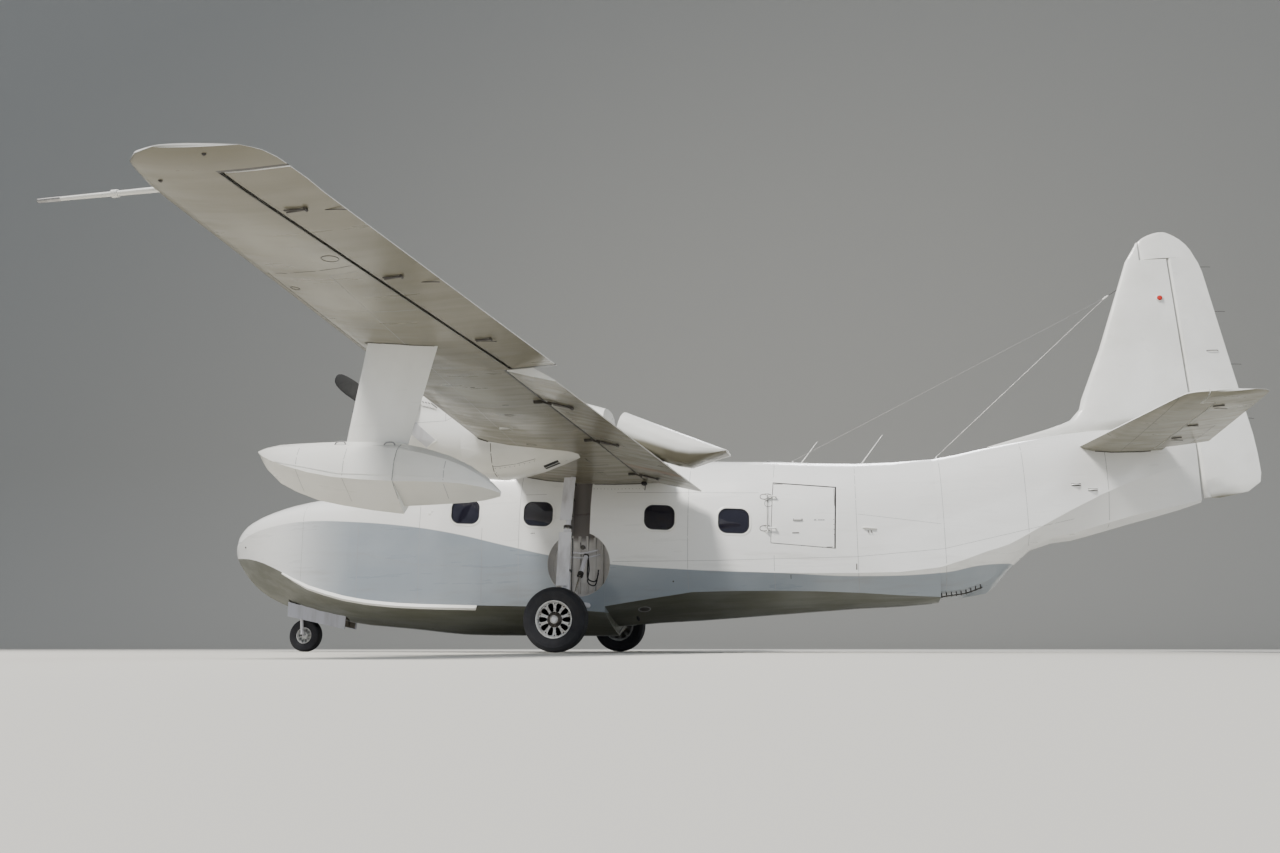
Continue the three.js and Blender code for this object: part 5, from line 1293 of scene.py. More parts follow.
for hand, side in (("left", -1), ("right", 1)):
    dress(f"nose_door_{hand}", door_pale, crease=30)
    form = bmesh.new()
    inner = side * (DOOR_HALF - 0.0125)
    outline = [
        (1010, door_hinge(1010) - 0.012), (1925, door_hinge(1925) - 0.012),
        (1915, door_hinge(1945) - 0.178), (1012, door_hinge(985) - 0.198),
    ]
    slab(form, [(aft(s), inner, z) for s, z in outline], (0, -side * 0.0015, 0), kind=0)
    for share in np.linspace(0.04, 0.96, 20):
        for height in (0.05, 0.93):
            low = Vector(outline[3]).lerp(Vector(outline[2]), share)
            high = Vector(outline[0]).lerp(Vector(outline[1]), share)
            spot = low.lerp(high, height)
            screw = ((0, 0), (0, 0.006), (0.002, 0.004), (0.002, 0))
            revolve(form, screw, (aft(spot.x), inner - side * 0.001, spot.y), (0, -side, 0), 6, 1)
    for station in DOOR_STIFFENERS:
        z = door_hinge(station)
        stiff = [(-0.012, 0.0), (-0.012, 0.016), (0.012, 0.016), (0.012, 0.0)]
        rings = [
            [Vector((aft(station) + u, inner - side * v, z - drop)) for u, v in stiff]
            for drop in (0.02, 0.185)
        ]
        ring_faces(form, rings, kind=0)
        barrel = ((-0.04, 0), (-0.04, 0.009), (0.04, 0.009), (0.04, 0))
        revolve(form, barrel, (aft(station), side * (DOOR_HALF - 0.006), z + 0.004), (1, 0, -0.23), 10, 1)
    settle(f"nose_door_inside_{hand}", form, [door_oily, dark_steel], "airframe", crease=38)

# Nacelles
# Each engine breathes through a chin scoop. Its two brown exhaust stubs stand out of the
# cowl's cheeks; a heat shield runs down and aft from each, and louvres vent the bay behind.
def track(skin, spots, inward, spacing=0.05):
    """Places and normals along a line of spots, dropped on to the skin."""
    found = []
    spots = [Vector(spot) for spot in spots]
    for first, second in zip(spots, spots[1:]):
        count = max(int((second - first).length / spacing), 1)
        for step in range(count + (second is spots[-1])):
            hit, normal, face, depth = skin.ray_cast(first.lerp(second, step / count), Vector(inward))
            if hit is not None:
                found.append((hit, normal if normal.dot(Vector(inward)) < 0 else -normal))
    return found


def ribbon(form, laid, width, proud=0.0012, kind=0):
    """A flat strip on the skin along a track."""
    if len(laid) < 2:
        return
    rings = []
    for index, (spot, normal) in enumerate(laid):
        along = laid[min(index + 1, len(laid) - 1)][0] - laid[max(index - 1, 0)][0]
        across = normal.cross(along).normalized() * (width / 2)
        rings.append([spot - across - normal * 0.004, spot - across + normal * proud,
                      spot + across + normal * proud, spot + across - normal * 0.004])
    ring_faces(form, rings, kind=kind)


def patch(form, skin, corners, inward, proud=0.004, sunk=0.004, steps=(8, 6), kind=0):
    """A thin plate with four corners that follows the skin."""
    a, b, c, d = [Vector(corner) for corner in corners]
    layers = []
    for lift in (proud, -sunk):
        grid = []
        for i in range(steps[0] + 1):
            row = []
            for j in range(steps[1] + 1):
                s, t = i / steps[0], j / steps[1]
                spot = a.lerp(b, s).lerp(d.lerp(c, s), t)
                hit, normal, face, depth = skin.ray_cast(spot, Vector(inward))
                if hit is None:
                    return
                normal = normal if normal.dot(Vector(inward)) < 0 else -normal
                row.append(form.verts.new(hit + normal * lift))
            grid.append(row)
        layers.append(grid)
    top, low = layers
    for grid in layers:
        for i in range(steps[0]):
            for j in range(steps[1]):
                corners = (grid[i][j], grid[i + 1][j], grid[i + 1][j + 1], grid[i][j + 1])
                form.faces.new(corners).material_index = kind
    for i in range(steps[0]):
        for j in (0, steps[1]):
            form.faces.new((top[i][j], top[i + 1][j], low[i + 1][j], low[i][j])).material_index = kind
    for j in range(steps[1]):
        for i in (0, steps[0]):
            form.faces.new((top[i][j], top[i][j + 1], low[i][j + 1], low[i][j])).material_index = kind


def studs(form, laid, spacing, size, kind=0):
    """Low round heads along a track, half as high as they are wide."""
    head = ((-0.002, size), (size * 0.3, size * 0.75), (size * 0.5, 0.0))
    gone = spacing
    for (spot, normal), before in zip(laid, laid[:1] + laid):
        gone += (spot - before[0]).length
        if gone >= spacing:
            gone = 0.0
            revolve(form, head, spot, normal, 8, kind)


def bake_brown():
    """Exhaust steel, burnt brown and blue-black with a chalky bloom."""
    finish, tree, shader, place = new_finish("burnt exhaust steel", 0.5, metallic=0.75)
    burnt = cloud(tree, place, 7.0, detail=8.0)
    base = mixed(tree, ramp(tree, burnt, 0.35, 0.7), (0.085, 0.040, 0.030, 1), (0.030, 0.026, 0.034, 1))
    base = mixed(tree, ramp(tree, burnt, 0.68, 0.8, 0.0, 0.6), base, (0.30, 0.24, 0.20, 1))
    tree.links.new(base, shader.inputs["Base Color"])
    tree.links.new(ramp(tree, burnt, 0.3, 0.7, 0.35, 0.7), shader.inputs["Roughness"])
    relief(tree, shader, burnt, 0.002, 0.5)
    return finish


burnt_steel = bake_brown()
dark_gap = rubber("dark gap", (0.012, 0.012, 0.012, 1))
seam_grey = gear_paint("seam sealant", (0.30, 0.30, 0.30, 1), 0.5)
seam_dark = gear_paint("dark sealant", (0.055, 0.05, 0.045, 1), 0.3)
shield_grey = gear_paint("heat shield grey", (0.50, 0.50, 0.51, 1), 0.5)
cowl_finishes = [cowl_paint, burnt_steel, dark_gap, seam_dark, seam_grey]
SKIN, BURNT, GAP, SEALED, FAINT = range(5)
STUB = (
    (-0.05, 0.098), (-0.05, 0.112), (0.10, 0.112), (0.135, 0.109), (0.17, 0.110), (0.17, 0.103), (0.0, 0.10)
)
STUB_THROAT = ((0.0, 0.0), (0.0, 0.10), (0.012, 0.10), (0.012, 0.0))
STUB_COLLAR = ((-0.055, 0.105), (-0.055, 0.135), (0.012, 0.130), (0.016, 0.112))
# Each line on a cheek: its spots as stations and heights, and its width.
CHEEK_LINES = (
    (((3672, 3.27), (3672, 2.86)), 0.010), (((3900, 2.83), (3900, 3.05), (3930, 3.28)), 0.005),
    (((3905, 2.80), (4560, 2.80), (4700, 2.86)), 0.004), (((4560, 2.80), (4560, 3.25)), 0.004),
)
for hand, side in (("left", -1), ("right", 1)):
    cowl_skin = skin_of(f"cowl_{hand}", f"nacelle_{hand}")
    wing_skin = skin_of(f"wing_{hand}")
    form = bmesh.new()
    for out in (-1, 1):

        def on_cheek(station, z):
            """A spot well outside one cheek of the cowl."""
            return Vector((aft(station), side * ENGINE_Y + out * 1.2, z))

        inward = (0, -out, 0)
        mouth = cowl_skin.ray_cast(on_cheek(4023, 3.04), Vector(inward))[0]
        lean = Vector((0.55, out * 0.80, 0.10)).normalized()
        revolve(form, STUB, mouth - lean * 0.02, lean, 36, BURNT, closed=True)
        # A black disc closes each pipe: painted shade inside it.
        revolve(form, STUB_THROAT, mouth - lean * 0.02, lean, 24, GAP)
        revolve(form, STUB_COLLAR, mouth, lean, 36, SKIN, closed=True)
        shield = [on_cheek(4010, 2.93), on_cheek(4440, 2.56), on_cheek(4300, 2.49), on_cheek(3890, 2.84)]
        patch(form, cowl_skin, shield, inward, proud=0.010, steps=(14, 5), kind=5)
        lip = track(cowl_skin, [on_cheek(4445, 2.565), on_cheek(4295, 2.485)], inward, 0.02)
        ribbon(form, lip, 0.020, proud=0.022)
        for index in range(5):
            step, drop = index * 42, index * 0.012
            ends = [on_cheek(4170 + step, 3.075 - drop), on_cheek(4260 + step, 3.005 - drop)]
            slat = track(cowl_skin, ends, inward, 0.02)
            ribbon(form, slat, 0.016, proud=0.012)
            # Under each slat a black ribbon is its painted shadow.
            shade = [(spot + Vector((0.012, 0, 0.012)), normal) for spot, normal in slat]
            ribbon(form, shade, 0.010, 0.001, GAP)
        for line, width in CHEEK_LINES:
            laid = track(cowl_skin, [on_cheek(*spot) for spot in line], inward)
            ribbon(form, laid, width, 0.001, SEALED if width > 0.006 else FAINT)
        # The slot in the cheek is a black plate: painted shade of the opening.
        slot = [on_cheek(3705, 2.885), on_cheek(3790, 2.825), on_cheek(3778, 2.805), on_cheek(3695, 2.863)]
        patch(form, cowl_skin, slot, inward, proud=0.002, kind=GAP, steps=(4, 2))
        ring = track(
            cowl_skin, [on_cheek(5148, 2.60), on_cheek(5148, 2.30), on_cheek(5148, 2.17)], inward, 0.03
        )
        ribbon(form, ring, 0.009, 0.001, SEALED)
        joint = []
        for station in range(4880, 6500, 60):
            z = 2.52
            for attempt in range(3):
                hit = cowl_skin.ray_cast(on_cheek(station, z), Vector(inward))[0]
                if hit is None:
                    break
                ceiling = wing_skin.ray_cast(Vector((hit.x, hit.y + out * 0.012, 1.4)), Vector((0, 0, 1)))[0]
                if ceiling is None:
                    break
                z = ceiling.z - 0.004
            else:
                joint.append(hit + Vector((0, out * 0.004, 0)))
        if len(joint) > 3:
            run(form, joint, 0.007, 8, SEALED)

    def under(station, across):
        """A spot below the nacelle."""
        return Vector((aft(station), side * (ENGINE_Y + across), 1.2))

    up = (0, 0, 1)
    # The chin scoop's mouth is a black plate: painted shade of the opening.
    inlet = [under(3700, -0.10), under(3700, 0.10), under(3790, 0.13), under(3790, -0.13)]
    patch(form, cowl_skin, inlet, up, 0.002, kind=GAP, steps=(4, 3))
    # The ramp plate's grey is painted shade in a shallow recess of the white skin.
    ramp_plate = [under(3890, 0.06), under(4540, 0.20), under(4540, 0.30), under(3890, 0.14)]
    patch(form, cowl_skin, ramp_plate, up, proud=0.003, kind=FAINT, steps=(14, 4))
    ribbon(form, track(cowl_skin, [under(4545, 0.19), under(4545, 0.31)], up, 0.02), 0.012, 0.006, SEALED)
    ribbon(form, track(cowl_skin, [under(5148, -0.40), under(5148, 0.40)], up, 0.03), 0.009, 0.001, SEALED)
    for edge in (-0.30, 0.30):
        ribbon(form, track(cowl_skin, [under(5148, edge), under(5690, edge)], up, 0.05), 0.005, 0.001, SEALED)
        laid = track(cowl_skin, [under(5175, edge * 0.93), under(5670, edge * 0.93)], up, 0.02)
        studs(form, laid, 0.055, 0.006, kind=SEALED)
    studs(form, track(cowl_skin, [under(5175, -0.27), under(5175, 0.27)], up, 0.02), 0.06, 0.006, kind=SEALED)
    # The outlet is a black plate: painted shade of the opening.
    outlet = [under(5750, 0.02), under(5930, 0.02), under(5930, 0.16), under(5750, 0.16)]
    patch(form, cowl_skin, outlet, up, 0.002, kind=GAP, steps=(4, 3))
    settle(
        f"nacelle_fittings_{hand}", form, cowl_finishes + [shield_grey], "airframe", crease=40
    )

# Wing fittings
# Dark rubber seals the gaps; hinge brackets of plain steel carry the ailerons and the flaps.
# Each leading edge has a lamp behind a clear cover near the tip, and drains and ports below.
LEADING_LAMP = (8.68, 9.84)
AILERON_BRACKETS = (6.95, 8.35, 9.45)
FLOAT_Y = 6.85
WING_BUTTS = (1.35, 3.45, 4.25, 5.1, 6.11, 7.7, 8.6, 9.45)
# Each port: its station and its span, then half its width and half its length.
WING_PORTS = (
    (5712, 3.14, 0.036, 0.060), (5430, 8.15, 0.030, 0.034), (6010, 8.72, 0.050, 0.06),
    (5900, 4.55, 0.032, 0.045),
)
# Each strip: the station and span where it starts, those where it ends, and its width.
WING_STRIPS = (
    (6090, 2.05, 6400, 2.05, 0.012), (5830, 1.75, 6280, 1.75, 0.010), (5830, 1.52, 6240, 1.50, 0.010),
    (6200, 2.45, 6200, 2.20, 0.022), (6150, 1.62, 6230, 1.62, 0.03), (5960, 4.95, 6030, 4.95, 0.02),
    (5860, 5.6, 5900, 5.6, 0.02),
)


def hinge_fork(form, laid, spread, thick):
    """Two legs that stand astride a hinge and meet at a pin further aft on the moving skin."""
    if len(laid) < 2:
        return
    rail = [spot + normal * (thick + 0.004) for spot, normal in laid]
    for offset in (-spread, spread):
        closing = [point + Vector((0, offset * (1 - k / (len(rail) - 1)), 0)) for k, point in enumerate(rail)]
        run(form, closing, thick, 8, SEALED)
    pin = ((-spread, 0), (-spread, thick * 1.8), (spread, thick * 1.8), (spread, 0))
    revolve(form, pin, rail[-1], (0, 1, 0), 12, SEALED)


for hand, side in (("left", -1), ("right", 1)):
    skins = {kind: skin_of(f"{kind}_{hand}") for kind in ("wing", "aileron", "flap", "float", "float_strut")}

    def below(station, span):
        """A spot under the wing."""
        return Vector((aft(station), side * span, 1.0))

    def above(station, span):
        """A spot over the wing."""
        return Vector((aft(station), side * span, 4.0))

    up, down = (0, 0, 1), (0, 0, -1)
    form = bmesh.new()

    def lead(span):
        """Where the leading edge is at a station of the span."""
        low, high = 3.6, 7.0
        for attempt in range(16):
            middle = (low + high) / 2
            hit = skins["wing"].ray_cast(Vector((aft(middle * 1000), side * span, 1.0)), Vector(up))[0]
            low, high = (low, middle) if hit is not None else (middle, high)
        return high * 1000

    edge = [(span, lead(span)) for span in np.linspace(1.7, 9.85, 24)]
    clear = [(span, x) for span, x in edge if not 2.1 < span < 3.1]
    for drop, maker in ((up, below), (down, above)):
        for behind, width, proud, kind in ((75, 0.006, 0.001, SEALED), (560, 0.004, 0.0008, FAINT)):
            laid = track(skins["wing"], [maker(x + behind, span) for span, x in clear], drop, 0.08)
            ribbon(form, laid, width, proud, kind)
    for span in WING_BUTTS:
        x = lead(span)
        for drop, maker in ((up, below), (down, above)):
            laid = track(skins["wing"], [maker(x + 90, span), maker(6380, span)], drop, 0.06)
            ribbon(form, laid, 0.004, 0.0008, FAINT)
    studs(form, track(skins["wing"], [below(6330, 3.2), below(6330, 6.0)], up, 0.02), 0.12, 0.005, kind=FAINT)
    for x, span, wide, long in WING_PORTS:
        ring = [
            (math.cos(t) * long, math.sin(t) * wide)
            for t in np.linspace(0, 2 * math.pi, 20, endpoint=False)
        ]
        laid = track(skins["wing"], [below(x + u * 1000, span + v) for u, v in ring + ring[:1]], up, 0.5)
        if len(laid) > 4:
            ribbon(form, laid, 0.007, 0.002, SEALED)
    for x, span, x1, span1, width in WING_STRIPS:
        ribbon(
            form, track(skins["wing"], [below(x, span), below(x1, span1)], up, 0.04), width, 0.0015, SEALED
        )
    x0, x1 = lead(LEADING_LAMP[0]), lead(LEADING_LAMP[1])
    lens_corners = [
        below(x0 + 12, LEADING_LAMP[0]), below(x1 + 12, LEADING_LAMP[1]),
        below(x1 + 88, LEADING_LAMP[1]), below(x0 + 88, LEADING_LAMP[0]),
    ]
    patch(form, skins["wing"], lens_corners, up, proud=0.0025, kind=5, steps=(20, 4))
    for x in (5530, 5980):
        spot = skins["wing"].ray_cast(Vector((aft(x), side * 12.0, 2.735)), Vector((0, -side, 0)))
        if spot[0] is not None:
            revolve(
                form, ((-0.004, 0.0), (-0.004, 0.014), (0.004, 0.012), (0.004, 0.0)), spot[0], (0, side, 0),
                12, SEALED
            )
    strut_heart = Vector((aft(5730), side * FLOAT_Y, 0))
    for skin, height, cast, direction in ((skins["wing"], 2.50, -0.3, up), (skins["float"], 1.80, 0.3, down)):
        line = []
        for turn in np.linspace(0, 2 * math.pi, 44, endpoint=False):
            heart = strut_heart + Vector((0, 0, height)) + Vector((-0.20 if height < 2 else 0, 0, 0))
            reach = Vector((math.cos(turn) * 0.9, math.sin(turn) * 0.25, 0))
            ray = (heart - (heart + reach)).normalized()
            hit = skins["float_strut"].ray_cast(heart + reach, ray)[0]
            if hit is not None:
                hit = hit - ray * 0.003
                seat_hit = skin.ray_cast(Vector((hit.x, hit.y, hit.z + cast)), Vector(direction))[0]
                if seat_hit is not None and abs(seat_hit.z - hit.z) < 0.35:
                    line.append(Vector((hit.x, hit.y, seat_hit.z)))
        if len(line) > 20:
            run(form, line + line[:1], 0.006, 6, SEALED if height > 2 else FAINT)
    wing_finishes = cowl_finishes + [tinted(f"lamp cover {hand}", (0.02, 0.022, 0.045, 1), 0.3, 0.1)]
    settle(f"wing_fittings_{hand}", form, wing_finishes, "airframe", crease=40)

    form = bmesh.new()
    for span in BRACKET_SPANS:
        hinge = hinge_station(FLAP_HINGE, span)
        laid = track(skins["flap"], [below(hinge + 105, span), below(hinge + 300, span)], up, 0.02)
        hinge_fork(form, laid, 0.035, 0.010)
    for span in np.linspace(1.2, 5.9, 9):
        if abs(span - ENGINE_Y) > 0.45:
            hinge = hinge_station(FLAP_HINGE, span)
            laid = track(skins["flap"], [below(hinge + 60, span), below(7700, span)], up, 0.05)
            ribbon(form, laid, 0.004, 0.0008, FAINT)
    settle(f"flap_fittings_{hand}", form, cowl_finishes, f"flap_{hand}", crease=40)

    form = bmesh.new()
    for span in AILERON_BRACKETS:
        hinge = hinge_station(AILERON_HINGE, span)
        laid = track(skins["aileron"], [below(hinge + 70, span), below(hinge + 204, span)], up, 0.02)
        hinge_fork(form, laid, 0.016, 0.006)
    settle(f"aileron_fittings_{hand}", form, cowl_finishes, f"aileron_{hand}", crease=40)

    form = bmesh.new()
    for face in (-1, 1):
        beside = side * FLOAT_Y + face
        line = [Vector((aft(x), beside, z)) for x, z in ((4560, 1.62), (5300, 1.46), (6560, 1.37))]
        ribbon(form, track(skins["float"], line, (0, -face, 0), 0.06), 0.010, 0.003, SKIN)
    for x in (4900, 5350, 5795, 6200):
        for face in (-1, 1):
            line = [Vector((aft(x), side * FLOAT_Y + face, z)) for z in (1.25, 1.45, 1.70)]
            ribbon(form, track(skins["float"], line, (0, -face, 0), 0.03), 0.004, 0.0008, FAINT)
    for x in (5250, 5700):
        hit = skins["float"].ray_cast(Vector((aft(x), side * (FLOAT_Y - 0.10), 0.8)), Vector(up))[0]
        if hit is not None:
            revolve(form, ((-0.003, 0), (-0.003, 0.012), (0.004, 0.010), (0.004, 0)), hit, down, 10, SEALED)
    for x in (5260, 5700):
        hit = skins["float"].ray_cast(Vector((aft(x), side * (FLOAT_Y + 0.14), 3.0)), Vector(down))[0]
        if hit is not None:
            bow = [
                hit + Vector((u, 0, v))
                for u, v in ((-0.05, -0.004), (-0.03, 0.022), (0.03, 0.022), (0.05, -0.004))
            ]
            run(form, curve_through(bow, 4), 0.006, 8, FAINT)
    settle(f"float_fittings_{hand}", form, cowl_finishes, "airframe", crease=40)

# Wing root seals
# Dark beads of sealant close the joint of the wing and its fillets with the hull. A dotted
# row of screws follows the joint, and the flap's drive comes out at a black boot.
hull_side = skin_of("cabin_shell")
for hand, side in (("left", -1), ("right", 1)):
    skin = skin_of(f"wing_{hand}")
    form = bmesh.new()
    joint = []
    for station in np.linspace(4930, 6640, 70):
        across = 1.02
        for attempt in range(8):
            under = skin.ray_cast(Vector((aft(station), side * across, 1.6)), Vector((0, 0, 1)))[0]
            wall = under and hull_side.ray_cast(
                Vector((aft(station), side * 2.4, under.z)), Vector((0, -side, 0))
            )[0]
            if wall is None:
                break
            across = abs(wall.y) + 0.006
        else:
            joint.append(Vector((aft(station), side * across, under.z - 0.003)))
    parts = [[spot for spot in joint if spot.x < aft(5560)], [spot for spot in joint if spot.x > aft(5920)]]
    for part in parts:
        if len(part) > 2:
            run(form, part, 0.006, 6, SEALED)
            beside = [spot + Vector((0, side * 0.16, -0.6)) for spot in part]
            ribbon(form, track(skin, beside, (0, 0, 1), 0.05), 0.008, 0.0015, SEALED)
    dots = [Vector((spot.x, side * 2.4, spot.z - 0.07)) for spot in parts[1]]
    studs(form, track(hull_side, dots, (0, -side, 0), 0.015), 0.045, 0.005, kind=SEALED)
    if parts[1]:
        corner = parts[1][-1]
        line = [Vector((corner.x, side * 2.4, corner.z + lift)) for lift in (0.0, -0.10)]
        ribbon(form, track(hull_side, line, (0, -side, 0), 0.02), 0.012, 0.002, SEALED)
        boot = corner + Vector((0.0, side * 0.09, -0.012))
        revolve(
            form, ((-0.03, 0.028), (0.0, 0.034), (0.05, 0.016), (0.06, 0.0)), boot, (0.6, side * 0.5, -0.2),
            16, GAP
        )
    settle(f"wing_root_seals_{hand}", form, cowl_finishes, "airframe", crease=40)

# Pitot boom
# A painted tube ahead of the port wing tip, with a bare steel head and a clamp at its root.
dress("pitot_boom", trim_white)
form = bmesh.new()
boom = Vector((aft(4560), -9.7, 2.765))
revolve(
    form, ((0.0, 0.004), (0.0, 0.0125), (0.16, 0.0145), (0.16, 0.008)), boom, (1, 0, 0), 20, 1, closed=True
)
revolve(
    form, ((0.52, 0.017), (0.52, 0.024), (0.56, 0.024), (0.56, 0.017)), boom, (1, 0, 0), 20, 0, closed=True
)
settle("pitot_head", form, [trim_white, steel], "airframe")

# Tail fittings
# A hinge line of domed screws parts the rudder from the fin. A trim tab is let into the
# rudder's trailing edge; access covers, a red beacon, cleats and a tail lamp are fastened on.
fin_skin, rudder_skin = skin_of("fin"), skin_of("rudder")
tail_skin = skin_of("tail_cone", "cabin_shell")
lamp_red = rubber("red lamp glass", (0.55, 0.02, 0.012, 1))


def flank_spots(*pairs):
    """Spots well out to port of stations and heights."""
    return [Vector((aft(station), -2.6, z)) for station, z in pairs]


def ring_of(form, skin, station, z, radius, inward, width, kind):
    """A thin circle drawn on the skin."""
    turns = np.linspace(0, 2 * math.pi, 29)
    circle = [(aft(station) + math.cos(t) * radius, -2.6 * inward, z + math.sin(t) * radius) for t in turns]
    ribbon(form, track(skin, circle, (0, inward, 0), 1.0), width, 0.001, kind)


# These heights are in millimetres where metres are wanted, so the seams, screws and rings lie
# far above the tail and don't show.
for name, skin, body, lines, rows, rings in (
    (
        "fin", fin_skin, "airframe",
        (
            ((13912, 5341), (14006, 3090)), ((13350, 5225), (13880, 5255)), ((12500, 3620), (13985, 3620)),
            ((13330, 5150), (13260, 4700))
        ),
        (((13880, 5300), (13972, 3130), 0.165, 0.009), ((13200, 5215), (13870, 5240), 0.09, 0.003)),
        ((13740, 5310, 0.056), (13488, 5124, 0.030), (13810, 5060, 0.020), (13894, 3821, 0.012))
    ),
    (
        "rudder", rudder_skin, "rudder",
        (
            ((14321, 4276), (14345, 3475)), ((14345, 3475), (14559, 3484)), ((14321, 4276), (14500, 4282)),
            ((14062, 2878), (14697, 2825)), ((14080, 2560), (14690, 2520))
        ),
        (((14100, 2640), (14620, 2585), 0.07, 0.0045), ((14075, 5200), (14120, 2950), 0.16, 0.0045)),
        (
            (14200, 4560, 0.026), (14215, 4160, 0.026), (14230, 3760, 0.026), (14120, 5000, 0.018),
            (14250, 2250, 0.050)
        )
    ),
):
    form = bmesh.new()
    for inward in (1, -1):
        for line in lines:
            spots = [Vector((aft(station), -2.6 * inward, z)) for station, z in line]
            ribbon(
                form, track(skin, spots, (0, inward, 0), 0.05), 0.008 if line is lines[0] else 0.005, 0.001,
                SEALED if line in lines[:2] else FAINT
            )
        for first, last, spacing, size in rows:
            spots = [Vector((aft(station), -2.6 * inward, z)) for station, z in (first, last)]
            studs(form, track(skin, spots, (0, inward, 0), 0.01), spacing, size, kind=FAINT)
        for station, z, radius in rings:
            width, kind = (0.006, SEALED) if radius > 0.03 else (0.009, FAINT)
            ring_of(form, skin, station, z, radius, inward, width, kind)
    if name == "fin":
        red = track(skin, [Vector((aft(13706), -2.6, 4.77))] * 2, (0, 1, 0))
        revolve(form, ((-0.004, 0.05), (0.012, 0.048), (0.016, 0.036)), red[0][0], red[0][1], 20, SKIN)
        revolve(form, ((0.010, 0.034), (0.034, 0.028), (0.046, 0.0)), red[0][0], red[0][1], 20, 5)
    else:
        link = track(skin, flank_spots((14230, 3.995), (14380, 3.995)), (0, 1, 0), 0.02)
        last = len(link) - 1
        rod = [spot + normal * (0.016 if 0 < k < last else 0.0) for k, (spot, normal) in enumerate(link)]
        run(form, rod, 0.005, 8, SEALED)
    settle(f"{name}_fittings", form, cowl_finishes + [lamp_red], body, crease=40)

for hand, side in (("left", -1), ("right", 1)):
    for name, lines in (
        (
            "stabiliser",
            (
                ((12700, 0.75), (13372, 0.75)), ((12760, 1.55), (13374, 1.55)),
                ((12800, 2.35), (13374, 2.35)), ((12950, 0.35), (13000, 2.9))
            )
        ),
        (
            "elevator",
            (
                ((13400, 0.8), (13990, 0.8)), ((13400, 1.5), (13960, 1.5)), ((13400, 2.3), (13900, 2.3)),
                ((13790, 0.42), (13775, 1.42))
            )
        ),
    ):
        skin = skin_of(f"{name}_{hand}")
        form = bmesh.new()
        for z, drop in ((1.5, 1), (4.0, -1)):
            for line in lines:
                spots = [Vector((aft(station), side * span, z)) for station, span in line]
                ribbon(
                    form, track(skin, spots, (0, 0, drop), 0.05), 0.005, 0.001,
                    SEALED if line is lines[-1] else FAINT
                )
            if name == "stabiliser":
                row = [
                    Vector((aft(station), side * span, z)) for station, span in ((13340, 0.3), (13350, 2.9))
                ]
                studs(form, track(skin, row, (0, 0, drop), 0.02), 0.13, 0.004, kind=FAINT)
        if name == "elevator":
            for span in (0.95, 1.62, 2.55):
                ends = [Vector((aft(station), side * span, 1.5)) for station in (13408, 13528)]
                laid = track(skin, ends, (0, 0, 1), 0.02)
                run(form, [spot + normal * 0.008 for spot, normal in laid], 0.007, 6, SEALED)
        body = "airframe" if name == "stabiliser" else f"elevator_{hand}"
        settle(f"{name}_seams_{hand}", form, cowl_finishes, body, crease=40)

# Tail root seals and rudder hinges
# Black rubber beads seal the stabiliser's roots to the hull. Small brackets on both sides of
# the fin's foot carry the rudder's lower hinges.
form = bmesh.new()
for side in (-1, 1):
    root = skin_of("stabiliser_left" if side < 0 else "stabiliser_right")
    for height, drop in ((1.5, 1), (4.0, -1)):
        bead = []
        for station in np.linspace(12640, 13350, 30):
            across = 0.45
            for attempt in range(4):
                hit = root.ray_cast(Vector((aft(station), side * across, height)), Vector((0, 0, drop)))[0]
                if hit is None:
                    break
                wall = tail_skin.ray_cast(Vector((hit.x, side * 1.2, hit.z)), Vector((0, -side, 0)))[0]
                wall = wall or fin_skin.ray_cast(Vector((hit.x, side * 1.2, hit.z)), Vector((0, -side, 0)))[0]
                if wall is None:
                    break
                across = max(abs(wall.y) + 0.004, 0.158)
            else:
                bead.append(Vector((hit.x, side * across, hit.z - drop * 0.002)))
        if len(bead) > 3:
            run(form, bead, 0.008, 8, 3)
    for height in (2.16, 2.33, 2.50, 2.66, 2.84):
        beside = Vector((aft(14020 - (height - 2.16) * 30), side * 1.2, height))
        hit = fin_skin.ray_cast(beside, Vector((0, -side, 0)))[0]
        hit = hit or tail_skin.ray_cast(Vector((aft(14020), side * 1.2, height)), Vector((0, -side, 0)))[0]
        if hit is not None:
            start, end = hit + Vector((-0.07, side * 0.004, -0.012)), hit + Vector((0.012, side * 0.006, 0.0))
            run(form, [start, (start + end) / 2 + Vector((0, side * 0.006, 0.004)), end], 0.007, 8, 0)
settle("tail_seals", form, cowl_finishes, "airframe", crease=40)

# Tail hull fittings
# A steel comb bracket for beaching gear hangs under the hull's tail; two cleats are screwed to
# its side, and a small lamp closes the tail.
form = bmesh.new()
comb = [
    Vector((aft(station), -0.30, z))
    for station, z in ((10541, 0.575), (10700, 0.575), (10900, 0.600), (11086, 0.632))
]
comb_skin = skin_of("tail_cone", "cabin_shell", "afterbody_bottom")
bar = []
for spot in comb:
    hit = comb_skin.ray_cast(Vector((spot.x, spot.y, -1.0)), Vector((0, 0, 1)))[0]
    bar.append(Vector((spot.x, spot.y, (hit.z if hit is not None else spot.z) - 0.045)))
run(form, curve_through(bar, 4), 0.009, 8, 1)
for share in np.linspace(0.04, 0.96, 9):
    foot = bar[0].lerp(bar[-1], share)
    hit = comb_skin.ray_cast(Vector((foot.x, foot.y, -1.0)), Vector((0, 0, 1)))[0]
    if hit is not None:
        run(form, [hit + Vector((0, 0, 0.01)), Vector((foot.x, foot.y, hit.z - 0.06))], 0.008, 8, 1)
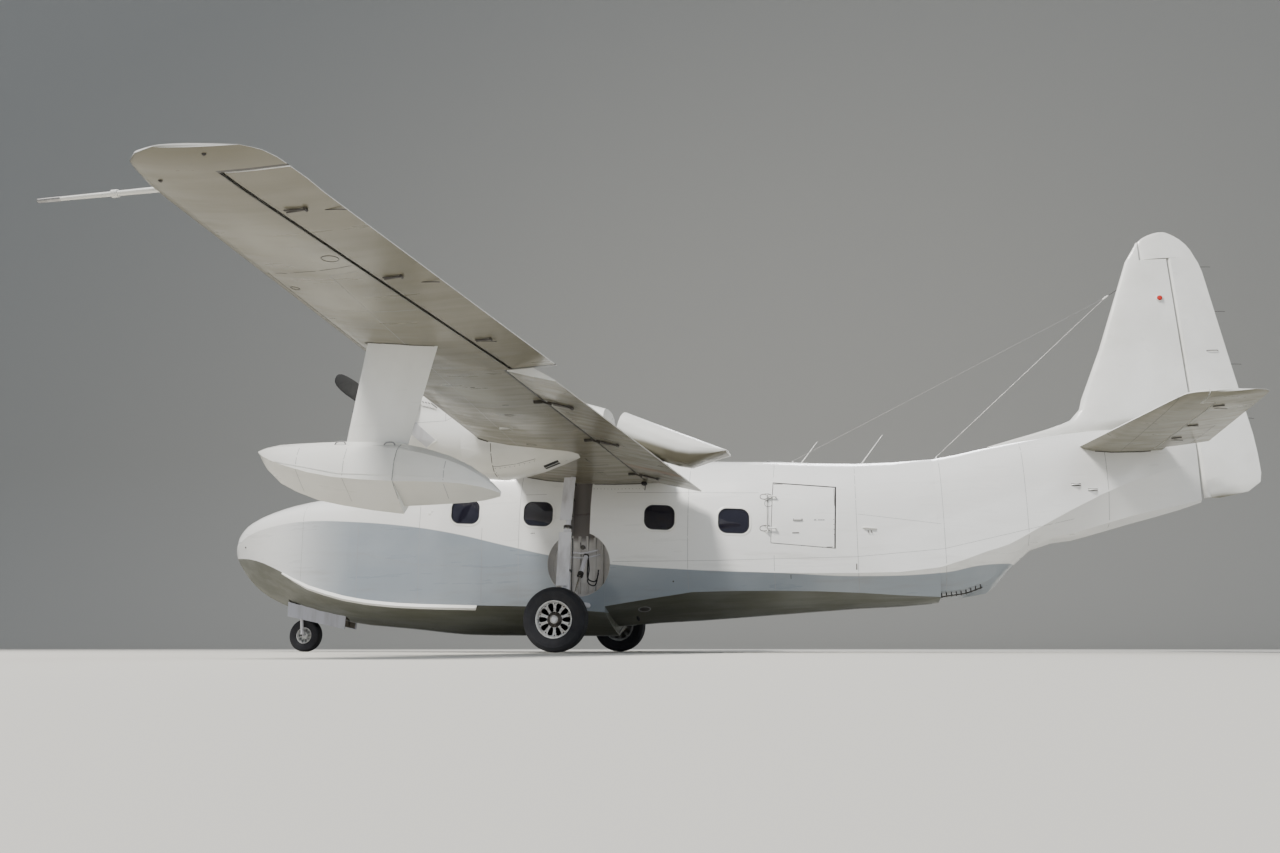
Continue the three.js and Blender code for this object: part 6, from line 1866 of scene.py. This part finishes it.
for station, z in ((12349, 2.165), (12556, 2.094)):
    laid = track(tail_skin, flank_spots((station - 60, z), (station + 60, z)), (0, 1, 0), 0.04)
    if len(laid) > 2:
        lifts = [-0.004] + [0.028] * (len(laid) - 2) + [-0.004]
        bow = [spot + normal * lift for (spot, normal), lift in zip(laid, lifts)]
        run(form, curve_through(bow, 3), 0.008, 8, 0)
        ribbon(form, laid, 0.034, 0.004, 1)
tail_lamp = flank_spots((13960, 2.04), (14035, 2.05), (14035, 1.985), (13960, 1.975))
patch(form, tail_skin, tail_lamp, (0, 1, 0), proud=0.010, kind=1, steps=(5, 4))
settle("tail_hull_fittings", form, [white_hull, dark_steel], "airframe", crease=40)

# Hull seams and rivets
# The hull is riveted aluminium sheet on frames: sealed butts run round it, laps run along it,
# and rows of low rivet heads follow both. Every head is a real one, laid by a node tree.
RIVET_SPACING, RIVET_RADIUS = 0.075, 0.0034


def rivet_nodes():
    """A node tree that lays domed rivet heads along curves."""
    nodes = bpy.data.node_groups.new("rivet rows", "GeometryNodeTree")
    face = nodes.interface
    face.new_socket("Curves", in_out="INPUT", socket_type="NodeSocketGeometry")
    face.new_socket("Spacing", in_out="INPUT", socket_type="NodeSocketFloat")
    face.new_socket("Radius", in_out="INPUT", socket_type="NodeSocketFloat")
    face.new_socket("Paint", in_out="INPUT", socket_type="NodeSocketMaterial")
    face.new_socket("Rivets", in_out="OUTPUT", socket_type="NodeSocketGeometry")
    first, last = nodes.nodes.new("NodeGroupInput"), nodes.nodes.new("NodeGroupOutput")
    points = nodes.nodes.new("GeometryNodeCurveToPoints")
    points.mode = "LENGTH"
    head = nodes.nodes.new("GeometryNodeMeshIcoSphere")
    head.inputs["Subdivisions"].default_value = 1
    lay = nodes.nodes.new("GeometryNodeInstanceOnPoints")
    real = nodes.nodes.new("GeometryNodeRealizeInstances")
    coat = nodes.nodes.new("GeometryNodeSetMaterial")
    for source, outlet, target, inlet in (
        (first, "Curves", points, "Curve"), (first, "Spacing", points, "Length"),
        (first, "Radius", head, "Radius"), (points, "Points", lay, "Points"),
        (head, "Mesh", lay, "Instance"), (lay, "Instances", real, "Geometry"),
        (real, "Geometry", coat, "Geometry"), (first, "Paint", coat, "Material"),
        (coat, "Geometry", last, "Rivets"),
    ):
        nodes.links.new(source.outputs[outlet], target.inputs[inlet])
    return nodes


rivet_tree = rivet_nodes()


def rivet_rows(name, rows, paint, body, spacing=RIVET_SPACING, radius=RIVET_RADIUS):
    """Rivet heads along rows of spots, as one plain mesh on a body."""
    curve = bpy.data.curves.new(name + "_rows", "CURVE")
    curve.dimensions = "3D"
    for row in rows:
        if len(row) < 2:
            continue
        line = curve.splines.new("POLY")
        line.points.add(len(row) - 1)
        for point, (spot, normal) in zip(line.points, row):
            point.co = (*(spot - normal * radius * 0.45), 1.0)
    rows_object = bpy.data.objects.new(name + "_rows", curve)
    bpy.context.scene.collection.objects.link(rows_object)
    modifier = rows_object.modifiers.new("rivets", "NODES")
    modifier.node_group = rivet_tree
    for item in rivet_tree.interface.items_tree:
        if item.in_out == "INPUT" and item.name in ("Spacing", "Radius", "Paint"):
            modifier[item.identifier] = {"Spacing": spacing, "Radius": radius, "Paint": paint}[item.name]
    bpy.context.view_layer.update()
    depsgraph = bpy.context.evaluated_depsgraph_get()
    mesh = bpy.data.meshes.new_from_object(rows_object.evaluated_get(depsgraph), depsgraph=depsgraph)
    mesh.name = name
    bpy.data.objects.remove(rows_object)
    bpy.data.curves.remove(curve)
    mesh.shade_smooth()
    piece = bpy.data.objects.new(name, mesh)
    bpy.context.scene.collection.objects.link(piece)
    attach(piece, body)


hull_skin = skin_of("cabin_shell", "bow", "tail_cone")
BUTTS = (1500, 2443, 3400, 4340, 4880, 7250, 8400, 9490, 10620, 11700, 12760)
LAPS = (
    ((2443, 1.398), (3312, 1.217), (4337, 1.155), (4860, 1.140)),
    ((6220, 1.205), (7600, 1.20), (9460, 1.23), (10600, 1.33), (12300, 1.72)),
    ((4950, 2.165), (6400, 2.165), (8200, 2.12)),
    ((9514, 1.80), (10581, 1.66)),
)


def clear_of_openings(spot):
    """True away from the wheel well, the doorway and the windows."""
    near_well = abs(spot.x - WELL_MIDDLE[0]) < WELL_REACH + 0.03 and spot.z < 2.4
    near_door = spot.y < 0 and aft(8215) < spot.x < aft(9260) and 1.30 < spot.z < 2.32
    near_screen = aft(1900) < spot.x < aft(2760) and 1.80 < spot.z < 2.42
    near_window = any(abs(spot.x - aft(station)) < 0.27 and abs(spot.z - height) < 0.23
                      for station, height in WINDOW_ROW + (LAST_WINDOW,))
    return not (near_well or near_door or near_screen or near_window)


def pieces_of(laid, side):
    """A track cut where it would cross an opening."""
    parts, part = [], []
    for spot, normal in laid:
        if clear_of_openings(spot) and spot.y * side > 0.02:
            part.append((spot, normal))
        elif part:
            parts.append(part)
            part = []
    return [part for part in parts + [part] if len(part) > 1]


seam_form, seam_rows = bmesh.new(), []
for side in (-1, 1):
    for station in BUTTS:
        ends = [Vector((aft(station), side * 2.6, z)) for z in (0.25, 3.4)]
        laid = track(hull_skin, ends, (0, -side, 0), 0.04)
        for part in pieces_of(laid, side):
            ribbon(seam_form, part, 0.005, 0.0008, FAINT)
            for shift in (-0.022, 0.022):
                seam_rows.append([(spot + Vector((shift, 0, 0)), normal) for spot, normal in part])
    for lap in LAPS:
        laid = track(
            hull_skin, [Vector((aft(station), side * 2.6, z)) for station, z in lap], (0, -side, 0), 0.05
        )
        for part in pieces_of(laid, side):
            ribbon(seam_form, part, 0.004, 0.0008, FAINT)
            seam_rows.append([(spot + Vector((0, 0, 0.02)), normal) for spot, normal in part])
settle("hull_seams", seam_form, cowl_finishes, "airframe", crease=40)
snapped = []
for row in seam_rows:
    side = 1 if row[0][0].y > 0 else -1
    fresh = [
        hull_skin.ray_cast(Vector((spot.x, side * 2.6, spot.z)), Vector((0, -side, 0)))
        for spot, normal in row
    ]
    snapped.append([
        (hit[0], hit[1] if hit[1].y * side > 0 else -hit[1]) for hit in fresh if hit[0] is not None
    ])
rivet_rows("hull_rivets", snapped, white_hull, "airframe")

bottom_skin = skin_of("forebody_bottom", "afterbody_bottom")
bottom_rows = []
for side in (-1, 1):
    for station in range(1500, 10300, 550):
        ends = [Vector((aft(station), side * 0.12, -0.5)), Vector((aft(station), side * 1.18, -0.5))]
        bottom_rows.append(track(bottom_skin, ends, (0, 0, 1), 0.05))
    for span in (0.42, 0.80):
        for first, last in ((1900, 6250), (6500, 10000)):
            ends = [Vector((aft(station), side * span, -0.5)) for station in (first, last)]
            bottom_rows.append(track(bottom_skin, ends, (0, 0, 1), 0.06))
rivet_rows("bottom_rivets", bottom_rows, sea_bottom, "airframe", spacing=0.09)

for hand, side in (("left", -1), ("right", 1)):
    skin, rows = skin_of(f"wing_{hand}"), []
    for first, last in ((1.3, 2.1), (3.15, 6.55), (7.1, 9.8)):
        for chord in (0.30, 0.55, 0.80):
            spots = []
            for span in np.linspace(first, last, 12):
                nose = 4900 + max(span - 3.1, 0) * 95
                spots.append(Vector((aft(nose + (6500 - nose) * chord), side * span, 0)))
            for height, drop in ((1.0, 1), (4.0, -1)):
                rows.append(
                    track(skin, [spot + Vector((0, 0, height)) for spot in spots], (0, 0, drop), 0.08)
                )
    rivet_rows(
        f"wing_rivets_{hand}", rows, wing_paint, "airframe", spacing=0.085, radius=0.0030
    )

# Entrance door furniture
# A flush door on two capsule hinges with a folding handle. Its edge is sealed by a dark
# rubber bead.
door_skin = skin_of("cabin_door")
door = frame["nodes"]["cabin_door"]
corners = [corner.co for corner in door.data.vertices]
door_low, door_high = min(spot.z for spot in corners), max(spot.z for spot in corners)
door_fore, door_aft = min(spot.x for spot in corners), max(spot.x for spot in corners)
form = bmesh.new()
inset = 0.012
reach = [(door_fore + inset, door_low + inset), (door_aft - inset, door_low + inset),
         (door_aft - inset, door_high - inset), (door_fore + inset, door_high - inset)]
for (x0, z0), (x1, z1) in zip(reach, reach[1:] + reach[:1]):
    laid = track(door_skin, [Vector((x0, -2.6, z0)), Vector((x1, -2.6, z1))], (0, 1, 0), 0.04)
    ribbon(form, laid, 0.007, 0.0015, SEALED)


def capsule(form, skin, centre, half, radius, lift, kind):
    """A long rounded cover along x on a skin."""
    ends = [Vector((centre[0] - half, -2.6, centre[1])), Vector((centre[0] + half, -2.6, centre[1]))]
    laid = track(skin, ends, (0, 1, 0), 0.01)
    if len(laid) > 2:
        run(form, [spot + normal * lift for spot, normal in laid], radius, 10, kind)


capsule(form, door_skin, (aft(8722), 1.735), 0.062, 0.014, 0.004, FAINT)
capsule(form, door_skin, (aft(8722), 1.735), 0.050, 0.010, 0.012, SKIN)
for station in (8800, 8830, 8860, 8890, 8950, 9000, 9030, 9060):
    half, kind = 0.009 if station < 8940 else 0.013, SEALED if station == 8950 else FAINT
    capsule(form, door_skin, (aft(station), 1.728), half, 0.005, 0.001, kind)
capsule(form, door_skin, (aft(8690), 1.556), 0.045, 0.006, 0.002, SEALED)
for share in np.linspace(0.05, 0.42, 6):
    place = Vector((door_aft - 0.03, -2.6, door_low + (door_high - door_low) * share))
    for spot, normal in track(door_skin, [place, place], (0, 1, 0))[:1]:
        revolve(form, ((-0.002, 0.006), (0.002, 0.005), (0.003, 0.0)), spot, normal, 8, SEALED)
settle("door_furniture", form, cowl_finishes, "door", crease=40)

# Hull fittings
# Hinge covers ahead of the door, a vent blister behind it, drains, a mooring cleat on the bow
# and a pale rub strip along the keel, all screwed to the skin.
form = bmesh.new()
for station, z, half, tall in (
    (8302, 2.062, 0.078, 0.036), (8298, 1.622, 0.078, 0.036), (8335, 1.965, 0.050, 0.042)
):
    loop = []
    for turn in np.linspace(0.1, 2 * math.pi + 0.1, 25):
        over, up = math.cos(turn) * abs(math.cos(turn)) ** -0.4, math.sin(turn) * abs(math.sin(turn)) ** -0.2
        loop.append(Vector((aft(station) + over * half, -2.6, z + up * tall)))
    laid = track(hull_skin, loop, (0, 1, 0), 1.0)
    ribbon(form, laid, 0.009, 0.002, SEALED if z != 1.965 else FAINT)
blister = track(hull_skin, flank_spots((9570, 1.615), (9740, 1.60)), (0, 1, 0), 0.02)
last = len(blister) - 1
dome = [spot + normal * (0.012 if 0 < k < last else -0.006) for k, (spot, normal) in enumerate(blister)]
run(form, dome, 0.016, 10, SKIN)
for station in (9635, 9675):
    for spot, normal in track(hull_skin, flank_spots((station, 1.575), (station, 1.545)), (0, 1, 0))[:1]:
        run(form, [spot, spot + normal * 0.02 + Vector((0.005, 0, -0.03))], 0.007, 8, SEALED)
for first, last, width in (((9468, 1.14), (9466, 1.06), 0.014), ((8612, 1.00), (8612, 0.95), 0.008)):
    ribbon(form, track(hull_skin, flank_spots(first, last), (0, 1, 0), 0.02), width, 0.002, SEALED)
for station, z, wide in (
    (5060, 1.614, 0.008), (5081, 1.614, 0.008), (5102, 1.614, 0.008), (7050, 0.93, 0.012),
    (3540, 1.93, 0.024), (3574, 1.965, 0.020), (8286, 0.74, 0.018)
):
    spot = track(hull_skin, flank_spots((station, z), (station + 1, z)), (0, 1, 0))
    if spot:
        head = ((-0.002, wide), (0.004, wide * 0.8), (0.006, 0.0))
        revolve(form, head, spot[0][0], spot[0][1], 12, SEALED if wide < 0.02 else SKIN)
for side in (-1, 1):
    cleat = hull_skin.ray_cast(Vector((aft(331), side * 2.0, 1.56)), Vector((0, -side, 0)))
    if cleat[0] is not None:
        revolve(
            form, ((-0.003, 0.016), (0.006, 0.012), (0.008, 0.0)), cleat[0], (-0.5, side, 0.2), 12, SEALED
        )
for first, last, count in ((900, 6350, 60), (6480, 10450, 50)):
    keel = []
    for station in np.linspace(first, last, count):
        hit = bottom_skin.ray_cast(Vector((aft(station), 0.0, -0.5)), Vector((0, 0, 1)))[0]
        if hit is not None:
            keel.append(hit + Vector((0, 0, 0.004)))
    if len(keel) > 2:
        run(form, keel, 0.011, 8, FAINT)
for station in (2100, 2700, 3300, 4500, 5400):
    for side in (-1, 1):
        hit = bottom_skin.ray_cast(Vector((aft(station), side * 0.10, -0.5)), Vector((0, 0, 1)))
        if hit[0] is not None:
            revolve(form, ((-0.002, 0.014), (0.003, 0.012), (0.004, 0.0)), hit[0], (0, 0, -1), 12, SEALED)
for side in (-1, 1):
    cup = bottom_skin.ray_cast(Vector((aft(6590), side * 0.62, -0.5)), Vector((0, 0, 1)))
    if cup[0] is not None:
        facing = cup[1] if cup[1].z < 0 else -cup[1]
        collar = ((-0.004, 0.072), (0.005, 0.075), (0.005, 0.088), (-0.004, 0.090))
        lid = ((-0.004, 0.0), (-0.004, 0.071), (0.002, 0.070), (0.001, 0.0))
        revolve(form, collar, cup[0], facing, 32, FAINT, closed=True)
        revolve(form, lid, cup[0], facing, 32, SEALED)
    for station, across in ((6440, 0.30), (6440, 0.38)):
        spot = bottom_skin.ray_cast(Vector((aft(station), side * across, -0.5)), Vector((0, 0, 1)))[0]
        if spot is not None:
            run(
                form, [spot + Vector((0, 0, 0.02)), spot + Vector((0.01, side * 0.02, -0.035))], 0.014, 8,
                GAP
            )
settle("hull_fittings", form, cowl_finishes, "airframe", crease=40)

# Antennas and aerial wires
# Two white whip antennas and a short black one stand on the roof on small feet. Two thin
# aerial wires run taut from the fin's leading edge to fair-leads on the roof.
roof_skin = skin_of("cabin_shell", "tail_cone", "wing_left", "wing_right")
fin_edge = skin_of("fin")
form = bmesh.new()


def on_roof(station, across=0.0):
    """The roof's top over a place."""
    hit = roof_skin.ray_cast(Vector((aft(station), across, 5.0)), Vector((0, 0, -1)))[0]
    return hit if hit is not None else Vector((aft(station), across, 3.0))


def whip(station, lean, height, thick, kind):
    """A tapering rod that leans aft, on an oval foot."""
    foot = on_roof(station)
    tip = foot + Vector((lean, 0, height))
    axis = tip - foot
    revolve(
        form, ((-0.004, thick * 2.4), (0.006, thick * 2.2), (0.012, thick * 1.3)), foot, (0, 0, 1), 16, kind
    )
    revolve(
        form,
        (
            (0.0, thick), (axis.length * 0.5, thick * 0.75), (axis.length * 0.98, thick * 0.45),
            (axis.length, 0.0)
        ),
        foot, axis, 12, kind
    )


for station, lean, height in ((8745, 0.25, 0.32), (9590, 0.32, 0.42)):
    whip(station, lean, height, 0.0085, 0)
whip(2834, -0.03, 0.10, 0.011, 1)
lead_in = on_roof(8290)
revolve(form, ((-0.004, 0.040), (0.022, 0.036), (0.030, 0.018)), lead_in, (0, 0, 1), 16, 1)
edge = fin_edge.ray_cast(Vector((aft(12000), 0.0, 4.95)), Vector((1, 0, 0)))[0]
insulator = edge + Vector((-0.16, 0, -0.11))
run(form, [edge + Vector((0.01, 0, 0)), insulator], 0.0035, 6, 1)
revolve(form, ((-0.05, 0.007), (-0.03, 0.013), (0.03, 0.013), (0.05, 0.007)), insulator, (1, 0, 0.7), 10, 0)
for station, across in ((8640, -0.10), (10623, 0.0)):
    foot = on_roof(station, across)
    revolve(form, ((-0.004, 0.014), (0.03, 0.010), (0.036, 0.0)), foot, (0, 0, 1), 10, 0)
    run(form, [insulator, foot + Vector((0, 0, 0.030))], 0.0028, 6, 2)
settle("antennas_and_wires", form, [trim_white, dark_cap, steel], "airframe", crease=40)

# Static wicks
# Thin pale wicks trail from the rudder, the elevators and the ailerons to shed static charge.
for name, body, spots in (
    ("rudder", "rudder", [(0.0, 2.30), (0.0, 3.05), (0.0, 3.8), (0.0, 4.55), (0.0, 5.2)]),
    ("elevator_left", "elevator_left", [(-0.8, 0), (-1.6, 0), (-2.4, 0)]),
    ("elevator_right", "elevator_right", [(0.8, 0), (1.6, 0), (2.4, 0)]),
    ("aileron_left", "aileron_left", [(-6.9, 0), (-8.2, 0), (-9.4, 0)]),
    ("aileron_right", "aileron_right", [(6.9, 0), (8.2, 0), (9.4, 0)]),
):
    wick_form = bmesh.new()
    corners = [corner.co for corner in frame["nodes"][name].data.vertices]
    surface = skin_of(name)
    for across, height in spots:
        if name == "rudder":
            hit = surface.ray_cast(Vector((9.0, across, height)), Vector((-1, 0, 0)))[0]
        else:
            middle = sum(corner.z for corner in corners) / len(corners)
            hit = None
            for lift in np.linspace(-0.16, 0.16, 33):
                hit = hit or surface.ray_cast(Vector((9.0, across, middle + lift)), Vector((-1, 0, 0)))[0]
        if hit is not None:
            tip = min(hit.x + 0.13, cad_box[1][0] - 0.004)
            waist = Vector(((hit.x + tip) / 2, across, hit.z - 0.004))
            end = Vector((tip, across, hit.z - 0.01))
            run(wick_form, [hit - Vector((0.012, 0, 0)), waist, end], 0.0032, 6, 0)
    if len(wick_form.verts) > 3:
        settle(f"static_wicks_{name}", wick_form, [seam_dark], body)

# Engines
# Inside each cowl is the plain case of a turboprop: cast aluminium, oily and heat-tinted.
engine_case = metal("engine castings", (0.30, 0.29, 0.27, 1), 0.5, 6.0, 0.8)
for hand in ("left", "right"):
    dress(f"engine_{hand}", engine_case, crease=40)
